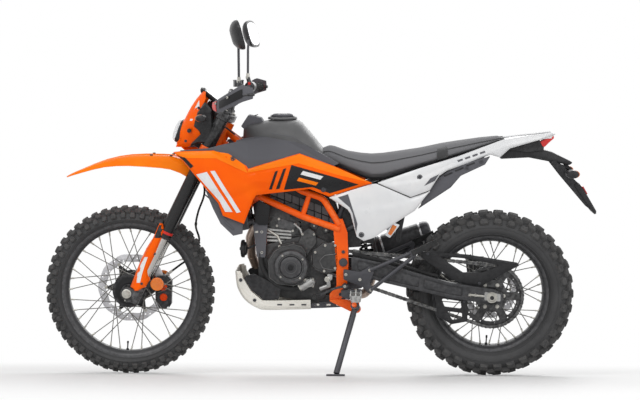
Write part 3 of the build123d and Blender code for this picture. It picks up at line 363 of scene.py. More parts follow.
# ---------------------------------------------------------------------------------------------
# Geometry Nodes for what repeats
# ---------------------------------------------------------------------------------------------
def new_tree(name, inputs):
    """An empty node group with its input and output nodes."""
    tree = bpy.data.node_groups.new(name, "GeometryNodeTree")
    tree.interface.new_socket("Geometry", in_out="OUTPUT", socket_type="NodeSocketGeometry")
    tree.interface.new_socket("Geometry", in_out="INPUT", socket_type="NodeSocketGeometry")
    for label, kind in inputs:
        tree.interface.new_socket(label, in_out="INPUT", socket_type="NodeSocket" + kind)
    return tree, tree.nodes.new("NodeGroupInput"), tree.nodes.new("NodeGroupOutput")


def close_tree(tree, given, out, instances):
    """Makes the instances real, paints them and hands them to the output."""
    realize = tree.nodes.new("GeometryNodeRealizeInstances")
    paint = tree.nodes.new("GeometryNodeSetMaterial")
    tree.links.new(instances, realize.inputs[0])
    tree.links.new(realize.outputs[0], paint.inputs[0])
    tree.links.new(given.outputs["Finish"], paint.inputs["Material"])
    tree.links.new(paint.outputs[0], out.inputs[0])
    return tree


def template_of(tree, given):
    info = tree.nodes.new("GeometryNodeObjectInfo")
    info.transform_space = "ORIGINAL"
    tree.links.new(given.outputs["Template"], info.inputs["Object"])
    return info.outputs["Geometry"]


def math_node(tree, operation, a, b):
    node = tree.nodes.new("ShaderNodeMath")
    node.operation = operation
    for socket, value in zip(node.inputs, (a, b)):
        if isinstance(value, (int, float)):
            socket.default_value = value
        else:
            tree.links.new(value, socket)
    return node.outputs[0]


def ring_tree():
    """Copies of a template turned in even steps about the Y axis."""
    name = "Copies round an axle"
    if name in bpy.data.node_groups:
        return bpy.data.node_groups[name]
    tree, given, out = new_tree(name, [("Template", "Object"), ("Count", "Int"), ("Start", "Float"),
                                       ("Finish", "Material")])
    line = tree.nodes.new("GeometryNodeMeshLine")
    tree.links.new(given.outputs["Count"], line.inputs["Count"])
    line.inputs["Offset"].default_value = (0, 0, 0)
    index = tree.nodes.new("GeometryNodeInputIndex")
    step = math_node(tree, "DIVIDE", 2 * pi, given.outputs["Count"])
    angle = math_node(tree, "ADD", math_node(tree, "MULTIPLY", index.outputs[0], step), given.outputs["Start"])
    turn = tree.nodes.new("ShaderNodeCombineXYZ")
    tree.links.new(angle, turn.inputs["Y"])
    spin = tree.nodes.new("FunctionNodeEulerToRotation")
    tree.links.new(turn.outputs[0], spin.inputs[0])
    copies = tree.nodes.new("GeometryNodeInstanceOnPoints")
    tree.links.new(line.outputs[0], copies.inputs["Points"])
    tree.links.new(template_of(tree, given), copies.inputs["Instance"])
    tree.links.new(spin.outputs[0], copies.inputs["Rotation"])
    return close_tree(tree, given, out, copies.outputs[0])


def facing_tree(flat):
    """Copies of a template on points. Each turns to its point's stored direction: freely, or about Y only."""
    name = "Copies along a flat path" if flat else "Copies that face outwards"
    if name in bpy.data.node_groups:
        return bpy.data.node_groups[name]
    tree, given, out = new_tree(name, [("Template", "Object"), ("Size", "Float"), ("Finish", "Material")])
    stored = tree.nodes.new("GeometryNodeInputNamedAttribute")
    stored.data_type = "FLOAT_VECTOR"
    stored.inputs["Name"].default_value = "direction"
    aim = tree.nodes.new("FunctionNodeAlignRotationToVector")
    aim.axis = "X" if flat else "Z"
    aim.pivot_axis = "Y" if flat else "AUTO"
    tree.links.new(stored.outputs[0], aim.inputs["Vector"])
    copies = tree.nodes.new("GeometryNodeInstanceOnPoints")
    tree.links.new(given.outputs["Geometry"], copies.inputs["Points"])
    tree.links.new(template_of(tree, given), copies.inputs["Instance"])
    tree.links.new(aim.outputs[0], copies.inputs["Rotation"])
    tree.links.new(given.outputs["Size"], copies.inputs["Scale"])
    return close_tree(tree, given, out, copies.outputs[0])


def spring_tree():
    """A round wire wound into a coil along Z."""
    name = "Coil spring"
    if name in bpy.data.node_groups:
        return bpy.data.node_groups[name]
    tree, given, out = new_tree(name, [("Turns", "Float"), ("Radius", "Float"), ("Length", "Float"),
                                       ("Wire", "Float"), ("Finish", "Material")])
    coil = tree.nodes.new("GeometryNodeCurveSpiral")
    coil.inputs["Resolution"].default_value = 20
    for socket, label in (("Rotations", "Turns"), ("Start Radius", "Radius"), ("End Radius", "Radius"),
                          ("Height", "Length")):
        tree.links.new(given.outputs[label], coil.inputs[socket])
    wire = tree.nodes.new("GeometryNodeCurvePrimitiveCircle")
    wire.inputs["Resolution"].default_value = 10
    tree.links.new(given.outputs["Wire"], wire.inputs["Radius"])
    skin = tree.nodes.new("GeometryNodeCurveToMesh")
    skin.inputs["Fill Caps"].default_value = True
    tree.links.new(coil.outputs[0], skin.inputs["Curve"])
    tree.links.new(wire.outputs["Curve"], skin.inputs["Profile Curve"])
    return close_tree(tree, given, out, skin.outputs[0])


def run_tree(tree, base, values):
    """Runs a tree on a mesh and gives the plain result."""
    holder = bpy.data.objects.new("repeat", base)
    bpy.context.scene.collection.objects.link(holder)
    nodes = holder.modifiers.new("Repeat", "NODES")
    nodes.node_group = tree
    for item in tree.interface.items_tree:
        if item.item_type == "SOCKET" and item.in_out == "INPUT" and item.name in values:
            nodes[item.identifier] = values[item.name]
    return plain_mesh(holder)


def around(shape, count, start, centre):
    """A shape drawn about the Y axis, copied round it, then moved to a centre."""
    template = bpy.data.objects.new("template", to_mesh(shape))
    mesh = run_tree(ring_tree(), bpy.data.meshes.new("base"),
                    {"Template": template, "Count": count, "Start": start, "Finish": material("black_steel")})
    bpy.data.objects.remove(template)
    return Shape().mesh(mesh, Matrix.Translation(Vector(centre)))


def copies(shape, points, directions, finish=None, flat=False):
    """A shape drawn along Z, or along X when flat, copied to points and turned to their directions."""
    base = bpy.data.meshes.new("base")
    base.from_pydata([tuple(p) for p in points], [], [])
    stored = base.attributes.new("direction", "FLOAT_VECTOR", "POINT")
    stored.data.foreach_set("vector", [c for d in directions for c in Vector(d)])
    template = bpy.data.objects.new("template", to_mesh(shape))
    mesh = run_tree(facing_tree(flat), base, {"Template": template, "Size": 1.0, "Finish": material("black_steel")})
    bpy.data.objects.remove(template)
    return Shape().mesh(mesh, None, finish)


def spring(foot, head, radius, wire, turns, finish):
    """A coil of round wire from foot to head."""
    foot, head = Vector(foot), Vector(head)
    mesh = run_tree(spring_tree(), bpy.data.meshes.new("base"),
                    {"Turns": turns, "Radius": radius, "Length": (head - foot).length, "Wire": wire,
                     "Finish": material("black_steel")})
    aim = Vector((0, 0, 1)).rotation_difference(head - foot).to_matrix().to_4x4()
    return Shape().mesh(mesh, Matrix.Translation(foot) @ aim, finish)


def socket_head(radius, height):
    """A screw's round head with its hexagon socket, along Z."""
    rings = [[(radius * f * cos(pi * i / 6), radius * f * sin(pi * i / 6), z) for i in range(12)]
             for f, z in ((1.0, -1.0), (1.0, height * 0.8), (0.86, height), (0.52, height), (0.5, height * 0.4))]
    return Shape().rings(rings)


def hex_head(radius, height):
    """A hexagon head on its flange, along Z."""
    head = Shape()
    head.rings([[(radius * 1.25 * cos(pi * i / 6), radius * 1.25 * sin(pi * i / 6), z) for i in range(12)]
                for z in (-1.0, 1.2)])
    head.rings([[(radius * f * cos(pi * i / 3), radius * f * sin(pi * i / 3), z) for i in range(6)]
                for f, z in ((1.0, 1.0), (1.0, height * 0.85), (0.85, height))])
    return head


def screws(places, direction, radius, height, finish, hexagon=False):
    """Screw heads at places, all facing one way."""
    head = hex_head(radius, height) if hexagon else socket_head(radius, height)
    return copies(head, places, [direction] * len(places), finish)


# ---------------------------------------------------------------------------------------------
# Finishes
# ---------------------------------------------------------------------------------------------
def paint(red, green, blue):
    """A colour in screen values, 0 to 255, as the shader wants it."""
    def linear(value):
        value /= 255
        return value / 12.92 if value <= 0.04045 else ((value + 0.055) / 1.055) ** 2.4
    return (linear(red), linear(green), linear(blue), 1.0)


# slot, colour, its second tone, roughness, metal, and how the surface is worked:
# grain is (kind, size in mm, depth in mm), edge_wear_and_highlight the colour painted on sharp edges and how much of
# it: partly rubbed wear, partly painted highlight
FINISHES = {
    "orange_frame": dict(slot="frame_orange", shine=0.2, tone=paint(250, 98, 2), second=paint(238, 84, 0), rough=0.38,
                         grain=("noise", 2.2, 0.05), edge_wear_and_highlight=(paint(255, 150, 80), 0.3), coat=0.15),
    "orange_panel": dict(slot="panel_orange", shine=0.1, tone=paint(255, 102, 0), second=paint(250, 90, 0), rough=0.36,
                         grain=("noise", 1.1, 0.012), edge_wear_and_highlight=(paint(255, 140, 40), 0.2), coat=0.05),
    # a brighter orange: painted highlight on the shroud tops and the fender's upward face, and one stripe of the
    # shroud graphics
    "orange_stripe_and_painted_highlight": dict(slot="panel_orange", shine=0.1, tone=paint(255, 132, 16), second=paint(255, 120, 8),
                          rough=0.36, grain=("noise", 1.1, 0.012), edge_wear_and_highlight=(paint(255, 160, 60), 0.2), coat=0.05),
    # a deeper orange: painted shade in the fender's middle channel, and the colour of the caliper's inner caps
    "orange_deep_and_painted_shade": dict(slot="panel_orange", shine=0.2, tone=paint(236, 74, 4), second=paint(226, 64, 2), rough=0.38,
                        grain=("noise", 1.1, 0.02)),
    "red_trim": dict(slot="red_lens", tone=paint(214, 30, 20), second=paint(190, 20, 14), rough=0.35,
                     grain=("noise", 1.5, 0.02), edge_wear_and_highlight=(paint(240, 90, 70), 0.2)),
    "white_panel": dict(slot="panel_white", tone=paint(226, 226, 226), second=paint(214, 215, 217), rough=0.32,
                        grain=("noise", 1.1, 0.012), edge_wear_and_highlight=(paint(170, 170, 170), 0.12), coat=0.35),
    "white_film": dict(slot="panel_white", tone=paint(232, 232, 232), second=paint(222, 222, 224), rough=0.28,
                       grain=("noise", 3.0, 0.006)),
    "black_film": dict(slot="dark_plastic", shine=0.3, tone=paint(28, 28, 30), second=paint(20, 20, 22), rough=0.3,
                       grain=("noise", 3.0, 0.006)),
    "dark_plastic": dict(slot="dark_plastic", shine=0.35, tone=paint(58, 58, 60), second=paint(48, 48, 50), rough=0.56,
                         grain=("pebble", 0.9, 0.06), edge_wear_and_highlight=(paint(104, 104, 106), 0.3)),
    "tank_plastic": dict(slot="dark_plastic", tone=paint(92, 92, 93), second=paint(78, 78, 79), rough=0.46,
                         grain=("pebble", 0.7, 0.03), edge_wear_and_highlight=(paint(110, 110, 112), 0.25)),
    "black_plastic": dict(slot="dark_plastic", shine=0.35, tone=paint(27, 27, 29), second=paint(18, 18, 20),
                          rough=0.42, grain=("pebble", 0.8, 0.04), edge_wear_and_highlight=(paint(80, 80, 82), 0.3)),
    "tyre_rubber": dict(slot="tyre", tone=paint(66, 66, 67), second=paint(44, 44, 45), rough=0.78,
                        grain=("noise", 1.6, 0.10), edge_wear_and_highlight=(paint(92, 90, 88), 0.45), mottle=9),
    "sidewall": dict(slot="tyre", tone=paint(64, 64, 65), second=paint(50, 50, 51), rough=0.7,
                     grain=("noise", 0.9, 0.05), mottle=7),
    "rubber": dict(slot="black_rubber", tone=paint(30, 30, 31), second=paint(20, 20, 21), rough=0.8,
                   grain=("noise", 0.8, 0.05), edge_wear_and_highlight=(paint(70, 70, 70), 0.25)),
    "black_steel": dict(slot="black_steel", tone=paint(40, 40, 42), second=paint(28, 28, 30), rough=0.42,
                        metal=0.35, grain=("noise", 1.8, 0.03), edge_wear_and_highlight=(paint(120, 120, 122), 0.3)),
    "rim_black": dict(slot="black_steel", tone=paint(62, 62, 64), second=paint(50, 50, 52), rough=0.42,
                      metal=0.1, grain=("noise", 0.7, 0.012), edge_wear_and_highlight=(paint(130, 130, 132), 0.3)),
    "hub_black": dict(slot="black_steel", shine=0.35, tone=paint(20, 20, 22), second=paint(12, 12, 14), rough=0.36,
                      metal=0.1, grain=("noise", 0.9, 0.02), edge_wear_and_highlight=(paint(120, 120, 122), 0.3)),
    "fork_black": dict(slot="black_steel", shine=0.4, tone=paint(30, 29, 30), second=paint(20, 20, 21), rough=0.26,
                       metal=0.15, grain=("noise", 0.7, 0.01), edge_wear_and_highlight=(paint(150, 150, 152), 0.35)),
    "black_alloy": dict(slot="black_steel", tone=paint(48, 48, 50), second=paint(38, 38, 40), rough=0.36,
                        metal=0.5, grain=("noise", 0.7, 0.012), edge_wear_and_highlight=(paint(130, 130, 132), 0.3)),
    "dark_alloy": dict(slot="dark_aluminium", tone=paint(58, 58, 60), second=paint(46, 46, 48), rough=0.5,
                       metal=0.4, grain=("noise", 0.9, 0.05), edge_wear_and_highlight=(paint(130, 130, 132), 0.3)),
    "cast_dark": dict(slot="engine_paint", tone=paint(60, 60, 61), second=paint(46, 46, 47), rough=0.55,
                      metal=0.3, grain=("noise", 0.8, 0.09), edge_wear_and_highlight=(paint(126, 126, 124), 0.3), mottle=12),
    "cast_light": dict(slot="bare_aluminium", tone=paint(176, 176, 174), second=paint(140, 140, 139), rough=0.45,
                       metal=0.75, grain=("noise", 0.9, 0.09), edge_wear_and_highlight=(paint(220, 220, 218), 0.3)),
    # thin lines on the engine covers' edges and rings: painted highlights
    "edge_painted_highlight": dict(slot="engine_paint", tone=paint(104, 104, 104), second=paint(84, 84, 84), rough=0.4,
                      metal=0.3, grain=("noise", 0.9, 0.03)),
    "cover_dark": dict(slot="engine_paint", tone=paint(66, 66, 68), second=paint(56, 56, 58), rough=0.42,
                       metal=0.35, grain=("noise", 1.2, 0.04), edge_wear_and_highlight=(paint(128, 128, 128), 0.35)),
    "alloy": dict(slot="bare_aluminium", tone=paint(196, 196, 197), second=paint(168, 168, 170), rough=0.32,
                  metal=0.9, grain=("brushed", 0.6, 0.02), edge_wear_and_highlight=(paint(235, 235, 235), 0.3)),
    "skid_alloy": dict(slot="bare_aluminium", tone=paint(230, 227, 219), second=paint(214, 211, 202), rough=0.5,
                       metal=0.25, grain=("brushed", 0.9, 0.03), edge_wear_and_highlight=(paint(236, 234, 228), 0.3)),
    "fork_silver": dict(slot="bare_aluminium", tone=paint(214, 212, 208), second=paint(190, 188, 184), rough=0.2,
                        metal=0.95, grain=("brushed", 0.5, 0.006)),
    "zinc": dict(slot="bare_aluminium", tone=paint(190, 188, 180), second=paint(156, 154, 148), rough=0.38,
                 metal=0.85, grain=("noise", 0.7, 0.03), edge_wear_and_highlight=(paint(230, 228, 222), 0.3)),
    "header_steel": dict(slot="exhaust_steel", tone=paint(198, 184, 172), second=paint(150, 126, 112), rough=0.32,
                         metal=0.6, grain=("brushed", 0.5, 0.015), mottle=16),
    "disc_steel": dict(slot="disc_steel", tone=paint(176, 174, 170), second=paint(146, 144, 141), rough=0.34,
                       metal=0.85, grain=("brushed", 0.35, 0.02)),
    "chain_steel": dict(slot="black_steel", tone=paint(112, 110, 106), second=paint(70, 69, 67), rough=0.4,
                        metal=0.8, grain=("noise", 0.6, 0.03), edge_wear_and_highlight=(paint(190, 188, 182), 0.4)),
    "sprocket_steel": dict(slot="black_steel", tone=paint(52, 52, 53), second=paint(38, 38, 39), rough=0.42,
                           metal=0.5, grain=("noise", 0.9, 0.04), edge_wear_and_highlight=(paint(150, 150, 150), 0.5)),
    "seat_cover": dict(slot="seat_cover", tone=paint(66, 66, 67), second=paint(56, 56, 57), rough=0.68,
                       grain=("leather", 1.7, 0.14), sheen=0.25, mottle=6),
    "seat_grip": dict(slot="seat_cover", tone=paint(58, 58, 59), second=paint(48, 48, 49), rough=0.78,
                      grain=("leather", 0.9, 0.22), sheen=0.3, mottle=6),
    "thread": dict(slot="seat_cover", tone=paint(92, 92, 92), second=paint(70, 70, 70), rough=0.8,
                   grain=("noise", 0.3, 0.05)),
    "mirror_glass": dict(slot="mirror_glass", tone=paint(226, 228, 230), second=paint(216, 219, 222), rough=0.03,
                         metal=1.0, grain=("noise", 9.0, 0.002)),
    "screen": dict(slot="dark_plastic", tone=paint(16, 18, 22), second=paint(26, 29, 34), rough=0.12,
                   grain=("noise", 6.0, 0.003), mottle=20),
    "reflector_silver": dict(slot="bare_aluminium", tone=paint(228, 230, 232), second=paint(206, 209, 212),
                             rough=0.12, metal=0.9, grain=("flutes", 3.0, 0.15)),
    "radiator_fins": dict(slot="dark_aluminium", tone=paint(40, 40, 42), second=paint(26, 26, 28), rough=0.5,
                          metal=0.5, grain=("brushed", 1.6, 0.2)),
    "clear_lens": dict(slot="clear_lens", tone=paint(245, 248, 250), rough=0.04, glass=0.86,
                       grain=("flutes", 5.0, 0.05)),
    "amber_lens": dict(slot="clear_lens", tone=paint(255, 138, 14), second=paint(240, 118, 6), rough=0.14,
                       grain=("flutes", 2.4, 0.22), glass=0.25, coat=0.5),
    "red_lens": dict(slot="red_lens", tone=paint(214, 12, 24), second=paint(180, 6, 14), rough=0.14,
                     grain=("flutes", 2.6, 0.22), glass=0.2, coat=0.5),
}


def material(name):
    """The finish of that name as a node material, made on first use."""
    if name in bpy.data.materials:
        return bpy.data.materials[name]
    facts = FINISHES[name]
    made = bpy.data.materials.new(name)
    made.use_nodes = True
    tree = made.node_tree
    nodes, links = tree.nodes, tree.links
    shader = nodes["Principled BSDF"]
    where = nodes.new("ShaderNodeTexCoord").outputs["Object"]

    def noise(size, detail=3.0, roughness=0.55, stretch=None):
        texture = nodes.new("ShaderNodeTexNoise")
        texture.inputs["Scale"].default_value = METRE / size
        texture.inputs["Detail"].default_value = detail
        texture.inputs["Roughness"].default_value = roughness
        source = where
        if stretch:
            mapping = nodes.new("ShaderNodeMapping")
            mapping.inputs["Scale"].default_value = stretch
            links.new(where, mapping.inputs["Vector"])
            source = mapping.outputs[0]
        links.new(source, texture.inputs["Vector"])
        return texture.outputs["Fac"]

    def ranged(value, low, high, start=0.3, end=0.7):
        change = nodes.new("ShaderNodeMapRange")
        change.inputs["From Min"].default_value, change.inputs["From Max"].default_value = start, end
        change.inputs["To Min"].default_value, change.inputs["To Max"].default_value = low, high
        links.new(value, change.inputs["Value"])
        return change.outputs[0]

    def mixed(factor, first, second):
        mix = nodes.new("ShaderNodeMix")
        mix.data_type = "RGBA"
        links.new(factor, mix.inputs["Factor"])
        for socket, value in zip((mix.inputs["A"], mix.inputs["B"]), (first, second)):
            if isinstance(value, tuple):
                socket.default_value = value
            else:
                links.new(value, socket)
        return mix.outputs["Result"]

    broad = noise(METRE / facts.get("mottle", 10), 4.0)
    colour = mixed(ranged(broad, 0.0, 1.0), facts["tone"], facts.get("second", facts["tone"]))
    # sharp edges are painted a second colour, mostly lighter: partly rubbed wear, partly painted highlight
    if "edge_wear_and_highlight" in facts:
        edge = nodes.new("ShaderNodeNewGeometry")
        rubbed_and_highlit = math_node(tree, "MULTIPLY", ranged(edge.outputs["Pointiness"], 0.0, 1.0, 0.505, 0.56),
                           ranged(noise(14.0, 4.0), 0.0, facts["edge_wear_and_highlight"][1], 0.35, 0.65))
        colour = mixed(rubbed_and_highlit, colour, facts["edge_wear_and_highlight"][0])
    links.new(colour, shader.inputs["Base Color"])
    links.new(ranged(noise(30.0, 4.0), max(facts["rough"] - 0.06, 0.02), facts["rough"] + 0.08),
              shader.inputs["Roughness"])
    shader.inputs["Metallic"].default_value = facts.get("metal", 0.0)
    shader.inputs["Specular IOR Level"].default_value = facts.get("shine", 0.5)
    shader.inputs["Coat Weight"].default_value = facts.get("coat", 0.0)
    shader.inputs["Coat Roughness"].default_value = 0.12
    shader.inputs["Sheen Weight"].default_value = facts.get("sheen", 0.0)
    shader.inputs["Transmission Weight"].default_value = facts.get("glass", 0.0)
    if facts.get("glass", 0.0) > 0.5:
        shader.inputs["IOR"].default_value = 1.3
    kind, size, depth = facts["grain"]
    if kind in ("pebble", "leather"):
        cells = nodes.new("ShaderNodeTexVoronoi")
        cells.feature = "SMOOTH_F1" if kind == "pebble" else "DISTANCE_TO_EDGE"
        cells.inputs["Scale"].default_value = METRE / size
        links.new(where, cells.inputs["Vector"])
        height = cells.outputs["Distance"]
        if kind == "leather":
            height = math_node(tree, "ADD", ranged(height, 0.0, 1.0, 0.0, 0.28),
                               ranged(noise(size * 0.5), 0.0, 0.35))
    elif kind == "brushed":
        height = noise(size, 2.0, 0.6, (0.06, 1.0, 1.0))
    elif kind == "flutes":
        wave = nodes.new("ShaderNodeTexWave")
        wave.inputs["Scale"].default_value = METRE / size / 3.0
        wave.bands_direction = "Z"
        links.new(where, wave.inputs["Vector"])
        height = wave.outputs["Fac"]
    else:
        height = noise(size, 4.0)
    bump = nodes.new("ShaderNodeBump")
    bump.inputs["Distance"].default_value = depth * MM
    bump.inputs["Strength"].default_value = 0.9
    links.new(height, bump.inputs["Height"])
    links.new(bump.outputs[0], shader.inputs["Normal"])
    return made


def repaint(node, finish):
    """Gives a carried-over CAD node its finish."""
    data = frame["nodes"][node].data
    data.materials.clear()
    data.materials.append(material(finish))


# ---------------------------------------------------------------------------------------------
# Wheels
# ---------------------------------------------------------------------------------------------
def tyre_carcass(axle, outer, crown, knob, reach, sidewall):
    """The tyre's casing: an arc under the tread, then the sidewall down to the bead."""
    hub = outer - crown
    arc = [(hub + (crown - knob) * cos(radians(a)), (crown - knob) * sin(radians(a)))
           for a in range(0, reach + 1, 5)]
    half = arc + sidewall
    profile = [(r, -y) for r, y in half[::-1]] + half[1:] + [(sidewall[-1][0] - 3, 0.0)]
    return Shape().lathe(profile, axle, ACROSS, 144, loop=True)


def tread_block(outer, crown, knob, angle, length, width, skew):
    """One tread block at a wheel's rearmost point, tilted round the crown by an angle."""
    tilt = radians(angle)
    hub = outer - crown
    out, over = Vector((cos(tilt), sin(tilt), 0)), Vector((-sin(tilt), cos(tilt), 0))
    rings = []
    for height, share in ((-2.5, 1.08), (knob - 1.4, 0.87), (knob, 0.78)):
        centre = Vector((hub, 0, 0)) + out * (crown - knob + height)
        corners = []
        for a, b in ((-1, -1), (0.15, -1), (1, -0.72), (1, 0.8), (-0.2, 1), (-1, 0.7)):
            corners.append(centre + over * (a * width / 2 * share)
                           + Vector((0, 0, 1)) * (b * length / 2 * share + a * skew))
        rings.append(corners)
    return Shape().rings(rings)


def tyre(axle, outer, crown, knob, reach, sidewall, rows, count):
    """Casing, raised rings on the sidewall and rows of (angle, length, width, skew, phase) blocks."""
    casing = tyre_carcass(axle, outer, crown, knob, reach, sidewall)
    blocks = Shape()
    for angle, length, width, skew, phase in rows:
        for side in (-1, 1):
            block = tread_block(outer, crown, knob, angle * side, length, width, skew * side)
            blocks.join(around(block, count, phase * 2 * pi / count, axle), finish="tyre_rubber")
    for radius, side in ((sidewall[0][0] + 2, sidewall[0][1] + 0.4), (sidewall[2][0], sidewall[2][1] + 0.3)):
        for way in (-1, 1):
            bead = [(radius + 1.4 * cos(2 * pi * k / 6), way * side + 1.1 * sin(2 * pi * k / 6)) for k in range(6)]
            casing.lathe(bead, axle, ACROSS, 144, loop=True)
    blocks.join(casing, finish="sidewall")
    return blocks


def spoke_set(flange, flange_side, rim, rim_side, hub_turn, radius):
    """One spoke with its nipple at a wheel's rearmost rim hole, running back round to the hub flange."""
    foot = Vector((flange * cos(hub_turn), flange_side, flange * sin(hub_turn)))
    head = Vector((rim, rim_side, 0))
    along = (head - foot).normalized()
    lean_in = Vector((0, -1 if flange_side > 0 else 1, 0))
    spoke = Shape().tube([foot + lean_in * 5, foot + along * 1.5, head], radius, 7)
    nipple = Shape().lathe([(2.4, -16), (3.5, -14), (3.5, -2), (4.6, -1), (4.6, 3)], head, along, 8)
    return spoke, nipple


def wheel_pieces(side, axle, body, rim, hub, valve_turn, spoke_radius):
    """Rim, spokes and hub as one piece."""
    bead, half, lip, deep = rim
    profile = [(bead + lip, -half - 4), (bead + lip + 1, -half - 2), (bead + lip, -half), (bead + 3, -half + 1),
               (bead, -half + 3), (bead - 2, -half + 14), (bead - 9, -10), (bead - 9, 10), (bead - 2, half - 14),
               (bead, half - 3), (bead + 3, half - 1), (bead + lip, half), (bead + lip + 1, half + 2),
               (bead + lip, half + 4), (bead + 4, half + 3), (bead - 5, half - 1), (bead - 11, half - 13),
               (bead - deep, 11), (bead - deep, -11), (bead - 11, -half + 13), (bead - 5, -half + 1),
               (bead + 4, -half - 3)]
    shell = Shape().lathe(profile, axle, ACROSS, 144, loop=True)
    barrel, flange, spread, width = hub
    left, right = -width / 2, width / 2
    hub_profile = [(17, left), (28, left), (31, left + 3), (31, -spread - 12), (barrel, -spread - 8),
                   (flange - 14, -spread - 4), (flange, -spread - 3.5), (flange, -spread + 3.5),
                   (barrel + 8, -spread + 6), (barrel, -spread + 16), (barrel - 4, 0), (barrel, spread - 16),
                   (barrel + 8, spread - 6), (flange, spread - 3.5), (flange, spread + 3.5),
                   (flange - 14, spread + 4), (barrel, spread + 8), (31, spread + 12), (31, right - 3), (28, right),
                   (17, right)]
    small = Shape().lathe(hub_profile, axle, ACROSS, 64, finish="hub_black", loop=True)
    reach = bead - deep - 1
    for k, (way, turn) in enumerate(((-1, 1), (1, 1), (-1, -1), (1, -1))):
        angle = turn * acos(min(0.99, (flange - 6) / reach)) * 0.94
        spoke, nipple = spoke_set(flange - 6, way * spread, reach, way * 7, angle, spoke_radius)
        small.join(around(spoke, 9, k * 2 * pi / 36, axle), finish="chain_steel")
        small.join(around(nipple, 9, k * 2 * pi / 36, axle), finish="zinc")
    turn = Matrix.Translation(Vector(axle)) @ Matrix.Rotation(valve_turn, 4, "Y") @ Matrix.Translation(
        Vector((reach - 36, 0, 0)))
    stem = Shape().lathe([(2.6, 0), (4, 1), (4, 10), (2.8, 11), (2.8, 30), (6, 32), (6, 37)], (0, 0, 0), (1, 0, 0), 12)
    small.join(stem, turn, finish="rubber")
    piece(side + "_wheel_rim", shell, ["rim_black", "hub_black", "chain_steel", "zinc", "rubber"], body,
          [side + "_rim"], plain=small, angle=40, weld=0.001)


def brake_disc(name, node, body, axle, side, radius, band, waves, carrier, arms):
    """A wavy, drilled disc on its carrier."""
    cx, cz = axle.x, axle.z
    outer = [(cx + (radius - 2 + 2 * cos(waves * t)) * cos(t), cz + (radius - 2 + 2 * cos(waves * t)) * sin(t))
             for t in (2 * pi * i / (waves * 10) for i in range(waves * 10))]
    inner_radius = radius - band
    inner = [(cx + (inner_radius + 2.5 * cos(waves * t)) * cos(t),
              cz + (inner_radius + 2.5 * cos(waves * t)) * sin(t))
             for t in (2 * pi * i / (waves * 8) for i in range(waves * 8))]
    holes = []
    for i in range(waves):
        for j, share in enumerate((0.2, 0.5, 0.8)):
            t = 2 * pi * (i + 0.22 * j) / waves
            r = inner_radius + 3 + (band - 10) * share
            holes.append(circle(cx + r * cos(t), cz + r * sin(t), 3.2, 8))
    rotor = pierced([outer, inner] + holes, side - 2.2, side + 2.2, 0.5)
    spider = []
    steps = arms * 8
    for i in range(steps):
        t = 2 * pi * i / steps
        share = max(0.0, cos(arms * t))
        r = carrier + (inner_radius + 7 - carrier) * share ** 3
        spider.append((cx + r * cos(t), cz + r * sin(t)))
    shape = pierced([spider, circle(cx, cz, 26, 24)], side - 3.4, side + 1.2, 0.6)
    shape.finishes = ["hub_black"] * len(shape.faces)
    rotor.join(shape)
    button = Shape().lathe([(0.1, -4.4), (6.5, -4.2), (7, -3), (7, 2.6), (6, 3.4), (0.1, 3.4)],
                           (inner_radius + 1, side, 0), ACROSS, 12)
    rotor.join(around(button, arms, 0, (cx, 0, cz)), finish="zinc")
    head = Shape().join(socket_head(5.5, 4), Matrix.Translation(Vector((carrier - 8, side + 1.2, 0)))
                        @ Matrix.Rotation(-pi / 2, 4, "X"))
    rotor.join(around(head, 6, 0.3, (cx, 0, cz)), finish="zinc")
    piece(name, Shape(), ["disc_steel", "hub_black", "zinc"], body, [node], plain=rotor, weld=0.001)


def build_tyres(settings):
    front = tyre(FRONT_AXLE, 347.5, 52, settings.front_knob_height, 80,
                 [(292, 44.5), (286, 41.5), (281.5, 35), (277, 27.5), (268, 25)],
                 [(15, 25, 23, 3.0, 0.0), (44, 27, 20, -2.0, 0.4), (69, 24, 22, 1.0, 0.95)], settings.front_knobs)
    piece("front_tyre_knobbly", Shape(), ["sidewall", "tyre_rubber"], "front_wheel", ["front_tyre"], plain=front,
          weld=0.001)
    rear = tyre(REAR_AXLE, 340.5, 86, settings.rear_knob_height, 65,
                [(272, 68.8), (258, 66.5), (248, 59), (241, 48), (236, 39), (229.5, 36)],
                [(12, 37, 29, 4.0, 0.0), (35, 40, 26, -3.0, 0.4), (55, 36, 25, 1.5, 0.95)], settings.rear_knobs)
    piece("rear_tyre_knobbly", Shape(), ["sidewall", "tyre_rubber"], "rear_wheel", ["rear_tyre"], plain=rear,
          weld=0.001)


def build_rims(settings):
    wheel_pieces("front", FRONT_AXLE, "front_wheel", (268, 27, 13, 16), (34, 68, 39, 122), pi / 2 + 0.06,
                 settings.spoke_radius)
    wheel_pieces("rear", REAR_AXLE, "rear_wheel", (229.5, 38, 13, 16), (30, 66, 44, 176), pi / 2 + 0.06,
                 settings.spoke_radius)


def build_discs():
    brake_disc("front_brake_disc", "front_disc", "front_wheel", FRONT_AXLE, 55, 142.5, 34, 10, 74, 6)
    brake_disc("rear_brake_disc", "rear_disc", "rear_wheel", REAR_AXLE, 84, 120, 32, 9, 48, 6)


# ---------------------------------------------------------------------------------------------
# Chain and sprocket
# ---------------------------------------------------------------------------------------------
CHAIN_PITCH = 15.875
CHAIN_SIDE = -86.0
SPROCKET_TEETH = 50
FRONT_SPROCKET = Vector((58, 0, 486))


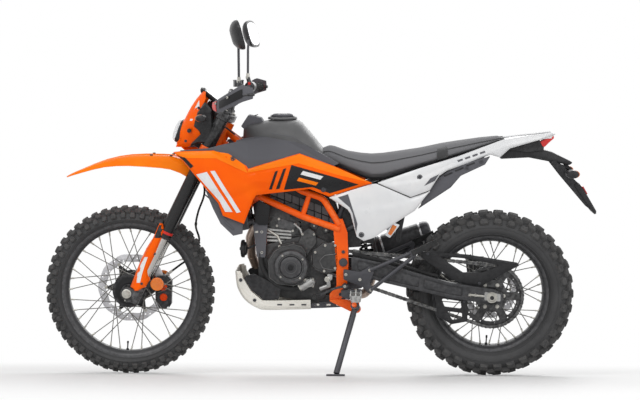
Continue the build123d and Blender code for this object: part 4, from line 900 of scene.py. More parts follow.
def chain_line():
    """The chain's middle line, as points spaced one pitch apart with their directions."""
    big, little = CHAIN_PITCH / 2 / sin(pi / SPROCKET_TEETH), 44.5
    apart = REAR_AXLE - FRONT_SPROCKET
    base = atan2(apart.z, apart.x)
    rise = acos((little - big) / apart.length)
    line = []
    for centre, radius, start, end in ((FRONT_SPROCKET, little, base + rise, base + 2 * pi - rise),
                                       (REAR_AXLE, big, base - rise, base + rise)):
        count = 60
        for i in range(count + 1):
            t = start + (end - start) * i / count
            line.append(Vector((centre.x + radius * cos(t), CHAIN_SIDE, centre.z + radius * sin(t))))
    lengths = [(line[(i + 1) % len(line)] - line[i]).length for i in range(len(line))]
    links = round(sum(lengths) / CHAIN_PITCH / 2) * 2
    step = sum(lengths) / links
    points, place, k = [], 0.0, 0
    for i in range(links):
        want = i * step
        while place + lengths[k] < want:
            place += lengths[k]
            k += 1
        share = (want - place) / lengths[k]
        points.append(line[k].lerp(line[(k + 1) % len(line)], share))
    return points


def chain_link(outside):
    link = Shape()
    plate = []
    for t in range(16):
        a = 2 * pi * t / 16
        x, z = cos(a), sin(a)
        centre = CHAIN_PITCH / 2 if x > 0 else -CHAIN_PITCH / 2
        radius = 7.0
        waist = 0.78 if abs(x) < 0.2 else 1.0
        plate.append((centre * (0.0 if abs(x) < 0.05 else 1.0) + radius * x, radius * z * waist))
    near = 7.6 if outside else 5.4
    for way in (-1, 1):
        link.slab(plate, way * near, way * (near + 1.9))
    for x in (-CHAIN_PITCH / 2, CHAIN_PITCH / 2):
        if outside:
            link.rod((x, -10.2, 0), (x, 10.2, 0), 2.7, 8)
        else:
            link.rod((x, -5.6, 0), (x, 5.6, 0), 5.0, 10)
    return link


def build_chain():
    points = chain_line()
    small = Shape()
    count = len(points)
    for outside in (False, True):
        start = 1 if outside else 0
        middles = [(points[i] + points[(i + 1) % count]) / 2 for i in range(start, count, 2)]
        ways = [(points[(i + 1) % count] - points[i]).normalized() for i in range(start, count, 2)]
        steel = "sprocket_steel" if outside else "chain_steel"
        small.join(copies(chain_link(outside), middles, ways, flat=True), finish=steel)
    piece("drive_chain", Shape(), ["chain_steel", "sprocket_steel"], "chassis", ["chain"], plain=small, weld=0.001)


def build_sprocket():
    cx, cz = REAR_AXLE.x, REAR_AXLE.z
    pitch = CHAIN_PITCH / 2 / sin(pi / SPROCKET_TEETH)
    teeth = []
    for i in range(SPROCKET_TEETH):
        for t, r in ((-0.3, -5.4), (0.0, -6.2), (0.3, -5.4), (0.44, 0.5), (0.5, 1.8), (0.56, 0.5)):
            a = 2 * pi * (i + t) / SPROCKET_TEETH
            teeth.append((cx + (pitch + r) * cos(a), cz + (pitch + r) * sin(a)))
    holes = [circle(cx, cz, 34, 30)]
    for i in range(6):
        a = 2 * pi * (i + 0.5) / 6
        span = 0.36
        arc = [(cx + 104 * cos(a + s), cz + 104 * sin(a + s)) for s in (-span, -span / 2, 0, span / 2, span)]
        arc += [(cx + 66 * cos(a + s), cz + 66 * sin(a + s)) for s in (span * 0.8, 0, -span * 0.8)]
        holes.append(flat_bent(arc, 7, 3))
    for i in range(12):
        a = 2 * pi * (i + 0.25) / 12
        holes.append(circle(cx + 111 * cos(a), cz + 111 * sin(a), 2.6, 8))
    plate = pierced([teeth] + holes, CHAIN_SIDE - 3.4, CHAIN_SIDE + 3.4, 0.8)
    head = Shape().join(hex_head(6.5, 6), Matrix.Translation(Vector((50, CHAIN_SIDE - 3.4, 0)))
                        @ Matrix.Rotation(pi / 2, 4, "X"))
    plate.join(around(head, 6, 0.0, REAR_AXLE), finish="zinc")
    carrier = Shape().lathe([(24, -80), (58, -82), (58, -74), (48, -66), (30, -56), (24, -56)], REAR_AXLE, ACROSS, 48)
    plate.join(carrier, finish="dark_alloy")
    piece("rear_sprocket_toothed", Shape(), ["sprocket_steel", "zinc", "dark_alloy"], "rear_wheel", ["rear_sprocket"],
          plain=plate, weld=0.001)


# ---------------------------------------------------------------------------------------------
# Curved panels
# ---------------------------------------------------------------------------------------------
def hull(points):
    """The convex outline round flat points."""
    points = sorted(set((round(x, 3), round(z, 3)) for x, z in points))

    def half(run):
        line = []
        for p in run:
            while len(line) > 1 and ((line[-1][0] - line[-2][0]) * (p[1] - line[-2][1])
                                     - (line[-1][1] - line[-2][1]) * (p[0] - line[-2][0])) <= 0:
                line.pop()
            line.append(p)
        return line[:-1]
    return half(points) + half(points[::-1])


def between(low, high, count):
    return [low + (high - low) * i / count for i in range(count + 1)]


def stations(marks, step):
    """Every mark, with even steps between them no longer than the step."""
    marks = sorted(marks)
    line = [marks[0]]
    for low, high in zip(marks, marks[1:]):
        count = max(1, round((high - low) / step))
        line += between(low, high, count)[1:]
    return line


class Side:
    """A body panel on the left: its edges in X and Z, how far out it lies, and how much it bulges."""

    def __init__(self, top, bottom, line, bulge=5.0, tuck=6.0, folds=()):
        self.top, self.bottom, self.line = top, bottom, line
        self.bulge, self.tuck, self.folds = bulge, tuck, folds

    def out(self, x, z):
        """Distance from the centre plane at a place on the panel."""
        high, low = table(self.top, x)[0], table(self.bottom, x)[0]
        share = min(1.0, max(0.0, (high - z) / max(high - low, 1.0)))
        out = table(self.line, x)[0] + self.bulge * (1 - (2 * share - 1) ** 2) - self.tuck * abs(2 * share - 1) ** 5
        for fold, rise, reach in self.folds:
            edge = table(fold, x)[0]
            out += rise * min(1.0, max(0.0, (z - edge) / reach + 0.5))
        return out

    def skin(self, step=10.0, down=24, finish=None):
        """The panel's outer face as strips of quads from its top edge down."""
        marks = [x for x, z in self.top + self.bottom]
        ends = [min(marks), max(marks)]
        rows = []
        for x in stations([x for x in marks if ends[0] < x < ends[1]] + ends, step):
            top, bottom = table(self.top, x)[0], table(self.bottom, x)[0]
            rows.append([Vector((x, -self.out(x, z), z)) for z in between(top, bottom, down)])
        return Shape().rings(rows, finish, round_=False, caps=False)

    def film(self, outline, finish, lift=1.5):
        """A thin film laid on the panel inside an outline in X and Z."""
        return film(outline, lambda x, z: -self.out(x, z), -lift, finish)


def film(outline, side_at, lift, finish, cuts=14):
    """A thin film inside an outline in X and Z, lifted off a surface that side_at gives."""
    work = bmesh.new()
    face = work.faces.new([work.verts.new((x, 0, z)) for x, z in outline])
    bmesh.ops.triangulate(work, faces=[face])
    bmesh.ops.subdivide_edges(work, edges=work.edges[:], cuts=cuts, use_grid_fill=True)
    bmesh.ops.triangulate(work, faces=work.faces[:])
    for vert in work.verts:
        vert.co.y = side_at(vert.co.x, vert.co.z) + lift
    for face in work.faces:
        face.normal_update()
    if sum(face.normal.y * face.calc_area() for face in work.faces) * lift < 0:
        bmesh.ops.reverse_faces(work, faces=work.faces[:])
    bmesh.ops.solidify(work, geom=work.faces[:], thickness=abs(lift) * 0.4)
    mesh = bpy.data.meshes.new("film")
    work.to_mesh(mesh)
    work.free()
    return Shape().mesh(mesh, None, finish)


def loft(rows, count):
    """A body through rows of (x, half width, low, high, squareness)."""
    return Shape().rings([[(x, y, (low + high) / 2 + z)
                           for y, z in squircle(half, (high - low) / 2, 2 / power, count)]
                          for x, half, low, high, power in rows])


def frame_at(origin, normal, up=(0, 0, 1)):
    """A turn and place whose Z is the normal."""
    normal = Vector(normal).normalized()
    across = Vector(up).cross(normal).normalized()
    over = normal.cross(across)
    turn = Matrix((across, over, normal)).transposed().to_4x4()
    return Matrix.Translation(Vector(origin)) @ turn


# ---------------------------------------------------------------------------------------------
# Bodywork
# ---------------------------------------------------------------------------------------------
SHROUD = Side(
    [(-538, 926), (-512, 929), (-470, 931), (-376, 934), (-317, 925), (-245, 875), (-238, 863), (-140, 892),
     (-35, 922), (104, 869), (252, 804)],
    [(-538, 923), (-494, 884), (-410, 784), (-358, 723), (-340, 674), (-256, 642), (-217, 740), (-206, 757),
     (4, 780), (82, 748), (252, 800)],
    [(-545, 139), (-470, 162), (-340, 184), (-210, 188), (-60, 172), (80, 148), (260, 134)],
    bulge=6, tuck=5, folds=(([(-540, 950), (-400, 945), (-350, 915), (-240, 846), (-38, 884), (110, 838)], -14, 16),
                            ([(-420, 770), (-300, 760), (-205, 800), (260, 800)], 8, 30)))
PANEL = Side(
    [(84, 746), (156, 769), (252, 799), (271, 800), (406, 742), (484, 770)],
    [(84, 742), (156, 697), (168, 679), (193, 587), (221, 570), (261, 583), (349, 644), (424, 691), (484, 768)],
    [(70, 147), (160, 149), (300, 145), (500, 133)], bulge=4, tuck=4,
    folds=(([(84, 700), (200, 700), (330, 712), (484, 756)], -5, 22),))
COWL = Side(
    [(277, 804), (445, 862), (600, 910), (778, 974), (880, 988), (976, 1000), (989, 994)],
    [(277, 800), (409, 746), (485, 774), (522, 831), (553, 852), (727, 914), (765, 902), (806, 938), (935, 973),
     (989, 992)],
    [(260, 137), (450, 139), (600, 127), (790, 89), (990, 51)], bulge=3, tuck=5,
    folds=(([(277, 790), (430, 812), (600, 886), (790, 955), (990, 985)], -5, 14),))
COVER = Side(
    [(-512, 932), (-470, 936), (-400, 942), (-331, 960), (-170, 986), (-20, 960), (40, 926), (104, 874)],
    [(-512, 924), (-470, 926), (-376, 928), (-317, 919), (-245, 869), (-238, 857), (-140, 886), (-35, 916),
     (104, 864)],
    [(-545, 131), (-470, 154), (-340, 175), (-210, 177), (-60, 161), (104, 134)], bulge=1, tuck=0,
    folds=(([(-512, 985), (-331, 985), (-245, 930), (-100, 940), (104, 890)], -32, 62),))
PANEL_WALL = 4.0


def panel_pieces(name, side, finishes, node, films, heads, more=None, extra=None):
    """Both sides of a panel as one piece, with its films, screws, further skin and small parts."""
    left = side.skin()
    if more:
        left.join(more)
    shape = left.mirrored()
    small = Shape()
    for outline, finish, *lift in films:
        small.join(side.film(outline, finish, *lift))
    for (x, z), finish in heads:
        small.join(screws([(x, -side.out(x, z) - 0.5, z)], (0, -1, 0), 7.5, 3.2, finish))
        small.join(Shape().lathe([(8, -1), (10.5, -1), (11, 1.2), (8.5, 1.4)], (x, -side.out(x, z), z), (0, -1, 0),
                                 20, finish, loop=True))
    if extra:
        small.join(extra)
    piece(name, shape, finishes, "chassis", [node], wall=PANEL_WALL, bevel=1.4, plain=small.mirrored(), angle=30,
          inner=(shape.points[0].x, 0, shape.points[0].z - 60))


def build_shrouds():
    # painted highlight films along the top edge, a dark wedge at the rear with bars ahead of it, pale slashes in front
    films = [
        ([(-534, 924), (-512, 927), (-470, 929), (-376, 932), (-317, 922), (-254, 878), (-240, 846), (-364, 904),
          (-498, 903)], "orange_stripe_and_painted_highlight"),
        ([(-238, 860), (-140, 889), (-35, 919), (104, 866), (246, 806), (110, 838), (-38, 884), (-240, 848)],
         "orange_stripe_and_painted_highlight"),
        ([(-66, 878), (96, 830), (200, 797), (86, 762), (16, 788), (-96, 778)], "black_film"),
        ([(-98, 862), (-86, 866), (-114, 782), (-128, 781)], "black_film"),
        ([(-130, 853), (-119, 856), (-144, 780), (-155, 780)], "black_film"),
        ([(-20, 854), (60, 831), (48, 818), (-30, 840)], "white_film", 2.4),
        ([(-36, 828), (40, 806), (30, 794), (-44, 815)], "orange_stripe_and_painted_highlight", 2.4),
        ([(-446, 838), (-402, 850), (-300, 690), (-330, 690), (-352, 732)], "white_film"),
        ([(-388, 853), (-370, 855), (-268, 690), (-284, 686)], "white_film"),
        ([(-520, 912), (-498, 894), (-468, 862), (-456, 872), (-490, 905)], "black_film")]
    heads = [((-300, 900), "black_steel"), ((60, 778), "black_steel")]
    ribs = Shape()
    duct = [(-411, 776), (-380, 700), (-350, 640), (-300, 592), (-264, 600), (-262, 640), (-336, 676), (-356, 722)]
    ribs.slab(duct, -166, -140, "dark_plastic")
    for i in range(4):
        x = -300 - 26 * i
        z = 628 + 36 * i
        ribs.block((x - 16, -168, z + 6), (46, 4, 5), "dark_plastic", Matrix.Rotation(radians(40), 3, "Y"))
    ribs.slab([(-286, 908), (-252, 880), (-240, 866), (-60, 916), (-38, 924), (104, 872), (120, 880), (40, 926),
               (-20, 956), (-170, 981), (-286, 962)], -132, -100, "dark_plastic")
    panel_pieces("tank_shrouds_faceted", SHROUD,
                 ["orange_panel", "orange_stripe_and_painted_highlight", "white_film", "black_film", "black_steel", "dark_plastic"],
                 "tank_shrouds", films, heads, COVER.skin(12, 12, "dark_plastic"), ribs)


def build_side_panels():
    films = [([(118, 746), (158, 758), (196, 640), (190, 606), (176, 684), (164, 706)], "dark_plastic")]
    panel_pieces("side_panels_white", PANEL, ["white_panel", "dark_plastic", "black_steel"], "side_panels", films,
                 [((212, 596), "black_steel")])


def build_cowl():
    rows = []
    for x, half, z in ((790, 80, 968), (830, 74, 975), (900, 62, 983), (960, 50, 990), (984, 44, 990)):
        rows.append([(x, half * s, z + 3 * (1 - s * s)) for s in (-1, -0.7, -0.35, 0, 0.35, 0.7, 1)])
    under = [[(x, y, z - 14) for x, y, z in row[::-1]] for row in rows]
    top = Shape().rings([row + low for row, low in zip(rows, under)])
    films = [([(x, z), (x + 20, z + 7), (x + 17, z + 13), (x - 3, z + 6)], "dark_plastic")
             for x, z in ((596, 887), (626, 897), (656, 907), (686, 917))]
    films.append(([(462, 792), (504, 812), (520, 838), (486, 822)], "dark_plastic"))
    panel_pieces("tail_cowl_white", COWL, ["white_panel", "dark_plastic", "orange_panel", "black_steel"],
                 "tail_cowl", films, [((444, 826), "black_steel")], extra=top)


def build_grab_covers():
    """Dark covers with slots between the side panel and the cowl."""
    outline = flat_bent([(470, 752), (440, 704), (500, 740), (566, 786), (608, 832), (704, 876), (722, 908),
                         (640, 884), (560, 852), (524, 826)], 8)
    shape = Shape().slab(outline, -116, -104)
    small = screws([(486, -117, 800), (632, -117, 862), (690, -117, 888)], (0, -1, 0), 7, 4, "black_steel")
    for i in range(3):
        x, z = 560 + 44 * i, 834 + 20 * i
        small.join(Shape().slab(flat_bent([(x - 18, z - 8), (x + 16, z + 6), (x + 14, z + 12), (x - 20, z - 2)], 2),
                                -117.2, -115, "black_plastic"))
    piece("grab_covers", shape.mirrored(), ["dark_plastic", "black_steel", "black_plastic"], "chassis", (), bevel=3,
          plain=small.mirrored())


CAP_MIDDLE = Vector((-110, 0, 0))
CAP_GRIPS = 28


def build_tank():
    rows = [(-272, 30, 905, 1024, 3.0), (-250, 62, 895, 1034, 2.8), (-224, 92, 882, 1036, 2.7),
            (-190, 112, 866, 1042, 2.6), (-150, 124, 848, 1050, 2.6), (-100, 129, 824, 1053, 2.6),
            (-52, 130, 806, 1052, 2.6), (-30, 129, 800, 1038, 2.6), (3, 126, 794, 998, 2.7), (50, 118, 790, 938, 2.8),
            (84, 106, 790, 894, 2.8), (108, 92, 800, 862, 2.6)]
    dome = loft(rows, 40)
    lip = Shape().lathe([(46, 1050), (58, 1050), (60, 1053), (58, 1058), (56, 1059.5), (46.5, 1059.5), (45.5, 1056)],
                        CAP_MIDDLE, (0, 0, 1), 64, loop=True)
    small = Shape().join(lip)
    spots = [(CAP_MIDDLE.x + 52 * cos(a), 52 * sin(a), 1059) for a in (pi * (i + 0.5) / 3 for i in range(6))]
    small.join(screws(spots, (0, 0, 1), 3.6, 2.4, "black_steel"))
    nose = Shape().slab(flat_bent([(-277, 1022), (-247, 1068), (-196, 1056), (-186, 1040), (-186, 1000), (-250, 1000)],
                                  6), -36, 36, "dark_plastic")
    small.join(nose)
    small.join(Shape().lathe([(12, 0), (14, 0), (14, 3), (10, 3.6), (9.5, 1), (0.1, 1)], (-222, 0, 1062),
                             (-0.35, 0, 1), 24, "black_steel"))
    trim_rows = []
    for x, low, high, out in ((-290, 905, 968, 143), (-260, 880, 976, 142), (-220, 872, 982, 137),
                              (-170, 880, 987, 130)):
        trim_rows.append([(x, -out + 10, low - 4), (x, -out, low), (x, -out + 4, (low + high) / 2),
                          (x, -out + 22, high), (x, -out + 40, high + 2), (x, -out + 40, low)])
    small.join(Shape().rings(trim_rows, "dark_plastic").mirrored())
    small.join(Shape().tube([(-150, -130, 1000), (-60, -134, 985), (30, -128, 930)], 1.0, 6,
                            "dark_plastic").mirrored())
    piece("fuel_tank_dome", dome, ["tank_plastic", "black_steel", "dark_plastic"], "chassis", ["fuel_tank"], smooth=1,
          plain=small, angle=40)


def build_cap():
    cap = Shape().lathe([(0.1, 1060.6), (41.5, 1060.6), (42.5, 1062), (42.5, 1066), (40, 1069.5), (33, 1071.6),
                         (31, 1070.2), (0.1, 1070.8)], CAP_MIDDLE, (0, 0, 1), 72)
    small = Shape().slab(flat_bent([(-128, 1070), (-128, 1071.4), (-92, 1071.4), (-92, 1070)], 0.4), -6, 6, "alloy")
    small.block((-152, 0, 1064), (12, 24, 5), "dark_plastic")
    small.rod((-155, -13, 1066.6), (-155, 13, 1066.6), 3.0, 14, "alloy")
    grip = Shape().block((41.5, 0, 1064.4), (2.4, 3.4, 5.0))
    for i in range(CAP_GRIPS):
        if abs(i - CAP_GRIPS / 2) > 1:  # the hinge is where three are left out
            small.join(grip, Matrix.Translation(CAP_MIDDLE) @ Matrix.Rotation(2 * pi * i / CAP_GRIPS, 4, "Z"))
    piece("fuel_cap_lid", cap, ["dark_plastic", "alloy"], "fuel_cap", ["fuel_cap"], plain=small)


MASK_ROWS = [  # height, front edge, rear edge, half width at the front, half width at the rear
    (938, -545, -492, 34, 54), (956, -538, -452, 48, 84), (985, -529, -430, 56, 104), (1012, -521, -442, 60, 111),
    (1040, -511, -458, 62, 113), (1068, -498, -451, 60, 110), (1100, -481, -432, 55, 101), (1134, -458, -416, 48, 88),
    (1164, -432, -418, 42, 66)]


MASK_TURN = 0.52  # the share at which the mask's face turns into its side


def mask_point(z, share):
    """A point of the headlight mask: share runs from -1 on the left edge through the nose to 1."""
    front, rear, near, wide = table(MASK_ROWS, z)
    side = abs(share)
    if side < MASK_TURN:
        s = side / MASK_TURN
        x, y = front + 5 * s * s, near * s
    else:
        s = (side - MASK_TURN) / (1 - MASK_TURN)
        x = front + 5 + (rear - front - 5) * s ** 1.15
        y = near + (wide - near) * s ** 0.8
    return Vector((x, y if share > 0 else -y, z))


LENS_MIDDLE, LENS_TURN = Vector((-530, 0, 1003)), Vector((-0.94, 0, 0.34))


def build_mask():
    zs = stations([row[0] for row in MASK_ROWS], 9)
    shell = Shape().rings([[mask_point(z, s) for s in between(-1, 1, 44)] for z in zs], round_=False, caps=False)

    def outside_opening(face):
        middle = (shell.points[face[0]] + shell.points[face[2]]) / 2
        return abs(middle.y / 58) ** 4 + abs((middle.z - 1000) / 47) ** 4 > 1
    shell.faces = list(filter(outside_opening, shell.faces))
    shell.finishes = [None] * len(shell.faces)
    small = Shape()
    # rounded surround of the opening
    rim = []
    for y, up in squircle(59, 48, 0.5, 56):
        z = 1000 + up
        s = MASK_TURN * y / table(MASK_ROWS, z)[2]
        rim.append(mask_point(z, s) + Vector((2, 0, 0)))
    small.tube(rim, 4.2, 8, "orange_panel", closed=True, up=(1, 0, 0))
    covers = Shape()
    outline = flat_bent([(-484, 942), (-446, 958), (-412, 956), (-384, 1022), (-388, 1090), (-414, 1126), (-446, 1082),
                         (-456, 1056), (-462, 1026), (-428, 996)], 8)
    covers.taper(outline, -104, -116, 0.9, "black_plastic")
    covers.taper(outline, -104, -92, 0.98, "black_plastic")
    for i in range(4):
        covers.block((-412 - 3 * i, -115, 990 + 24 * i), (34, 5, 4), "black_plastic",
                     Matrix.Rotation(radians(-12), 3, "Y"))
    small.join(covers.mirrored())
    small.join(screws([(-495, -92, 966), (-440, -104, 1100)], (-0.5, -1, 0), 5.5, 4, "black_steel").mirrored())
    # a plain pale band either side of the nose
    for side in (-1, 1):
        outline = [(1128, 0.74), (1104, 0.92), (1048, 0.90), (1048, 0.80), (1100, 0.76)]
        points = [mask_point(z, side * s) + Vector((-1.2, side * 0.9, 0)) for z, s in outline]
        inner = [p + Vector((0.9, -side * 0.7, 0)) for p in points]
        small.rings([points, inner], "white_film")
    piece("headlight_mask_shell", shell, ["orange_panel", "black_plastic", "black_steel", "white_film"],
          "steering_head", ["headlight_mask"], wall=3.5, bevel=1.0, plain=small, angle=34,
          inner=(-420, 0, 1040))


def build_headlight():
    """Reflector bowl, lamp and a domed clear cover, held in a dark housing."""
    place = frame_at(LENS_MIDDLE, LENS_TURN)
    rows = [(57, 46, 2), (59, 48, -2), (58, 47, -20), (50, 40, -52), (30, 26, -76)]
    housing = Shape().rings([[(x, y, d) for x, y in squircle(w, h, 0.55, 48)] for w, h, d in rows])
    body = Shape().join(housing, place)
    bowl = Shape()
    rows = [(55, 44, 1.5), (50, 40, -5), (40, 32, -13), (24, 20, -20), (12, 11, -23)]
    bowl.rings([[(x, y, d + 2.6) for x, y in squircle(w, h, 0.55, 48)] for w, h, d in rows], "reflector_silver",
               caps=False)
    bowl.lathe([(0.1, -21), (11, -21), (11, -8), (8, -4), (0.1, -3)], (0, 0, 0), (0, 0, 1), 24, "reflector_silver")
    for height in (-18, 0, 18):
        bowl.block((0, height, -6), (84 - abs(height) * 1.2, 1.6, 8), "reflector_silver")
    small = Shape().join(bowl, place)
    small.rod((-480, -104, 1008), (-480, 104, 1008), 8.5, 20, "black_plastic")
    small.rod(steer_point(-110, 0, 1020), steer_point(-56, 0, 1020), 11, 20, "black_plastic")
    piece("headlight_housing", body, ["black_plastic", "reflector_silver"], "steering_head", ["headlight"],
          plain=small)
    lens = Shape()
    rows = [(56, 45.5, 0), (56.5, 46, 4), (53, 43, 10), (44, 36, 15), (30, 25, 18.5), (14, 12, 20.2)]
    lens.rings([[(x, y, d) for x, y in squircle(w, h, 0.55, 48)] for w, h, d in rows])
    piece("headlight_lens", Shape().join(lens, place), ["clear_lens"], "steering_head", (), angle=60)


FENDER_ROWS = [  # x, centre height, half width, how far its sides drop, edge height of the middle channel
    (-992, 816, 12, 4, 0), (-970, 828, 30, 8, 2), (-930, 845, 44, 13, 4), (-880, 866, 54, 20, 5),
    (-830, 884, 61, 27, 6), (-780, 896, 66, 34, 7), (-730, 903, 70, 40, 7), (-668, 906, 73, 46, 6),
    (-600, 905, 74, 50, 5), (-560, 903, 74, 54, 4), (-520, 890, 72, 56, 3), (-486, 866, 68, 52, 2),
    (-460, 834, 63, 30, 1)]


def fender_point(x, share):
    """A point of the front fender: share runs from -1 on the left edge over the top to 1."""
    high, half, drop, channel = table(FENDER_ROWS, x)
    side = abs(share)
    if side < 0.34:
        y, z = half * 0.42 * side / 0.34, high - channel
    elif side < 0.42:
        s = (side - 0.34) / 0.08
        y, z = half * (0.42 + 0.1 * s), high - channel * (1 - s)
    elif side < 0.8:
        s = (side - 0.42) / 0.38
        y, z = half * (0.52 + 0.42 * s), high - drop * 0.28 * s * s
    else:
        s = (side - 0.8) / 0.2
        y, z = half * (0.94 + 0.06 * s), high - drop * (0.28 + 0.72 * s)
    return Vector((x, y if share > 0 else -y, z))


def build_fender():
    xs = stations([row[0] for row in FENDER_ROWS], 14)
    shares = [-1, -0.95, -0.9, -0.85, -0.8, -0.74, -0.66, -0.58, -0.5, -0.42, -0.38, -0.34, -0.2, 0]
    shares += [-s for s in shares[-2::-1]]
    shell = Shape().rings([[fender_point(x, s) for s in shares] for x in xs], round_=False, caps=False)
    # the middle channel is a deeper orange: painted shade in the groove
    channel = ["orange_deep_and_painted_shade" if abs(a + b) / 2 < 0.36 else None for a, b in zip(shares, shares[1:])]
    shell.finishes = channel * (len(xs) - 1)
    small = screws([fender_point(x, s) + Vector((0, 0, 0.5)) for x in (-640, -560) for s in (-0.52, 0.52)],
                   (0, 0, 1), 6, 4, "black_steel")
    for side in (-1, 1):
        small.rod(steer_point(-40, side * 45, 1002.5), steer_point(-40, side * 45, 925), 9.5, 16, "black_steel")
        # small ribs in the channel share its deeper orange of painted shade
        for k in range(5):
            foot = fender_point(-820 - 22 * k, side * 0.3)
            small.join(Shape().block(foot + Vector((0, 0, 0.8)), (10, 14, 1.2), "orange_deep_and_painted_shade"))
    # the shell's brighter orange is painted highlight for its upward face
    piece("front_fender_shell", shell, ["orange_stripe_and_painted_highlight", "orange_deep_and_painted_shade", "black_steel"], "steering_head",
          ["front_fender"], wall=3.6, bevel=1.2, plain=small, angle=30, inner=(-700, 0, 300))


# ---------------------------------------------------------------------------------------------
# Seat and tail
# ---------------------------------------------------------------------------------------------
SEAT_ROWS = [  # x, lowest, highest, half width of the cushion
    (-6, 902, 914, 30), (14, 896, 922, 46), (40, 888, 930, 62), (60, 882, 938, 72), (84, 876, 945, 79),
    (118, 866, 931, 86), (153, 852, 918, 92), (210, 828, 909, 98), (252, 812, 906, 103), (300, 816, 909, 109),
    (365, 838, 918, 117), (448, 866, 930, 121), (537, 892, 949, 120), (600, 912, 959, 113), (690, 942, 972, 92),
    (760, 966, 979, 66), (786, 973, 980, 44)]
PUFF_FRAMES, PUFF_LIMIT = 20, 4.0


def seat_ring(x, grow=0.0):
    """The cushion's outline across the seat at x: flat below, crowned on top, tucked in under its edge."""
    low, high, half = table(SEAT_ROWS, x)
    low, high, half = low - grow, high + grow, half + grow
    ring_points = []
    for c, s in ring(1, 40):
        y = half * signed_power(c, 0.72)
        crown = 1.0 if s < 0 else 1.0 - 0.10 * (y / half) ** 2
        middle, reach = (low * 0.62 + high * 0.38), 0.62 * (high - low) if s > 0 else 0.38 * (high - low)
        z = middle + reach * signed_power(s, 0.62 if s > 0 else 0.45) * crown
        taper = 1.0 if s > -0.2 else 0.94
        ring_points.append(Vector((x, y * taper, z)))
    return ring_points


def build_seat():
    """A stitched cover over foam, blown up a little by a cloth simulation so that it lies as a real one does."""
    xs = stations([row[0] for row in SEAT_ROWS], 16)
    cushion = Shape().rings([seat_ring(x) for x in xs])
    holder = bpy.data.objects.new("cushion", to_mesh(cushion))
    remesh = holder.modifiers.new("Even", "REMESH")
    remesh.mode, remesh.voxel_size, remesh.use_smooth_shade = "VOXEL", 6.0, True
    mesh = plain_mesh(holder)
    mesh = puffed(mesh)
    seams = Shape()
    for side in (-1, 1):
        line = []
        for x in stations([44, 786], 12):
            line.append(seat_ring(x, 0.6)[3 if side > 0 else 17])
        seams.tube(line, 1.5, 6, "seat_grip")
        stitches = [p + Vector((0, side * 0.9, -1.6)) for p in curve_through(line, 2)]
        for p, q in list(zip(stitches, stitches[1:]))[::2]:
            seams.tube([p, q], 0.55, 5, "thread")
    band_rows = [seat_ring(x, grow) for x, grow in ((513, 0.5), (516, 3.2), (552, 3.2), (555, 0.5))]
    seams.rings([[r[i] for i in range(-2, 23)] for r in band_rows], "seat_grip", round_=False, caps=False)
    seat = piece("seat_cushion", Shape(), ["seat_cover", "seat_grip", "thread"], "chassis", ["seat"],
                 plain=Shape().mesh(mesh).join(seams), weld=0.001, angle=60)
    rows = [[(x, -half * 0.93, low + 3), (x, -half * 0.9, low - 4), (x, half * 0.9, low - 4),
             (x, half * 0.93, low + 3)] for x, low, _, half in SEAT_ROWS if x > 50]
    piece("seat_base", Shape().rings(rows), ["black_plastic"], "chassis", (), bevel=1.5)


def puffed(mesh):
    """The cover under a little pressure from inside. No point moves further than PUFF_LIMIT."""
    mesh.transform(Matrix.Scale(MM, 4))
    holder = bpy.data.objects.new("cover", mesh)
    bpy.context.scene.collection.objects.link(holder)
    cloth = holder.modifiers.new("Cloth", "CLOTH")
    facts = cloth.settings
    facts.use_pressure, facts.uniform_pressure_force = True, 4.0
    facts.effector_weights.gravity = 0.0
    facts.quality, facts.mass = 6, 0.4
    facts.tension_stiffness = facts.compression_stiffness = facts.shear_stiffness = 40.0
    cloth.point_cache.frame_start, cloth.point_cache.frame_end = 1, PUFF_FRAMES
    before = [v.co.copy() for v in mesh.vertices]
    scene = bpy.context.scene
    for number in range(1, PUFF_FRAMES + 1):
        scene.frame_set(number)
    result = plain_mesh(holder)
    scene.frame_set(1)
    for vert, start in zip(result.vertices, before):
        move = vert.co - start
        if move.length > PUFF_LIMIT * MM:
            vert.co = start + move.normalized() * (PUFF_LIMIT * MM)
    result.transform(Matrix.Scale(1 / MM, 4))
    return result


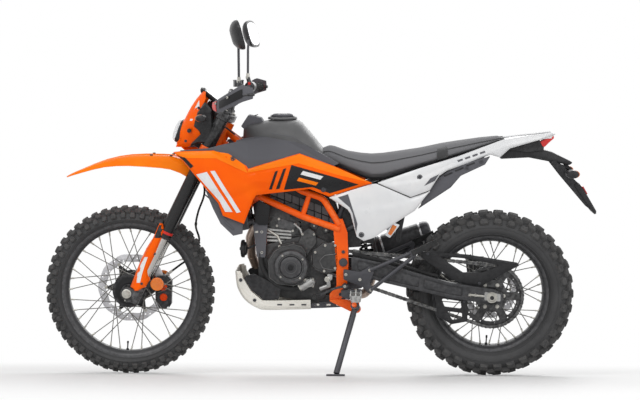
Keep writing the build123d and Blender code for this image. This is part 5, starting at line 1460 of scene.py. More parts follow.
def build_tail():
    light = Shape()
    light.slab(flat_bent([(930, 962), (958, 978), (985, 986), (984, 976), (966, 960), (947, 941), (938, 946)], 4), -46,
               46)
    piece("tail_lamp", light, ["red_lens"], "chassis", ["tail_light"], bevel=2.6, angle=40)
    holder = Shape()
    arm = [(770, 892), (772, 924), (806, 940), (880, 931), (923, 933), (978, 920), (1064, 878), (1050, 868),
           (974, 881), (885, 898)]
    holder.slab(flat_bent(arm, 6), -34, 34)
    holder.slab(flat_bent([(976, 886), (992, 886), (1084, 796), (1078, 786), (1056, 792)], 4), -44, 44)
    plate = [(1078, 800), (1088, 794), (1157, 676), (1148, 672), (1066, 790)]
    holder.slab(flat_bent(plate, 3), -70, 70)
    small = Shape()
    small.slab(flat_bent([(800, 930), (812, 946), (930, 968), (946, 950), (944, 928), (880, 920)], 4), -42, 42)
    for side in (-1, 1):
        small.slab(flat_bent([(968, 884), (1020, 872), (1046, 824), (1086, 796), (1104, 774), (1158, 682), (1150, 676),
                              (1126, 694), (1020, 818)], 4), *flank(side, 58, 62))
    normal = Vector((0.863, 0, 0.505))
    for y in (-52, 52):
        for share in (0.2, 0.82):
            at = Vector((1088, y, 794)).lerp(Vector((1157, y, 676)), share)
            small.join(screws([at - normal * 0.4], normal, 4.5, 1.4, "zinc"))
    small.rod((1052, -80, 842), (1052, 80, 842), 6.5, 14, "black_plastic")
    small.rod((1052, 0, 842), (1030, 0, 888), 8, 14, "black_plastic")
    for side in (-1, 1):
        profile = [(5, 80), (11, 84), (15, 92), (17, 96), (17, 126), (15, 132), (0.1, 133)]
        small.rings([[(1052 + 1.55 * r * c, side * along, 838 + r * s) for c, s in ring(1, 20)]
                     for r, along in profile])
        lens = [[(1052 + 1.55 * r * c, side * along, 838 + r * s) for c, s in ring(1, 20)]
                for r, along in ((16.2, 96), (16.8, 98), (16.8, 124), (16.2, 126))]
        small.join(Shape().rings(lens), Matrix.Translation(Vector((3.5, 0, 0))), "amber_lens")
    reflector = Shape().slab(flat_bent([(1095, 776), (1100, 779), (1118, 748), (1113, 745)], 1.5), -26, 26)
    small.join(reflector, Matrix.Translation(Vector((7, 0, 3))), "red_lens")
    small.block((1044, 0, 858), (34, 46, 12), "black_plastic", Matrix.Rotation(radians(36), 3, "Y"))
    piece("plate_bracket", holder, ["black_plastic", "zinc", "amber_lens", "red_lens"], "chassis", ["plate_holder"],
          bevel=2.0, plain=small)


# ---------------------------------------------------------------------------------------------
# Fork, handlebar and what they carry
# ---------------------------------------------------------------------------------------------
AXLE_ALONG = 360.8


def build_fork():
    tubes, small = Shape(), Shape()
    for side in (-1, 1):
        foot = steer_point(-CLAMP_OFFSET, side * LEG_HALF, 0)
        tubes.lathe([(22, 630), (26, 630), (27.5, 632), (27.5, 640), (26.5, 643), (26.5, 1000), (26.5, 1202),
                     (25, 1205.5), (14, 1205.5), (13, 1203), (0.1, 1203)], foot, STEER_AXIS, 48)
        small.lathe([(26.6, 650), (28.2, 650.4), (28.4, 652), (28.4, 659), (28.2, 660.6), (26.6, 661)], foot,
                    STEER_AXIS, 48, "red_trim", loop=True)
        small.lathe([(21.5, 372), (21.5, 636), (0.1, 636)], foot, STEER_AXIS, 40, "fork_silver")
        small.lathe([(24.4, 629), (24.4, 631), (21.6, 628.4)], foot, STEER_AXIS, 40, "rubber", loop=True)
        small.lathe([(0.1, 336), (22, 336), (25.4, 340), (25.4, 432), (23.6, 436), (21.6, 437)], foot, STEER_AXIS, 40,
                    "fork_black")
        small.lathe([(9, 1203), (9, 1206.5), (7.5, 1208), (0.1, 1208)], foot, STEER_AXIS, 6, "zinc")
        low = steer_point(-CLAMP_OFFSET, 0, AXLE_ALONG + 10)
        lug = hull(circle(FRONT_AXLE.x, FRONT_AXLE.z, 25, 28) + circle(low.x, low.z, 22, 24))
        tubes.slab(lug, *flank(side, LEG_HALF - 23, LEG_HALF + 23))
        pinch = [(FRONT_AXLE.x - 4, FRONT_AXLE.z - 36), (FRONT_AXLE.x + 12, FRONT_AXLE.z - 36),
                 (FRONT_AXLE.x + 14, FRONT_AXLE.z - 18), (FRONT_AXLE.x - 6, FRONT_AXLE.z - 18)]
        tubes.slab(pinch, *flank(side, LEG_HALF - 18, LEG_HALF + 18))
        heads = [(FRONT_AXLE.x - 6, side * (LEG_HALF + d), FRONT_AXLE.z - 28) for d in (-9, 9)]
        small.join(screws(heads, (-1, 0, 0), 5, 4, "zinc"))
        small.lathe([(r, side * d) for r, d in ((13, 118), (19, 118), (19, 121), (16, 122.5), (13, 122.5))],
                    FRONT_AXLE, ACROSS, 24, "zinc", loop=True)
    piece("fork", tubes, ["fork_black", "fork_silver", "rubber", "red_trim", "zinc"], "steering_head",
          ["fork_legs"], bevel=1.5, plain=small)


def build_front_axle():
    cx, cz = FRONT_AXLE.x, FRONT_AXLE.z
    shape = Shape().lathe([(6, -128), (9, -128), (10, -127), (10, 127), (9, 128), (6, 128), (6, 104), (0.1, 104),
                           (0.1, -104), (6, -104)], FRONT_AXLE, ACROSS, 36, loop=True)
    for low, high in ((-74, -62), (62, 74)):
        shape.lathe([(10, low), (15, low), (15, high), (10, high)], FRONT_AXLE, ACROSS, 32, "alloy", loop=True)
    nut = Shape().rings([[(cx + 14 * cos(pi * i / 3), y, cz + 14 * sin(pi * i / 3)) for i in range(6)]
                         for y in (-121, -127)])
    piece("front_axle_bored", shape, ["zinc", "alloy"], "steering_head", ["front_axle"], plain=nut, weld=0.001)


GUARD_ROWS = [  # height, front edge, rear edge
    (363, -708, -684), (375, -724, -658), (400, -714, -642), (444, -697, -645), (494, -676, -620), (533, -657, -604),
    (575, -630, -588), (600, -618, -581), (618, -611, -580), (636, -602, -592)]


def guard_surface(z, t, grow=0.0):
    """A point of the left fork guard: t runs from 0 at its front edge to 1 at its rear."""
    front, rear = table(GUARD_ROWS, z)
    swell = 1 - abs(2 * t - 1) ** 2.8
    return Vector((front + (rear - front) * t, -(102 + (30 + grow) * swell), z))


def build_fork_guards():
    zs = stations([row[0] for row in GUARD_ROWS], 8)
    shell = Shape().rings([[guard_surface(z, t) for t in between(0, 1, 14)] for z in zs], round_=False, caps=False)
    small = Shape()

    def patch(rows, finish):
        lines, back = ([[guard_surface(z, start + (end - start) * i / 6, lift) for i in range(7)]
                        for z, start, end in rows] for lift in (1.0, 0.2))
        small.rings([line + under[::-1] for line, under in zip(lines, back)], finish)
    patch([(630, 0.25, 0.8), (612, 0.16, 0.84), (584, 0.14, 0.84), (578, 0.18, 0.8)], "black_plastic")
    patch([(500, 0.22, 0.46), (470, 0.16, 0.5), (430, 0.18, 0.52), (396, 0.3, 0.5)], "white_film")
    for z, t in ((612, 0.5), (392, 0.62), (512, 0.82)):
        small.join(screws([guard_surface(z, t, -1)], (0, -1, 0), 5.5, 3.5, "black_steel"))
    small.slab(flat_bent([(-664, 402), (-612, 402), (-600, 388), (-612, 372), (-660, 378)], 6), -110, -105,
               "black_plastic")
    small.lathe([(0.1, -2), (26, -2), (27, 0), (27, 3), (25, 5), (0.1, 5.6)], (-614, -108, 387), (0, -1, 0), 36,
                "amber_lens")
    piece("fork_guards_curved", shell.mirrored(),
          ["orange_panel", "black_plastic", "white_film", "black_steel", "amber_lens"], "steering_head",
          ["fork_guards"], wall=3.2, bevel=1.0, plain=small.mirrored(), inner=(-637, 0, 556))


def build_front_caliper():
    body = Shape()
    outline = flat_bent([(-640, 395), (-600, 403), (-580, 380), (-575, 302), (-592, 263), (-624, 262), (-640, 300)],
                        12)
    body.slab(outline, 37.5, 47)
    body.slab(outline, 63, 74.5)
    bridge = flat_bent([(-596, 398), (-581, 380), (-576, 302), (-588, 268), (-584, 266), (-574, 282), (-571, 380),
                        (-590, 402)], 3)
    body.slab(bridge, 40, 72)
    small = Shape()
    for z in (310, 352):
        small.lathe([(0.1, 33.5), (13, 33.5), (15, 35), (16, 38)], (-606, 0, z), ACROSS, 30, "orange_deep_and_painted_shade")
        small.lathe([(16, 74), (15, 76), (12, 77), (0.1, 77)], (-606, 0, z), ACROSS, 30, "dark_alloy")
    bracket = flat_bent([(-700, 374), (-620, 380), (-602, 384), (-602, 302), (-640, 330), (-690, 292)], 8)
    body.slab(bracket, 76, 86)
    small.join(screws([(-616, 86, 370), (-612, 86, 314)], (0, 1, 0), 6, 5, "zinc"))
    small.rod((-590, 58, 398), (-592, 66, 408), 5.5, 12, "zinc")
    piece("front_caliper_body", body, ["black_alloy", "dark_alloy", "zinc", "orange_deep_and_painted_shade"], "steering_head",
          ["front_caliper"], bevel=2.2, plain=small)


HOSE_ROUTE = [
    (-290, 247, 1158), (-290, 246, 1128), (-352, 204, 1076), (-398, 152, 1026), (-434, 139, 955), (-450, 136, 880),
    (-444, 128, 805), (-442, 112, 730), (-466, 102, 660), (-476, 96, 600), (-462, 90, 540), (-492, 82, 478),
    (-544, 74, 438), (-590, 66, 404)]


def build_brake_hose():
    line = curve_through(HOSE_ROUTE, 8)
    hose = Shape().tube(line, 4.2, 12)
    small = Shape()
    for at, along in ((line[0], line[2] - line[0]), (line[-1], line[-3] - line[-1])):
        small.lathe([(0.1, 0), (5.6, 0), (5.6, 14), (4.8, 20), (4.3, 22)], at, along, 12, "zinc")
    for k in (30, 52, 70):
        small.rod(line[k], line[k] + (line[k + 1] - line[k]).normalized() * 12, 5.6, 12, "rubber")
    piece("front_brake_hose", hose, ["rubber", "zinc"], "steering_head", ["brake_hose"], plain=small, angle=60)


BAR_ROUTE = [(-226, -398, 1168), (-262, -230, 1172), (-316, -120, 1118), (-316, 120, 1118), (-262, 230, 1172),
             (-226, 398, 1168)]


def bar_end(distance):
    """A point of the bar's straight left end, by its distance from the centre plane."""
    share = (distance - 230) / 168
    return Vector((-262 + share * 36, -distance, 1172 - share * 4))


def build_handlebar():
    bar = Shape().tube(bent(BAR_ROUTE, 60, 8), 11, 24)
    small = Shape()
    for side in (-1, 1):
        for y in (20, 42):
            small.join(screws([(-326, side * y * 0.74, 1130), (-304, side * y * 0.74, 1133)], (0, 0, 1), 4.0, 3,
                              "zinc"))
    piece("handlebar_tube", bar, ["black_steel", "zinc"], "steering_head", ["handlebar"], plain=small, angle=50)


def build_controls():
    left, small = Shape(), Shape()
    start, end = bar_end(392), bar_end(267)
    along = (end - start).normalized()
    profile = [(11.2, -1), (19, -1), (20.5, 1), (20.5, 4), (17, 6)]
    for k in range(16):
        a = 10 + k * 6.6
        profile += [(16.8, a), (15.6, a + 1.2), (15.6, a + 3.2), (16.8, a + 4.6)]
    profile += [(17, 118), (21, 120), (21, 125), (11.2, 125)]
    small.lathe(profile, start, along, 32, "rubber", loop=True)
    small.lathe([(0.1, -18), (12, -18), (14.5, -16), (15, -6), (12, -1)], start, along, 28, "black_steel")
    box = frame_at(bar_end(252), bar_end(236) - bar_end(268), (0, 0, 1))
    left.join(Shape().rings([[(22 * c, 22 * s, d) for c, s in ring(1, 20)] for d in (-16, -14, 14, 16)]), box)
    small.join(Shape().block((0, 14, 18), (10, 12, 8), "red_trim"), box)
    small.join(Shape().block((14, -14, -6), (12, 10, 12), "red_trim"), box)
    lever = bent([(-298, -244, 1168), (-301, -300, 1168), (-294, -350, 1167), (-286, -392, 1166)], 30, 5)
    sizes = [1.25 - 0.4 * i / (len(lever) - 1) for i in range(len(lever))]
    left.sweep(lever, [(6.5 * c, 4.6 * s) for c, s in ring(1, 14)], up=(1, 0, 0), sizes=sizes)
    small.lathe([(0.1, -6), (6, -5), (7, 0), (6, 5), (0.1, 6)], (-286, -395, 1166), (0, 1, 0), 16, "black_alloy")
    small.rod(bar_end(262), (-298, -244, 1168), 10, 16, "black_alloy")
    small.rod((-298, -244, 1158), (-298, -244, 1179), 8.5, 16, "black_alloy")
    small.join(screws([(-298, -244, 1178.5)], (0, 0, 1), 4.5, 3, "zinc"))
    small.rod(bar_end(251), (-268, -250, 1212), 9, 16, "black_alloy")
    small.rod((-268, -250, 1206), (-268, -250, 1216), 9.5, 6, "zinc")
    plain = small.mirrored()
    plain.block((-306, 226, 1186), (38, 34, 26), "black_alloy", Matrix.Rotation(radians(14), 3, "Z"))
    plain.block((-306, 226, 1200), (40, 36, 3.5), "black_steel", Matrix.Rotation(radians(14), 3, "Z"))
    piece("controls", left.mirrored(), ["black_alloy", "rubber", "black_steel", "red_trim", "zinc"], "steering_head",
          ["bar_controls"], bevel=1.0, plain=plain)
    cables = Shape()
    cables.tube(curve_through([(-300, -236, 1160), (-334, -196, 1110), (-372, -120, 1080), (-360, -60, 1040),
                               (-300, -50, 990)], 8), 3.4, 10)
    cables.tube(curve_through([(-290, -228, 1166), (-330, -170, 1120), (-356, -90, 1096), (-350, -40, 1050)], 8),
                3.0, 10)
    cables.tube(curve_through([(-284, 232, 1164), (-330, 180, 1112), (-366, 96, 1092), (-352, 40, 1046)], 8), 3.0, 10)
    piece("control_cables", cables, ["rubber"], "steering_head", (), angle=60)


def build_hand_guards():
    line = curve_through([(-200, -428, 0), (-232, -434, 0), (-298, -406, 0), (-348, -348, 0), (-368, -272, 0),
                          (-350, -217, 0)], 6)
    middle = Vector((-240, -300, 0))
    rows = []
    for p in line:
        low = table([(-380, 1100), (-345, 1090), (-240, 1138), (-192, 1152)], p.x)[0]
        high = table([(-380, 1128), (-340, 1148), (-245, 1204), (-192, 1190)], p.x)[0]
        out = (Vector((p.x, p.y, 0)) - middle).normalized()
        rows.append([Vector((p.x, p.y, low + (high - low) * t)) + out * (5 * (1 - (2 * t - 1) ** 2) - 4)
                     for t in between(0, 1, 8)])
    shell = Shape().rings(rows, round_=False, caps=False)
    small = Shape()

    def inset(first, last, low, high, finish):
        strip = []
        for row in rows[first:last]:
            face = [row[i] for i in range(low, high + 1)]
            out = (Vector((row[0].x, row[0].y, 0)) - middle).normalized()
            strip.append([p + out * 2.4 for p in face] + [p + out * 0.8 for p in face[::-1]])
        small.rings(strip, finish)
    inset(7, 17, 2, 6, "black_film")
    inset(18, 26, 1, 7, "red_trim")
    small.rod(bar_end(411), bar_end(428), 11.5, 20, "red_trim")
    small.rod(bar_end(404), bar_end(429), 6, 14, "zinc")
    small.rod((-356, -222, 1118), (-288, -198, 1146), 7, 14, "black_alloy")
    clamp = frame_at((-286, -196, 1142), (0.38, -0.62, 0.68))
    small.join(Shape().lathe([(11.4, -9), (16, -9), (16, 9), (11.4, 9)], (0, 0, 0), (0, 0, 1), 24, "black_alloy",
                             loop=True), clamp)
    small.tube(curve_through([(-196, -424, 1166), (-228, -431, 1164), (-292, -402, 1146), (-340, -345, 1126),
                              (-362, -272, 1116), (-352, -220, 1116)], 6), 6.0, 12, "black_alloy")
    small.join(screws([(-350, -350, 1128), (-300, -412, 1154)], (-0.8, -0.6, 0), 5, 4, "zinc"))
    piece("hand_guards_curved", shell.mirrored(), ["dark_plastic", "black_alloy", "red_trim", "zinc", "black_film"],
          "steering_head", ["hand_guards"], wall=3.4, bevel=1.0, plain=small.mirrored(), inner=(-240, 0, 1150))


def build_mirrors():
    shell, small = Shape(), Shape()
    stalk = bent([(-268, -250, 1214), (-268, -262, 1330), (-266, -300, 1386), (-270, -330, 1390)], 30, 6)
    small.tube(stalk, 5, 14, "black_steel")
    small.rod((-268, -250, 1212), (-268, -252, 1228), 7.5, 6, "zinc")
    place = frame_at((-272, -366, 1388), (0.95, 0.17, 0.26), (0, 0, 1))
    shell.join(Shape().rings([[(y, z, depth) for y, z in squircle(width, height, 0.62, 48)]
                              for width, height, depth in ((16, 12, -16), (38, 30, -14), (60, 44, -6), (76, 54, 4),
                                                           (82, 58, 13), (83, 58, 20), (79, 54, 21))]), place)
    glass = Shape().join(Shape().rings([[(y, z, depth) for y, z in squircle(width, height, 0.62, 48)]
                                        for width, height, depth in ((73, 48, 20.6), (72.5, 47.5, 21.6))]), place)
    small.join(Shape().lathe([(9, -4), (12, 0), (12, 8), (8, 10)], stalk[-1], (0, -1, 0), 20, "black_plastic"))
    small.join(glass, finish="mirror_glass")
    piece("mirrors_rounded", shell.mirrored(), ["black_plastic", "black_steel", "zinc", "mirror_glass"],
          "steering_head", ["mirrors"], plain=small.mirrored(), angle=50)


def build_dash():
    place = frame_at((-386, 0, 1140), (0.62, 0, 0.78), (1, 0, 0))

    def case(s):
        return flat_bent([(-35 * s, -64 * s), (35 * s, -64 * s), (35 * s, 64 * s), (-35 * s, 64 * s)], 10)
    shell = Shape().join(Shape().rings([[(x * 0.98, y, d) for x, y in case(s)] for s, d in (
        (0.86, -19), (0.97, -12), (1.0, -2), (0.96, -0.4))]), place)
    small = Shape()
    small.join(Shape().rings([[(x, y, d) for x, y in flat_bent([(-24, -40), (24, -40), (24, 40), (-24, 40)], 6)]
                              for d in (-1, 0.4)]), place, "screen")
    for k in (-1, 0, 1):
        for side in (52, -52):
            small.join(Shape().lathe([(4.6, -1), (4.6, 1.2), (3.8, 1.8), (0.1, 2)], (14 * k, side, 0), (0, 0, 1), 16),
                       place, "rubber")
    small.rod((-396, 0, 1126), steer_point(-54.3, 0, 1180), 8, 16, "black_plastic")
    piece("dash_screen", shell, ["black_plastic", "screen", "rubber"], "steering_head", ["dash"], bevel=1.0,
          plain=small)
    lamps, rest = Shape(), Shape()
    for side in (-1, 1):
        rows = []
        for r, along in ((6, 146), (13, 150), (15.5, 160), (15.5, 190), (13, 202), (7, 206)):
            rows.append([(-424 + 1.42 * r * c, side * along, 1062 + 0.95 * r * s) for c, s in ring(1, 24)])
        lamps.rings(rows)
        lens = [[(-426.5 + 1.42 * r * c, side * along, 1062 + 0.95 * r * s) for c, s in ring(1, 24)]
                for r, along in ((14.6, 162), (15.6, 164), (15.6, 188), (14.4, 190))]
        rest.rings(lens, "amber_lens")
    rest.rod((-424, -147, 1063), (-424, 147, 1063), 6.2, 14, "rubber")
    rest.rod((-424, 0, 1063), (-446, 0, 992), 5, 12, "rubber")
    piece("front_indicators", lamps, ["black_plastic", "amber_lens", "rubber"], "steering_head", ["front_blinkers"],
          plain=rest, angle=40)


# ---------------------------------------------------------------------------------------------
# Engine and its surroundings
# ---------------------------------------------------------------------------------------------
CASE_OUTLINE = [(-176, 545), (-206, 490), (-204, 420), (-150, 338), (-60, 321), (40, 322), (62, 332), (84, 372),
                (84, 552), (40, 573), (0, 578), (-30, 581)]


COVER_EASE = 0.96


def bosses(shape, places, side, near, far, radius):
    """Round pads for screws along a cover's edge."""
    for x, z in places:
        shape.rod((x, side * near, z), (x, side * far, z), radius)


def build_engine():
    body = Shape()
    body.slab(flat_bent(CASE_OUTLINE, 14), -79.5, 79.5)
    body.slab(flat_bent([(-172, 556), (-24, 572), (-42, 640), (-168, 640)], 8), -64, 64)
    body.slab(flat_bent([(-174, 632), (-30, 640), (-36, 662), (-174, 656)], 5), -67.5, 67.5)
    body.slab(flat_bent([(-172, 656), (-40, 664), (-44, 700), (-66, 715), (-166, 702)], 8), -67.5, 67.5)
    small = Shape()
    for k in range(6):
        z = 566 + 11 * k
        small.slab(flat_bent([(-172, z), (-28, z + 3), (-29, z + 7), (-172, z + 4)], 1.5), -67, 67)
    # left side of the head: cam cover, plug well and camshaft caps
    small.taper(flat_bent([(-128, 658), (-46, 632), (-60, 596), (-136, 618)], 10), -64, -72, 0.9, "cover_dark")
    small.taper(flat_bent([(-135, 676), (-86, 668), (-34, 632), (-42, 596), (-84, 566), (-168, 622)], 8), -60, -68,
                0.97, "cast_dark")
    small.join(screws([(-122, -71, 650), (-54, -71, 628), (-66, -71, 602), (-130, -71, 622)], (0, -1, 0), 5, 4,
                      "zinc"))
    small.taper(flat_bent([(-25, 600), (-2, 618), (26, 602), (32, 556), (-2, 510), (-25, 480), (-53, 532)], 12), -78,
                -92, 0.94, "cast_dark")
    small.join(screws([(-26, -91, 590), (20, -91, 590), (-40, -91, 530)], (0, -1, 0), 5, 4, "zinc"))
    for k in range(5):
        small.slab([(-158 + 22 * k, 690), (-150 + 22 * k, 690), (-150 + 22 * k, 714 - 2 * k), (-158 + 22 * k, 712)],
                   -58, 58, "cast_dark")
    small.lathe([(30, 0), (30, 40), (26, 46), (24, 60)], (-22, 0, 660), (0.9, 0, 0.35), 28, "rubber")
    small.lathe([(33, 44), (33, 52)], (-22, 0, 660), (0.9, 0, 0.35), 28, "zinc")
    small.lathe([(26, 0), (26, 6), (21, 8), (20, 26)], (-166, 20, 648), (-0.93, 0, -0.36), 24, "header_steel")
    small.join(screws([(-184, -6, 630), (-184, 46, 630)], (-1, 0, -0.2), 6, 5, "zinc", hexagon=True))
    # bright cylinder side, dark throttle parts behind the head, and the lower gaps
    for k in range(4):
        small.slab([(-170, 612 - 15 * k), (-72, 602 - 13 * k), (-72, 595 - 13 * k), (-170, 604 - 15 * k)], -73, -62,
                   "cast_light")
    small.tube([(-168, -74, 606), (-128, -80, 582), (-112, -80, 548)], 5, 12, "zinc")
    small.tube([(-60, -74, 632), (-34, -82, 608), (-22, -82, 570)], 4.5, 12, "cast_light")
    small.slab(flat_bent([(-36, 668), (34, 652), (120, 624), (128, 566), (60, 545), (-30, 575)], 10), -56, 56,
               "cast_dark")
    for x, z, r in ((20, 622, 17), (68, 604, 14), (104, 590, 10)):
        small.lathe([(r, 54), (r, 66), (r - 3, 69), (0.1, 70)], (x, 0, z), (0, -1, 0), 24, "cover_dark")
        small.join(screws([(x, -70, z)], (0, -1, 0), 4.5, 3, "zinc"))
    small.slab([(-24, 340), (120, 340), (120, 309), (-24, 303)], -66, 66, "cast_dark")
    small.slab(flat_bent([(66, 446), (126, 446), (126, 336), (92, 336), (66, 362)], 8), -58, 58, "cast_dark")
    small.rod((-188, -81.5, 514), (-188, 81.5, 514), 11.5, 20, "cast_dark")
    small.rod((50, 0, 376), (118, 0, 376), 12, 12, "cast_dark")
    small.lathe([(26, 0), (26, 3), (22, 4), (22, 20)], (-160, 79, 600), (0, 1, 0), 24, "cast_dark")
    small.lathe([(0.1, -10), (8, -10), (9, 0), (9, 8), (0.1, 10)], (-30, 0, 321), (0, 0, -1), 6, "zinc")
    small.lathe([(0.1, 0), (14, 0), (13, 2)], (58, -93, 486), (0, -1, 0), 24, "cover_dark")
    piece("engine_block", body, ["cast_dark", "cover_dark", "zinc", "rubber", "header_steel", "cast_light"],
          "chassis", ["engine"], bevel=3.0, plain=small)


STATOR_OUTLINE = [(-146, 530), (-172, 486), (-168, 410), (-132, 382), (-63, 374), (-20, 384), (-7, 440), (-7, 528),
                  (-24, 552), (-62, 562), (-112, 552)]
STATOR_MIDDLE = (-71, 0, 462)
CLUTCH_OUTLINE = [(-166, 520), (-182, 470), (-150, 385), (-70, 345), (20, 350), (76, 420), (76, 520), (0, 560),
                  (-110, 560)]


def build_engine_covers():
    body, small = Shape(), Shape()
    body.taper(flat_bent(STATOR_OUTLINE, 14), -80, -98, COVER_EASE)
    upper = [(x * 0.96 - 3, (z - 464) * 0.95 + 464) for x, z in STATOR_OUTLINE]
    body.taper(flat_bent(upper, 14), -98, -114, COVER_EASE)
    spots = [(-62, 552), (-119, 542), (-153, 482), (-150, 424), (-124, 392), (-63, 384), (-18, 404), (-14, 460),
             (-16, 516)]
    bosses(body, spots, -1, 84, 101, 8.5)
    small.join(screws([(x, -100.5, z) for x, z in spots], (0, -1, 0), 5.2, 4.5, "zinc"))
    small.lathe([(71, -112), (70, -126), (66, -134), (62, -137), (52, -138), (50, -136), (49, -134), (45, -134),
                 (44, -137), (42, -141), (34, -144), (20, -145.5), (0.1, -146)], STATOR_MIDDLE, ACROSS, 72,
                "cover_dark")
    for k in range(12):
        a = 2 * pi * k / 12
        x, z = STATOR_MIDDLE[0] + 60 * cos(a), STATOR_MIDDLE[2] + 60 * sin(a)
        small.block((x, -134.5, z), (9, 5, 2.2), "cover_dark", Matrix.Rotation(-a, 3, "Y"))
    small.join(screws([(-71 + 57 * cos(a), -137, 462 + 57 * sin(a)) for a in (0.6, 2.2, 3.9, 5.4)], (0, -1, 0), 4.2,
                      3, "zinc"))
    # thin pale rings on the stator cover: painted highlights
    for r, near, far in ((23, 145.2, 147), (48, 137, 139.6)):
        small.lathe([(r, near), (r + 1.8, near), (r + 1.8, far), (r, far)], STATOR_MIDDLE, (0, -1, 0), 64, "edge_painted_highlight",
                    loop=True)
    small.lathe([(14, 145), (14, 148), (10, 149), (9, 147), (0.1, 147)], STATOR_MIDDLE, (0, -1, 0), 32,
                "black_plastic")
    # a thin pale line inside the cover's edge: painted highlight
    edge = [(x, -115, z) for x, z in flat_bent([(x * 0.9 - 7, (z - 464) * 0.88 + 464) for x, z in STATOR_OUTLINE], 14)]
    small.tube(edge, 1.3, 6, "edge_painted_highlight", closed=True)
    # sprocket cover and shift shaft
    body.taper(flat_bent([(12, 524), (56, 561), (116, 561), (121, 500), (120, 443), (62, 430), (14, 462)], 12), -102,
               -114, 0.95)
    small.join(screws([(26, -113, 520), (66, -113, 548), (106, -113, 548), (106, -113, 456), (62, -113, 444)],
                      (0, -1, 0), 5.4, 4.5, "zinc"))
    # a thin pale line along the cover's edge: painted highlight
    small.tube(bent([(110, -114.5, 514), (66, -114.5, 508), (42, -114.5, 486), (56, -114.5, 456),
                     (110, -114.5, 446)], 14, 5), 1.8, 8, "edge_painted_highlight")
    # bright pump with its hose
    small.taper(flat_bent([(-18, 412), (22, 414), (26, 396), (22, 378), (-17, 372), (-24, 392)], 8), -80, -104, 0.9,
                "cast_light")
    small.lathe([(17, -102), (16, -110), (0.1, -112)], (2, 0, 394), ACROSS, 28, "cast_light")
    small.rod((-32, -96, 374), (14, -98, 402), 17, 24, "cast_light")
    small.rod((-32, -96, 374), (-38, -96, 370), 13, 20, "zinc")
    small.slab(flat_bent([(76, 432), (96, 428), (94, 410), (86, 404), (88, 380), (74, 376), (72, 404)], 4), -112,
               -104, "cast_light")
    small.rod((44, -92, 368), (84, -96, 384), 9, 16, "cast_light")
    small.join(screws([(-14, -104, 408), (17, -104, 409), (17, -104, 380), (-13, -104, 378)], (0, -1, 0), 4.4, 4,
                      "zinc"))
    small.lathe([(9, 0), (9, 26), (11, 27), (11, 32), (9, 33), (9, 44)], (74, -84, 410), (0, -1, 0), 20, "zinc")
    small.tube(curve_through([(-24, -92, 392), (-52, -100, 372), (-92, -104, 372), (-146, -100, 398),
                              (-186, -92, 452), (-204, -90, 540), (-214, -90, 616)], 8), 10, 14, "rubber")
    for x, z, d in ((-40, 380, (-0.9, 0, -0.3)), (-211, 600, (-0.1, 0, 1))):
        small.lathe([(11.4, -4), (12, -4), (12, 4), (11.4, 4)], (x, -96 if x > -100 else -90, z), d, 24, "zinc",
                    loop=True)
    # clutch side
    body.taper(flat_bent(CLUTCH_OUTLINE, 16), 80, 102, COVER_EASE)
    upper = [(x * 0.95 - 3, (z - 455) * 0.94 + 455) for x, z in CLUTCH_OUTLINE]
    body.taper(flat_bent(upper, 16), 102, 121, COVER_EASE)
    small.lathe([(76, 118), (75, 130), (71, 137), (60, 140), (56, 139), (54, 137), (50, 137), (48, 140), (30, 141.5),
                 (0.1, 142)], (-20, 0, 440), ACROSS, 72, "cover_dark")
    spots = [(-154, 500), (-166, 462), (-140, 402), (-72, 360), (12, 362), (62, 424), (64, 508), (2, 546), (-104, 546)]
    bosses(body, spots, 1, 84, 108, 8.5)
    small.join(screws([(x, 107.5, z) for x, z in spots], (0, 1, 0), 5.2, 4.5, "zinc"))
    small.join(screws([(-20 + 65 * cos(a), 139.5, 440 + 65 * sin(a)) for a in between(0.5, 5.7, 5)], (0, 1, 0), 4.6,
                      3.5, "zinc"))
    small.lathe([(0.1, 120), (17, 120), (17, 125), (13, 128), (0.1, 128)], (-128, 0, 520), ACROSS, 8, "rubber")
    piece("engine_side_covers", body, ["cast_dark", "cover_dark", "zinc", "black_plastic", "rubber", "cast_light",
                                       "edge_painted_highlight"], "chassis", ["engine_covers"], bevel=2.4, plain=small)


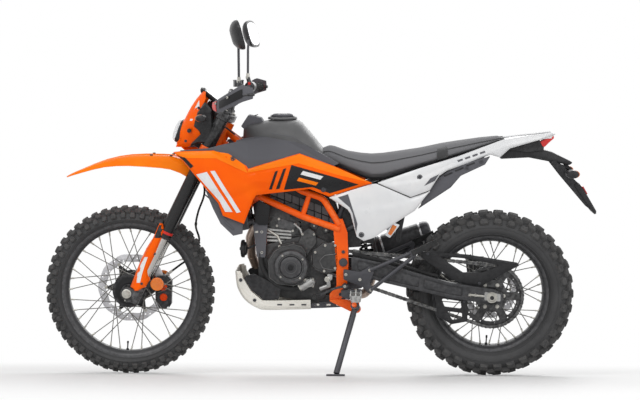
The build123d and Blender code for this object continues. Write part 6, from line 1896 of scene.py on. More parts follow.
def build_cooling():
    body, small = Shape(), Shape()
    core = [(-294, 748), (-268, 752), (-246, 626), (-274, 622)]
    body.slab(core, -90, 90, "radiator_fins")
    for side in (-1, 1):
        tank = flat_bent([(-300, 758), (-262, 765), (-240, 613), (-276, 605)], 8)
        body.slab(tank, *flank(side, 88, 111))
    body.slab(flat_bent([(-301, 762), (-262, 768), (-261, 752), (-297, 746)], 4), -104, 104)
    body.slab(flat_bent([(-277, 626), (-245, 630), (-241, 611), (-276, 604)], 4), -104, 104)
    for k in range(24):
        z = 628 + 5 * k
        x = -282 - 0.17 * (z - 628)
        small.block((x - 2, 0, z), (5, 178, 1.4), "radiator_fins", Matrix.Rotation(radians(-8), 3, "Y"))
    for side in (-1, 1):
        small.slab([(-268, 764), (-229, 775), (-229, 759), (-266, 747)], *flank(side, 76, 92), "dark_alloy")
        small.lathe([(11, 0), (11, 20), (13, 20), (13, 26)], (-246, side * 98, 640), (1, 0, 0.1), 20, "dark_alloy")
    small.lathe([(0.1, 0), (18, 0), (19, 2), (19, 10), (16, 12), (0.1, 12)], (-280, 60, 764), (0, 0, 1), 24,
                "black_plastic")
    # fan shroud behind the core
    small.lathe([(66, 0), (70, 0), (70, 20), (64, 20)], (-262, 0, 688), (0.98, 0, 0.17), 40, "black_plastic",
                loop=True)
    for k in range(4):
        a = pi * k / 4
        small.block((-248, 0, 688), (4, 130, 7), "black_plastic",
                    Matrix.Rotation(radians(-10), 3, "Y") @ Matrix.Rotation(a, 3, "X"))
    piece("radiator_finned", body, ["dark_alloy", "radiator_fins", "black_plastic"], "chassis", ["radiator"],
          bevel=1.6, plain=small)
    guard = Shape()
    for side in (-1, 1):
        for k in range(9):
            z = 620 + 15 * k
            x = -286 - 0.17 * (z - 620)
            guard.block((x - 9, side * 60, z), (3, 92, 4.5), "black_film", Matrix.Rotation(radians(35), 3, "Y"))
        for y in (14, 106):
            guard.block((-301, side * y, 682), (5, 5, 140), "black_film", Matrix.Rotation(radians(-8.5), 3, "Y"))
        guard.slab(flat_bent([(-225, 712), (-216, 640), (-201, 629), (-165, 629), (-156, 706), (-200, 728)], 6),
                   *flank(side, 96, 106))
        guard.slab(flat_bent([(-227, 640), (-210, 498), (-176, 495), (-166, 640)], 5),
                   *flank(side, 97, 100), "dark_plastic")
    piece("radiator_guards", guard, ["black_film", "dark_plastic"], "chassis", (), bevel=1.2)


HEADER_ROUTE = [(-166, 20, 650), (-212, 20, 640), (-247, 36, 560), (-243, 86, 480), (-222, 130, 410),
                (-150, 142, 326), (-90, 144, 308), (230, 158, 308), (262, 200, 392), (266, 210, 486)]


def build_exhaust():
    line = bent(HEADER_ROUTE, 34, 6)
    pipe = Shape().tube(line[2:], 18.8, 28)
    small = Shape()
    small.lathe([(20, -3), (24, -3), (24, 8), (20, 8)], line[1], line[2] - line[1], 28, "header_steel", loop=True)
    for k in (20, 40):
        at = line[min(k, len(line) - 3)]
        small.lathe([(18.9, -2), (19.8, -1), (19.8, 1), (18.9, 2)], at, line[min(k, len(line) - 3) + 1] - at, 28,
                    "header_steel")
    clamp = line[-3]
    small.lathe([(19, -9), (22, -9), (22, 9), (19, 9)], clamp, line[-2] - clamp, 28, "zinc", loop=True)
    # pierced heat guard beside the peg
    rows = []
    for x in between(-40, 200, 12):
        centre = Vector((x, 144 + (x + 90) * 14 / 320, 308))
        rows.append([centre + Vector((0, 23 * cos(a), 23 * sin(a))) for a in between(-1.1, 1.3, 8)])
    under = [[p + Vector((0, -1.6 * cos(a), -1.6 * sin(a))) for p, a in zip(row, between(-1.1, 1.3, 8))]
             for row in rows]
    small.rings([row + low[::-1] for row, low in zip(rows, under)], "black_steel")
    spots = [rows[k][4] for k in (2, 10)]
    small.join(screws(spots, (0, 1, 0), 4.5, 3, "zinc"))
    piece("exhaust_header_pipe", pipe, ["header_steel", "zinc", "black_steel"], "chassis", ["exhaust_header"],
          plain=small, angle=60)
    build_muffler()


def build_muffler():
    start, end = Vector((256, 213, 484)), Vector((506, 213, 566))
    axis = (end - start).normalized()
    over = ACROSS.cross(axis)

    def section(width, height, along):
        return [start + axis * along + Vector((0, y, 0)) - over * z for y, z in squircle(width, height, 0.6, 40)]
    can = Shape().rings([section(26, 28, 0), section(38, 44, 14), section(43, 51, 34), section(44, 52, 40),
                         section(44, 52, 222)])
    cap = Shape().rings([section(45, 53, 218), section(45, 53, 238), section(40, 48, 254), section(28, 34, 261),
                         section(22, 26, 256), section(22, 26, 240)], "black_steel")
    can.join(cap)
    small = Shape()
    for k in (44, 214):
        small.rings([section(44.8, 52.8, k), section(45.4, 53.4, k + 1), section(45.4, 53.4, k + 7),
                     section(44.8, 52.8, k + 8)], "alloy")
    holes = [start + axis * 246 + Vector((0, 34 * cos(a), 0)) - over * (42 * sin(a))
             for a in between(0, 2 * pi, 16)[:-1]]
    small.join(copies(Shape().lathe([(0.1, -1), (3.2, -1), (3.2, 1.2), (2.2, 1.2), (2.2, 0.2), (0.1, 0.2)], (0, 0, 0),
                                    (0, 0, 1), 10), holes, [axis] * len(holes), "black_plastic"))
    small.join(screws([start + axis * a + Vector((0, 44, 0)) for a in (52, 205)], (0, 1, 0), 4.5, 3, "zinc"))
    plate = flat_bent([(330, 520), (420, 548), (446, 572), (380, 566), (318, 540)], 8)
    small.slab(plate, 256, 258.4, "black_film")
    piece("muffler_can", can, ["dark_alloy", "black_steel", "alloy", "black_plastic", "zinc", "black_film"],
          "chassis", ["muffler"], bevel=0.8, plain=small, angle=30)


def build_skid_plate():
    """A rounded tray under the engine with side wings, slots and a dark insert."""
    path = curve_through([(-298, 0, 440), (-289, 0, 374), (-258, 0, 322), (-208, 0, 289), (-172, 0, 282),
                          (-60, 0, 284), (8, 0, 286)], 6)
    rows = []
    for p, ahead in zip(path, path[1:] + [path[-1] + (path[-1] - path[-2])]):
        along = (ahead - p).normalized()
        rise = 40 if p.x > -240 else 22
        inward = Vector((-along.z, 0, along.x))
        row = []
        for y, lift in ((-111, rise), (-111, rise * 0.4), (-108, 6), (-100, 0), (-40, 0), (0, -1.5), (40, 0),
                        (100, 0), (108, 6), (111, rise * 0.4), (111, rise)):
            row.append(p + inward * lift + Vector((0, y, 0)))
        rows.append(row)
    tray = Shape().rings(rows, round_=False, caps=False)
    small = Shape()
    side_wing = flat_bent([(-284, 436), (-280, 384), (-240, 334), (-186, 300), (-60, 296), (-10, 300), (-34, 322),
                           (-150, 320), (-184, 318), (-234, 361), (-267, 416), (-269, 436)], 6)
    small.slab(side_wing, -112, -108.5, "skid_alloy")
    insert = flat_bent([(-262, 412), (-252, 424), (-220, 430), (-112, 374), (-122, 326), (-182, 322), (-230, 363)], 6)
    small.slab(insert, -106, -101, "black_plastic")
    for x in (-118, -68, -20, 22, 62):
        small.slab(flat_bent([(x - 10, 303), (x + 10, 303), (x + 10, 309), (x - 10, 309)], 2), -113, -111.2,
                   "black_steel")
    small.join(screws([(-275, -112, 406), (-219, -112, 324)], (0, -1, 0), 7, 4, "black_steel"))
    small.slab([(-50, 288), (-14, 288), (-14, 320), (-50, 320)], -64, -40, "black_steel")
    rail = flat_bent([(4, 290), (60, 292), (162, 298), (162, 320), (60, 316), (4, 308)], 4)
    small.slab(rail, -104, -96, "black_steel")
    for x in (30, 76, 120):
        small.slab(flat_bent([(x - 10, 301), (x + 12, 302), (x + 12, 309), (x - 10, 308)], 3), -104.8, -103,
                   "skid_alloy")
    piece("skid_plate_tray", tray, ["skid_alloy", "black_plastic", "black_steel", "zinc"], "chassis", ["skid_plate"],
          wall=3.0, bevel=1.0, plain=small.mirrored(), inner=(-60, 0, 460))


def build_airbox():
    body, small = Shape(), Shape()
    body.slab(flat_bent([(140, 718), (152, 738), (300, 778), (478, 834), (440, 732), (330, 714)], 10), -60, 60)
    body.slab(flat_bent([(186, 700), (320, 706), (440, 726), (396, 690), (330, 640), (250, 628), (196, 650)], 10), -52,
              52)
    for k in range(9):
        x = 330 + 12 * k
        small.slab([(x, 752 + 2.6 * k), (x + 6, 753 + 2.6 * k), (x + 6, 800 + 3.2 * k), (x, 798 + 3.2 * k)], -61.5,
                   -59, "dark_plastic")
    for k in range(4):
        z = 760 + 12 * k
        small.slab([(326, z), (438, z + 26), (438, z + 29), (326, z + 3)], -61.8, -59.4, "dark_plastic")
    piece("airbox_cover", body, ["black_plastic", "dark_plastic"], "chassis", ["airbox"], bevel=3.0,
          plain=small.mirrored())


def build_shock():
    low, high = Vector((246, 0, 440)), Vector((196, 0, 700))
    along = (high - low).normalized()
    body = Shape()
    body.lathe([(0.1, 22), (11, 22), (11, 60), (24, 62), (26, 66), (28.5, 68), (28.5, 74), (24, 75)], low, along, 40)
    body.lathe([(7, 60), (7, 150)], low, along, 24, "fork_silver")
    body.lathe([(22, 140), (22, 226), (18, 230), (13, 240)], low, along, 40, "black_alloy")
    body.lathe([(28.5, 206), (28.5, 214), (24, 215)], low, along, 40, "red_trim")
    small = Shape().join(spring(low + along * 75, low + along * 205, 24.5, 4.6, 7.0, "black_steel"))
    small.lathe([(13, -33), (22, -33), (22, 33), (13, 33)], low, ACROSS, 28, "black_alloy", loop=True)
    small.rod(low - Vector((0, 33, 0)), low + Vector((0, 33, 0)), 11, 20, "fork_silver")
    small.lathe([(8, -24), (14, -24), (14, 24), (8, 24)], high, ACROSS, 28, "black_alloy", loop=True)
    small.rod(high - Vector((0, 24, 0)), high + Vector((0, 24, 0)), 8, 20, "fork_silver")
    small.rod(low + along * 12, low + along * 30, 13, 20, "black_alloy")
    small.rod(high - along * 34, high - along * 8, 14, 20, "black_alloy")
    piece("rear_shock", body, ["black_alloy", "fork_silver", "black_steel", "red_trim"], "chassis", ["shock"],
          bevel=0.6, plain=small)


# ---------------------------------------------------------------------------------------------
# Swingarm, chassis fittings, pegs, levers, stand
# ---------------------------------------------------------------------------------------------
ARM_OUTLINE = [(172, 505), (300, 478), (560, 402), (747.7, 371.8), (783.7, 353.8), (783.7, 325.8), (715.7, 315.8),
               (560, 340), (300, 400), (172, 440)]
ARM_HOLLOWS = [[(196, 490), (300, 465), (444, 422), (444, 380), (300, 413), (196, 450)],
               [(462, 417), (560, 390), (618, 380), (618, 344), (560, 354), (462, 376)]]


def build_swingarm():
    body, small = Shape(), Shape()
    for left, right in ((-66, -34), (34, 66)):
        body.slab(flat_bent([(139, 492), (240, 486), (340, 468), (340, 418), (240, 424), (139, 464)], 8), left, right)
    body.slab(flat_bent([(282, 478), (338, 468), (338, 420), (282, 428)], 8), -100, 100)
    body.lathe([(20, -98), (20, 98)], (139, 0, 478), ACROSS, 32)
    for side in (-1, 1):
        body.slab(flat_bent(ARM_OUTLINE, 10), *flank(side, 98, 121))
        small.join(pierced([flat_bent(ARM_OUTLINE, 10)] + [flat_bent(h, 10) for h in ARM_HOLLOWS],
                           *flank(side, 120, 126.5), 1.2))
        # axle block with its adjuster
        small.slab(flat_bent([(706, 364), (770, 356), (770, 326), (706, 331)], 5), *flank(side, 126, 133),
                   "cast_light")
        small.slab(flat_bent([(700, 372), (778, 362), (778, 320), (700, 326)], 6), *flank(side, 124, 128))
        small.rod((646, side * 128, 352), (706, side * 128, 346), 5, 12, "zinc")
        small.join(copies(hex_head(6.5, 8), [(668, side * 128, 350), (650, side * 128, 351)],
                          [(1, 0, -0.1), (-1, 0, 0.1)], "zinc"))
    # ribs under the left arm and the chain's rubbing strip
    small.join(pierced([flat_bent([(176, 520), (300, 490), (520, 428), (520, 418), (300, 478), (176, 506)], 4)],
                       -106, -80, 1.0), None, "rubber")
    piece("swingarm_cast", body, ["dark_alloy", "cast_light", "zinc", "rubber"], "chassis", ["swingarm"], bevel=2.6,
          plain=small)


def hollow_nut(shape, place, side):
    """A hexagon nut on an axle with an open bore, facing out on one side."""
    x, y, z = place
    out = (0, side, 0)
    shape.lathe([(22.1, 0), (22.1, 2)], place, out, 32)
    shape.rings([[(x + r * cos(pi * i / 3), y + side * d, z + r * sin(pi * i / 3)) for i in range(6)]
                 for r, d in ((17, 1.5), (17, 6.5), (15.3, 8))])
    shape.lathe([(12, 7), (12, 10.5), (8.5, 10.5), (8.5, 8.4)], place, out, 28)
    shape.lathe([(0.1, 8.3), (8.5, 8.3), (8.5, 8.5), (0.1, 8.5)], place, out, 24, "black_plastic")


def build_rear_axle():
    body, small = Shape(), Shape()
    body.lathe([(10, -127), (10, 127)], REAR_AXLE, ACROSS, 32)
    for side in (-1, 1):
        body.lathe([(15, y) for y in flank(side, 66, 97)], REAR_AXLE, ACROSS, 32)
        hollow_nut(small, (REAR_AXLE.x, side * 133, REAR_AXLE.z), side)
    piece("rear_axle_nuts", body, ["zinc", "black_plastic"], "chassis", ["rear_axle"], bevel=0.8, plain=small)


GUARD_OUTLINE = [(452, 524), (640, 512), (838, 480), (848, 468), (790, 440), (690, 381), (600, 396), (452, 500)]
GUARD_SLOT = [(520, 506), (640, 495), (770, 468), (700, 440), (620, 440)]
GUIDE_OUTLINE = [(505, 355), (560, 342), (640, 329), (640, 240), (575, 228), (520, 262)]


def build_chain_guards():
    shape, small = Shape(), Shape()
    shape.join(pierced([flat_bent(GUARD_OUTLINE, 7), flat_bent(GUARD_SLOT, 6)], -107, -101, 1.2))
    shape.join(pierced([flat_bent(GUIDE_OUTLINE, 8), flat_bent([(534, 334), (612, 322), (616, 292), (548, 300)], 7),
                        flat_bent([(556, 282), (618, 274), (618, 252), (580, 246)], 6)], -108, -98.5, 1.4))
    small.sweep([(x, -106, z) for x, z in ((466, 516), (640, 503), (836, 474))], ring(2.6, 8), "black_plastic")
    small.join(screws([(478, -107.5, 514), (686, -107.5, 396), (626, -109, 322), (560, -109, 334)], (0, -1, 0), 5.6,
                      4, "black_steel"))
    piece("chain_guard_plates", shape, ["black_plastic", "black_steel"], "chassis", ["chain_guards"], plain=small)


def clamp_ring(along):
    """The outline of a fork clamp at a height along the steering axis."""
    half = [(-54, 0), (-42, 50), (-52, 88), (-44, 128), (2, 130), (10, 92), (22, 34), (26, 0)]
    loop = half + [(back, -side) for back, side in half[-2:0:-1]]
    return [steer_point(back, side, along) for back, side in flat_bent(loop, 9)]


def build_clamps():
    body, small = Shape(), Shape()
    for low, high in ((1003, 1041), (1166, 1194)):
        body.rings([clamp_ring(low), clamp_ring(high)], "orange_frame" if low < 1100 else "fork_black")
        for side in (-1, 1):
            for along in (low + (high - low) * 0.3, low + (high - low) * 0.7):
                small.join(screws([steer_point(-44, side * 74, along)], -STEER_AXIS.cross(ACROSS), 5, 6, "zinc"))
    small.rod(steer_point(0, 0, 1000), steer_point(0, 0, 1198), 15, 32, "orange_frame")
    small.lathe([(0.1, 1202), (13, 1202), (18, 1199), (18, 1194)], steer_point(0, 0, 0), STEER_AXIS, 6, "zinc")
    for side in (-1, 1):
        head = Vector((-316, side * 31, 1118))
        small.rod(steer_point(-8, side * 31, 1190), head, 14, 24, "fork_black")
        small.slab(flat_bent([(-338, 1104), (-294, 1104), (-294, 1136), (-338, 1136)], 7),
                   *flank(side, 19, 45), "fork_black")
        small.join(screws([(x, side * y, 1136) for x in (-331, -301) for y in (25, 39)], (0, 0, 1), 4.4, 4, "zinc"))
    piece("triple_clamps_machined", body, ["orange_frame", "zinc", "fork_black"], "steering_head",
          ["triple_clamps"], bevel=1.8, plain=small)


PAX_OUTLINE = [(140, 456), (206, 444), (252, 470), (262, 440), (244, 400), (262, 376), (250, 352), (216, 384),
               (140, 414)]


def tooth(shape, x, y, foot, top, finish):
    """A grip tooth, from its (half length, half width, height) at the foot and the top."""
    shape.rings([[(x - a, y - b, z), (x + a, y - b, z), (x + a, y + b, z), (x - a, y + b, z)]
                 for a, b, z in (foot, top)], finish)


def build_pegs():
    body, small = Shape(), Shape()
    for side in (-1, 1):
        body.slab(flat_bent([(130, 372), (215, 372), (215, 340), (160, 332), (130, 345)], 8),
                  *flank(side, 115, 141))
        # open tread frame of the rider's peg
        for outline in ([(166, 364), (173, 364), (178, 340), (172, 340)],
                        [(207, 364), (214, 364), (210, 340), (203, 340)]):
            small.slab(flat_bent(outline, 2), *flank(side, 142, 248), "cast_light")
        for near, far in ((142, 150), (241, 248)):
            small.slab([(168, 364), (212, 364), (208, 338), (172, 338)], *flank(side, near, far), "cast_light")
        small.slab([(184, 360), (196, 360), (194, 342), (186, 342)], *flank(side, 142, 248), "cast_light")
        for y in between(150, 244, 11):
            for x in (169.5, 190, 210.5):
                tooth(small, x, side * y, (3.2, 3.4, 363), (1, 0.9, 370), "cast_light")
        small.rod((190, side * 141, 330), (190, side * 141, 376), 5, 16, "zinc")
        # passenger hanger
        small.join(pierced([flat_bent(PAX_OUTLINE, 7)], *flank(side, 133, 142), 1.4))
        middle = side * 140
        for start, end in (((246, middle, 452), (424, middle, 528)), ((250, middle, 372), (424, middle, 510))):
            small.rod(start, end, 8, 20, "black_steel")
        small.lathe([(13, 0), (13, 24), (11, 26), (0.1, 26)], (420, side * 133, 520), (0, side, 0), 28, "black_steel")
        small.sweep([(414, side * 153, 522), (512, side * 153, 568)],
                    flat_bent([(-11, -8), (11, -8), (11, 8), (-11, 8)], 3), "rubber")
        for k in range(7):
            t = 0.18 + 0.11 * k
            x, z = 414 + 98 * t, 522 + 46 * t
            small.block((x, side * 153, z + 9), (4, 17, 4), "rubber", Matrix.Rotation(-atan2(46, 98), 3, "Y"))
        small.join(screws([(x, side * 142, z) for x, z in ((150, 434), (246, 452), (250, 372), (206, 414))],
                          (0, side, 0), 6.4, 4.5, "zinc"))
    piece("foot_pegs_toothed", body, ["black_steel", "cast_light", "zinc", "rubber"], "chassis", ["foot_pegs"],
          bevel=1.6, plain=small)


def build_foot_levers():
    body, small = Shape(), Shape()
    body.sweep(curve_through([(146, -148, 388), (104, -149, 378), (58, -148, 357), (24, -148, 346)], 6),
               flat_bent([(-4.5, -6), (4.5, -6), (4.5, 6), (-4.5, 6)], 2.5))
    body.sweep(curve_through([(146, 150, 392), (104, 152, 384), (66, 153, 368), (30, 154, 356)], 6),
               flat_bent([(-5, -6.5), (5, -6.5), (5, 6.5), (-5, 6.5)], 2.5))
    small.lathe([(11, -157), (12, -154), (12, -142), (9, -140), (9, -116)], (146, 0, 388), ACROSS, 28, "black_alloy")
    small.lathe([(9, 115), (9, 140), (12, 142), (12, 160), (10, 162)], (146, 0, 392), ACROSS, 28, "black_alloy")
    small.lathe([(7, -190), (9, -188), (9, -150), (6, -146)], (24, 0, 346), ACROSS, 24, "rubber")
    for k in range(5):
        small.lathe([(9.0, 0), (9.8, 1.2), (9.0, 2.4)], (24, -184 + 7 * k, 346), ACROSS, 24, "rubber", loop=True)
    small.block((30, 168, 358), (24, 40, 6), "zinc")
    for x in (21, 27, 33, 39):
        for y in between(152, 184, 5):
            tooth(small, x, y, (2, 2.4, 360), (0.6, 0.6, 365), "zinc")
    small.join(screws([(146, -157, 388)], (0, -1, 0), 6, 4, "zinc"))
    small.join(screws([(146, 162, 392)], (0, 1, 0), 6, 4, "zinc"))
    piece("foot_levers_forged", body, ["black_alloy", "rubber", "zinc"], "chassis", ["foot_levers"], bevel=1.0,
          plain=small)


def build_stand():
    top, foot = Vector((188, -146, 305)), Vector((112, -292, 292 * tan(LEAN)))
    down = (foot - top).normalized()
    folded = Vector((0.955, -0.10, 0.26)).normalized()
    axis = down.cross(folded).normalized()
    body, small = Shape(), Shape()
    body.rod(top + down * 16, foot - down * 10, 12, 28)
    body.lathe([(17, -12.5), (17, 12.5)], top, axis, 32)
    level = Matrix.Rotation(-LEAN, 3, "X")
    plate = [level @ Vector((x, y, z)) + foot for z in (0.4, 7.6) for x, y in flat_bent(
        [(-37, -23), (37, -23), (37, 23), (-37, 23)], 10)]
    count = len(plate) // 2
    body.rings([plate[:count], plate[count:]])
    small.join(spring(top + down * 30 - axis * 18, top + down * 116 - axis * 17, 6.0, 1.6, 17, "zinc"))
    small.rod(top + down * 116 - axis * 18, top + down * 124 - axis * 6, 3, 12, "zinc")
    small.lathe([(0.1, -15), (8, -15), (8.5, -13)], top, axis, 6, "zinc")
    piece("side_stand_leg", body, ["black_steel", "zinc"], "side_stand", ["side_stand"], bevel=1.4, plain=small)


def build_rear_caliper():
    body, small = Shape(), Shape()
    outline = flat_bent([(640, 470), (720, 476), (732, 440), (720, 404), (650, 400)], 10)
    body.slab(outline, 91, 99)
    body.slab(outline, 68, 76)
    body.slab(flat_bent([(646, 474), (716, 479), (722, 466), (646, 458)], 4), 68, 99)
    body.slab(flat_bent([(686, 412), (728, 412), (731, 370), (702, 370)], 5), 92, 99)
    small.lathe([(0.1, 103), (13, 103), (16, 101), (16, 98)], (682, 0, 434), ACROSS, 32, "cover_dark")
    small.join(screws([(656, 99, 460), (714, 99, 462), (708, 99, 384)], (0, 1, 0), 5.4, 4.5, "zinc"))
    small.lathe([(5, 0), (5, 8), (3, 9), (3, 15)], (664, 84, 474), (-0.2, 0, 1), 12, "zinc")
    piece("rear_caliper_cast", body, ["cast_dark", "cover_dark", "zinc"], "chassis", ["rear_caliper"], bevel=1.8,
          plain=small)


def build_fittings():
    """Bolts, horn, reflectors, an intake box and a splash guard that have no node of their own."""
    caps, horn, flaps = Shape(), Shape(), Shape()
    for side in (-1, 1):
        caps.lathe([(0.1, 11.5), (9, 11.5), (9.5, 10), (15, 9.5), (17, 7), (17, 0)], (139, side * 114, 480),
                   (0, side, 0), 32, "black_steel")
        caps.join(screws([(139, side * 114, 522), (128, side * 114, 350)], (0, side, 0), 7, 5, "black_steel"))
        caps.join(screws([(-190, side * 96, z) for z in (516, 600, 724)], (0, side, 0), 6, 5, "zinc"))
    piece("frame_bolts", caps, ["black_steel", "zinc"], "chassis")
    horn.lathe([(36, 0), (36, 10), (33, 14), (24, 16), (22, 12), (8, 12), (7, 20), (0.1, 21)], (-262, -60, 527),
               (-1, 0, 0), 40)
    horn.lathe([(28, 0), (26, -8), (12, -12), (0.1, -12)], (-262, -60, 527), (-1, 0, 0), 32)
    horn.slab([(-262, 527), (-214, 548), (-214, 540), (-262, 518)], -64, -56, "black_plastic")
    piece("horn_disc", horn, ["black_plastic"], "chassis", bevel=0.8)
    for side in (-1, 1):
        plate = flat_bent([(338, 644), (366, 632), (326, 579), (306, 591)], 5)
        near = 112
        flaps.slab(plate, *flank(side, near, near + 6), "reflector_silver")
        flaps.slab([(336 + (x - 336) * 0.62, 611.5 + (z - 611.5) * 0.7) for x, z in plate],
                   *flank(side, near + 5, near + 8), "amber_lens")
        flaps.rod((336, side * 88, 612), (336, side * near, 612), 6, 12, "black_plastic")
    piece("side_reflectors", flaps, ["reflector_silver", "amber_lens", "black_plastic"], "chassis", bevel=0.8)
    box, guard = Shape(), Shape()
    box.slab(flat_bent([(-176, 752), (-150, 786), (40, 800), (98, 742), (122, 650), (100, 634), (-30, 690)], 8), -56,
             56, "black_plastic")
    tiles = Shape()
    for side in (-1, 1):
        for k in range(9):
            for row in range(2):
                x, z = -158 + 30 * k, 778 - 11 * k - 35 * row
                tiles.slab(flat_bent([(x, z), (x + 26, z - 10), (x + 26, z - 40), (x, z - 30)], 3),
                           *flank(side, 55, 61))
        tiles.slab(flat_bent([(112, 742), (152, 738), (196, 646), (216, 592), (208, 538), (150, 534), (146, 600),
                              (124, 660)], 6), *flank(side, 72, 76), "black_plastic")
        for k in range(4):
            tiles.slab([(134 + 12 * k, 700 - 26 * k), (160 + 12 * k, 690 - 26 * k), (160 + 12 * k, 684 - 26 * k),
                        (134 + 12 * k, 694 - 26 * k)], *flank(side, 75, 80), "black_plastic")
    piece("intake_box", box, ["tank_plastic", "black_plastic"], "chassis", bevel=2.0, plain=tiles)
    line = curve_through([(280, 0, 486), (266, 0, 540), (270, 0, 610), (298, 0, 680), (342, 0, 728)], 6)
    guard.rings([[(p.x + d, y, p.z) for d, y in ((0, -62), (0, 62), (4, 62), (4, -62))] for p in line])
    for side in (-1, 1):
        guard.slab([(160, 560), (262, 548), (268, 640), (196, 690), (158, 640)], *flank(side, 60, 63))
        guard.slab([(352, 652), (388, 668), (366, 560), (352, 560)], *flank(side, 66, 72))
    piece("splash_guard", guard, ["black_plastic"], "chassis", bevel=1.2)


# ---------------------------------------------------------------------------------------------
# Stage
# ---------------------------------------------------------------------------------------------
CAMERA_FROM = Vector((243, -7000, 1427))
CAMERA_AT = Vector((42, 0, 720))
LENS_MM, SENSOR_MM = 97.1, 36.0
FLOOR_REACH, FADE_START, FADE_END = 3.4, 1.3, 3.0
WHITE = (1.0, 1.0, 1.0, 1.0)
LAMPS = (("key", (-2.2, -4.6, 4.2), (0, 0, 0.6), 3.4, 130),  # name, place, aim, size, power
         ("fill", (3.8, -4.2, 2.6), (0.2, 0, 0.6), 3.0, 60),
         ("back", (0.6, 4.2, 3.6), (0, 0, 0.7), 3.4, 90))


def studio_floor(tone):
    """A pale floor that passes into the white background at its edge."""
    made = bpy.data.materials.new("studio_floor")
    made.use_nodes = True
    tree = made.node_tree
    shader = tree.nodes["Principled BSDF"]
    where = tree.nodes.new("ShaderNodeTexCoord").outputs["Object"]
    noise = tree.nodes.new("ShaderNodeTexNoise")
    noise.inputs["Scale"].default_value = 3.0
    tree.links.new(where, noise.inputs["Vector"])
    change = tree.nodes.new("ShaderNodeMapRange")
    change.inputs["To Min"].default_value, change.inputs["To Max"].default_value = 0.52, 0.58
    tree.links.new(noise.outputs["Fac"], change.inputs["Value"])
    tree.links.new(change.outputs[0], shader.inputs["Roughness"])
    shader.inputs["Base Color"].default_value = (tone, tone, tone, 1.0)
    # far from the object the floor passes into the white background, for the camera alone
    far = tree.nodes.new("ShaderNodeVectorMath")
    far.operation = "LENGTH"
    tree.links.new(where, far.inputs[0])
    fade = tree.nodes.new("ShaderNodeMapRange")
    fade.interpolation_type = "SMOOTHSTEP"
    fade.inputs["From Min"].default_value, fade.inputs["From Max"].default_value = FADE_START, FADE_END
    tree.links.new(far.outputs["Value"], fade.inputs["Value"])
    path = tree.nodes.new("ShaderNodeLightPath")
    share = math_node(tree, "MULTIPLY", fade.outputs[0], path.outputs["Is Camera Ray"])
    glow = tree.nodes.new("ShaderNodeEmission")
    mix = tree.nodes.new("ShaderNodeMixShader")
    tree.links.new(share, mix.inputs[0])
    tree.links.new(shader.outputs[0], mix.inputs[1])
    tree.links.new(glow.outputs[0], mix.inputs[2])
    tree.links.new(mix.outputs[0], tree.nodes["Material Output"].inputs["Surface"])
    return made


def build_stage(settings):
    """Floor, world, lamps and camera."""
    scene = bpy.context.scene
    scene.view_settings.view_transform = "Standard"
    floor = bpy.data.meshes.new("floor")
    floor.from_pydata([(x, y, 0) for x, y in ring(FLOOR_REACH, 96)], [], [tuple(range(96))])
    floor.materials.append(studio_floor(settings.floor_tone))
    ground = bpy.data.objects.new("floor", floor)
    scene.collection.objects.link(ground)
    world = bpy.data.worlds.new("studio")
    world.use_nodes = True
    tree = world.node_tree
    soft = tree.nodes["Background"]
    soft.inputs["Color"].default_value = WHITE
    soft.inputs["Strength"].default_value = settings.sky_light
    seen = tree.nodes.new("ShaderNodeBackground")
    seen.inputs["Color"].default_value = WHITE
    seen.inputs["Strength"].default_value = 1.0
    path = tree.nodes.new("ShaderNodeLightPath")
    either = math_node(tree, "MAXIMUM", path.outputs["Is Camera Ray"],
                       math_node(tree, "MAXIMUM", path.outputs["Is Glossy Ray"], path.outputs["Is Transmission Ray"]))
    mix = tree.nodes.new("ShaderNodeMixShader")
    tree.links.new(either, mix.inputs[0])
    tree.links.new(soft.outputs[0], mix.inputs[1])
    tree.links.new(seen.outputs[0], mix.inputs[2])
    tree.links.new(mix.outputs[0], tree.nodes["World Output"].inputs["Surface"])
    scene.world = world
    for name, place, aim, size, power in LAMPS:
        light = bpy.data.lights.new(name, "AREA")
        light.size, light.energy = size, power * settings.lamp_light
        lamp = bpy.data.objects.new(name, light)
        lamp.location = place
        lamp.rotation_euler = (Vector(aim) - Vector(place)).to_track_quat("-Z", "Y").to_euler()
        scene.collection.objects.link(lamp)
    lens = bpy.data.cameras.new("camera")
    lens.sensor_width, lens.lens = SENSOR_MM, LENS_MM
    lens.clip_end = 100.0
    camera = bpy.data.objects.new("camera", lens)
    forward = (CAMERA_AT - CAMERA_FROM).normalized()
    right = forward.cross(Vector((0, 0, 1))).normalized()
    turn = PARKED.to_3x3().normalized() @ Matrix((right, right.cross(forward), -forward)).transposed()
    camera.matrix_world = Matrix.Translation(PARKED @ CAMERA_FROM) @ turn.to_4x4()
    scene.collection.objects.link(camera)
    scene.camera = camera


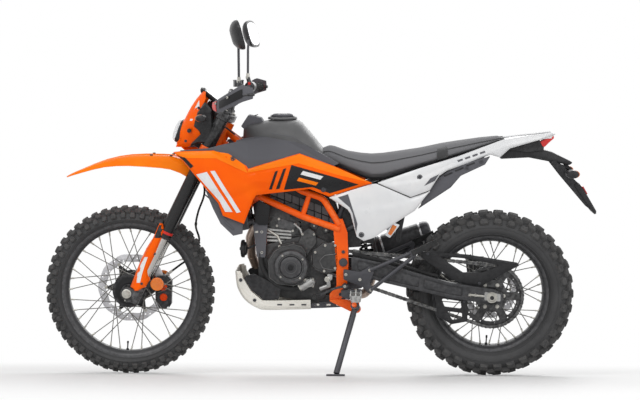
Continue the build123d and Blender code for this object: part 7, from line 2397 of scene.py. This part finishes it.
# ---------------------------------------------------------------------------------------------
# Add-on
# ---------------------------------------------------------------------------------------------
class MotorcycleSettings(bpy.types.PropertyGroup):
    """Sizes, colours and light; the operators read the sizes and the light"""
    front_knobs: bpy.props.IntProperty(name="Front knobs", description="Tread blocks in each row of the front tyre",
                                       default=50, min=20, max=90)
    rear_knobs: bpy.props.IntProperty(name="Rear knobs", description="Tread blocks in each row of the rear tyre",
                                      default=34, min=16, max=70)
    front_knob_height: bpy.props.FloatProperty(name="Front knob height", description="In millimetres", default=10,
                                               min=3, max=14)
    rear_knob_height: bpy.props.FloatProperty(name="Rear knob height", description="In millimetres", default=13,
                                              min=3, max=16)
    spoke_radius: bpy.props.FloatProperty(name="Spoke radius", description="In millimetres", default=1.9, min=1,
                                          max=3)
    orange: bpy.props.FloatVectorProperty(name="Orange", description="Colour of the orange panels", subtype="COLOR",
                                          size=4, default=paint(252, 104, 2), min=0, max=1)
    white: bpy.props.FloatVectorProperty(name="White", description="Colour of the white panels", subtype="COLOR",
                                         size=4, default=paint(226, 226, 226), min=0, max=1)
    plastic: bpy.props.FloatVectorProperty(name="Dark plastic", description="Colour of the unpainted plastic",
                                           subtype="COLOR", size=4, default=paint(62, 62, 64), min=0, max=1)
    sky_light: bpy.props.FloatProperty(name="Soft light", description="Strength of the light from all round",
                                       default=0.62, min=0, max=3)
    lamp_light: bpy.props.FloatProperty(name="Lamps", description="Strength of the studio lamps", default=1.0, min=0,
                                        max=5)
    floor_tone: bpy.props.FloatProperty(name="Floor", description="Lightness of the studio floor", default=0.8,
                                        min=0, max=1, subtype="FACTOR")


def settings_of(context):
    return context.scene.motorcycle


class MOTORCYCLE_OT_tyres(bpy.types.Operator):
    """Builds both knobbly tyres"""
    bl_idname = "motorcycle.tyres"
    bl_label = "Tyres"

    def execute(self, context):
        settings = settings_of(context)
        build_tyres(settings)
        return {"FINISHED"}


class MOTORCYCLE_OT_rims(bpy.types.Operator):
    """Builds rims, spokes and hubs"""
    bl_idname = "motorcycle.rims"
    bl_label = "Wheels"

    def execute(self, context):
        settings = settings_of(context)
        build_rims(settings)
        return {"FINISHED"}


class MOTORCYCLE_OT_discs(bpy.types.Operator):
    """Builds both brake discs"""
    bl_idname = "motorcycle.discs"
    bl_label = "Brake discs"

    def execute(self, context):
        build_discs()
        return {"FINISHED"}


class MOTORCYCLE_OT_chain(bpy.types.Operator):
    """Builds the chain and the toothed sprocket"""
    bl_idname = "motorcycle.chain"
    bl_label = "Chain"

    def execute(self, context):
        build_chain()
        build_sprocket()
        return {"FINISHED"}


class MOTORCYCLE_OT_shrouds(bpy.types.Operator):
    """Builds the faceted shrouds beside the tank"""
    bl_idname = "motorcycle.shrouds"
    bl_label = "Tank shrouds"

    def execute(self, context):
        build_shrouds()
        return {"FINISHED"}


class MOTORCYCLE_OT_panels(bpy.types.Operator):
    """Builds the side panels, the tail cowl and the grab covers"""
    bl_idname = "motorcycle.panels"
    bl_label = "Side panels"

    def execute(self, context):
        build_side_panels()
        build_cowl()
        build_grab_covers()
        return {"FINISHED"}


class MOTORCYCLE_OT_tank(bpy.types.Operator):
    """Builds the tank and its lid"""
    bl_idname = "motorcycle.tank"
    bl_label = "Tank"

    def execute(self, context):
        build_tank()
        build_cap()
        return {"FINISHED"}


class MOTORCYCLE_OT_mask(bpy.types.Operator):
    """Builds the headlight with its mask"""
    bl_idname = "motorcycle.mask"
    bl_label = "Mask"

    def execute(self, context):
        build_mask()
        build_headlight()
        return {"FINISHED"}


class MOTORCYCLE_OT_fender(bpy.types.Operator):
    """Builds the front fender"""
    bl_idname = "motorcycle.fender"
    bl_label = "Front fender"

    def execute(self, context):
        build_fender()
        return {"FINISHED"}


class MOTORCYCLE_OT_seat(bpy.types.Operator):
    """Builds the padded seat"""
    bl_idname = "motorcycle.seat"
    bl_label = "Seat"

    def execute(self, context):
        build_seat()
        return {"FINISHED"}


class MOTORCYCLE_OT_tail(bpy.types.Operator):
    """Builds the tail lamp and the number plate bracket"""
    bl_idname = "motorcycle.tail"
    bl_label = "Tail"

    def execute(self, context):
        build_tail()
        return {"FINISHED"}


class MOTORCYCLE_OT_fork(bpy.types.Operator):
    """Builds the fork, its axle and its guards"""
    bl_idname = "motorcycle.fork"
    bl_label = "Fork"

    def execute(self, context):
        build_fork()
        build_front_axle()
        build_fork_guards()
        build_front_caliper()
        build_brake_hose()
        return {"FINISHED"}


class MOTORCYCLE_OT_handlebar(bpy.types.Operator):
    """Builds the handlebar with its controls, guards and mirrors"""
    bl_idname = "motorcycle.handlebar"
    bl_label = "Handlebar"

    def execute(self, context):
        build_handlebar()
        build_controls()
        build_hand_guards()
        build_mirrors()
        return {"FINISHED"}


class MOTORCYCLE_OT_dash(bpy.types.Operator):
    """Builds the dash and the front indicators"""
    bl_idname = "motorcycle.dash"
    bl_label = "Dash"

    def execute(self, context):
        build_dash()
        return {"FINISHED"}


class MOTORCYCLE_OT_engine(bpy.types.Operator):
    """Builds the engine block and its covers"""
    bl_idname = "motorcycle.engine"
    bl_label = "Engine"

    def execute(self, context):
        build_engine()
        build_engine_covers()
        return {"FINISHED"}


class MOTORCYCLE_OT_cooling(bpy.types.Operator):
    """Builds the radiator with its guards"""
    bl_idname = "motorcycle.cooling"
    bl_label = "Cooling"

    def execute(self, context):
        build_cooling()
        return {"FINISHED"}


class MOTORCYCLE_OT_exhaust(bpy.types.Operator):
    """Builds the header pipe and the muffler"""
    bl_idname = "motorcycle.exhaust"
    bl_label = "Exhaust"

    def execute(self, context):
        build_exhaust()
        return {"FINISHED"}


class MOTORCYCLE_OT_underside(bpy.types.Operator):
    """Builds the skid plate"""
    bl_idname = "motorcycle.underside"
    bl_label = "Skid plate"

    def execute(self, context):
        build_skid_plate()
        return {"FINISHED"}


class MOTORCYCLE_OT_middle(bpy.types.Operator):
    """Builds the airbox and the rear shock"""
    bl_idname = "motorcycle.middle"
    bl_label = "Airbox and shock"

    def execute(self, context):
        build_airbox()
        build_shock()
        return {"FINISHED"}


class MOTORCYCLE_OT_swingarm(bpy.types.Operator):
    """Builds the swingarm, the rear axle and the chain guards"""
    bl_idname = "motorcycle.swingarm"
    bl_label = "Swingarm"

    def execute(self, context):
        build_swingarm()
        build_rear_axle()
        build_chain_guards()
        return {"FINISHED"}


class MOTORCYCLE_OT_clamps(bpy.types.Operator):
    """Builds the fork clamps"""
    bl_idname = "motorcycle.clamps"
    bl_label = "Steering clamps"

    def execute(self, context):
        build_clamps()
        return {"FINISHED"}


class MOTORCYCLE_OT_feet(bpy.types.Operator):
    """Builds the pegs, the foot levers, the side stand and the rear caliper"""
    bl_idname = "motorcycle.feet"
    bl_label = "Pegs and stand"

    def execute(self, context):
        build_pegs()
        build_foot_levers()
        build_stand()
        build_rear_caliper()
        return {"FINISHED"}


class MOTORCYCLE_OT_chassis_fit(bpy.types.Operator):
    """Paints the frame and adds its bolts, horn and reflectors"""
    bl_idname = "motorcycle.chassis_fit"
    bl_label = "Frame and fittings"

    def execute(self, context):
        repaint("main_frame", "orange_frame")
        repaint("subframe", "black_steel")
        build_fittings()
        return {"FINISHED"}


class MOTORCYCLE_OT_studio(bpy.types.Operator):
    """Builds the floor, the light and the camera"""
    bl_idname = "motorcycle.studio"
    bl_label = "Studio"

    def execute(self, context):
        settings = settings_of(context)
        build_stage(settings)
        return {"FINISHED"}


OPERATORS = (
    MOTORCYCLE_OT_tyres, MOTORCYCLE_OT_rims, MOTORCYCLE_OT_discs, MOTORCYCLE_OT_chain, MOTORCYCLE_OT_shrouds,
    MOTORCYCLE_OT_panels, MOTORCYCLE_OT_tank, MOTORCYCLE_OT_mask, MOTORCYCLE_OT_fender, MOTORCYCLE_OT_seat,
    MOTORCYCLE_OT_tail, MOTORCYCLE_OT_fork, MOTORCYCLE_OT_handlebar, MOTORCYCLE_OT_dash, MOTORCYCLE_OT_engine,
    MOTORCYCLE_OT_cooling, MOTORCYCLE_OT_exhaust, MOTORCYCLE_OT_underside, MOTORCYCLE_OT_middle,
    MOTORCYCLE_OT_swingarm, MOTORCYCLE_OT_clamps, MOTORCYCLE_OT_feet, MOTORCYCLE_OT_chassis_fit,
    MOTORCYCLE_OT_studio,
)


class MOTORCYCLE_PT_panel(bpy.types.Panel):
    """Lists the pieces and their settings"""
    bl_label = "Motorcycle"
    bl_idname = "MOTORCYCLE_PT_panel"
    bl_space_type = "VIEW_3D"
    bl_region_type = "UI"
    bl_category = "Motorcycle"

    def draw(self, context):
        for name in MotorcycleSettings.__annotations__:
            self.layout.prop(settings_of(context), name)
        for each in OPERATORS:
            self.layout.operator(each.bl_idname, text=each.bl_label)


CLASSES = (MotorcycleSettings, *OPERATORS, MOTORCYCLE_PT_panel)


def register():
    for each in CLASSES:
        bpy.utils.register_class(each)
    bpy.types.Scene.motorcycle = bpy.props.PointerProperty(type=MotorcycleSettings)


def unregister():
    del bpy.types.Scene.motorcycle
    for each in reversed(CLASSES):
        bpy.utils.unregister_class(each)


def main():
    register()
    for each in OPERATORS:
        getattr(bpy.ops.motorcycle, each.bl_idname.split(".")[1])()


if __name__ == "__main__":
    main()
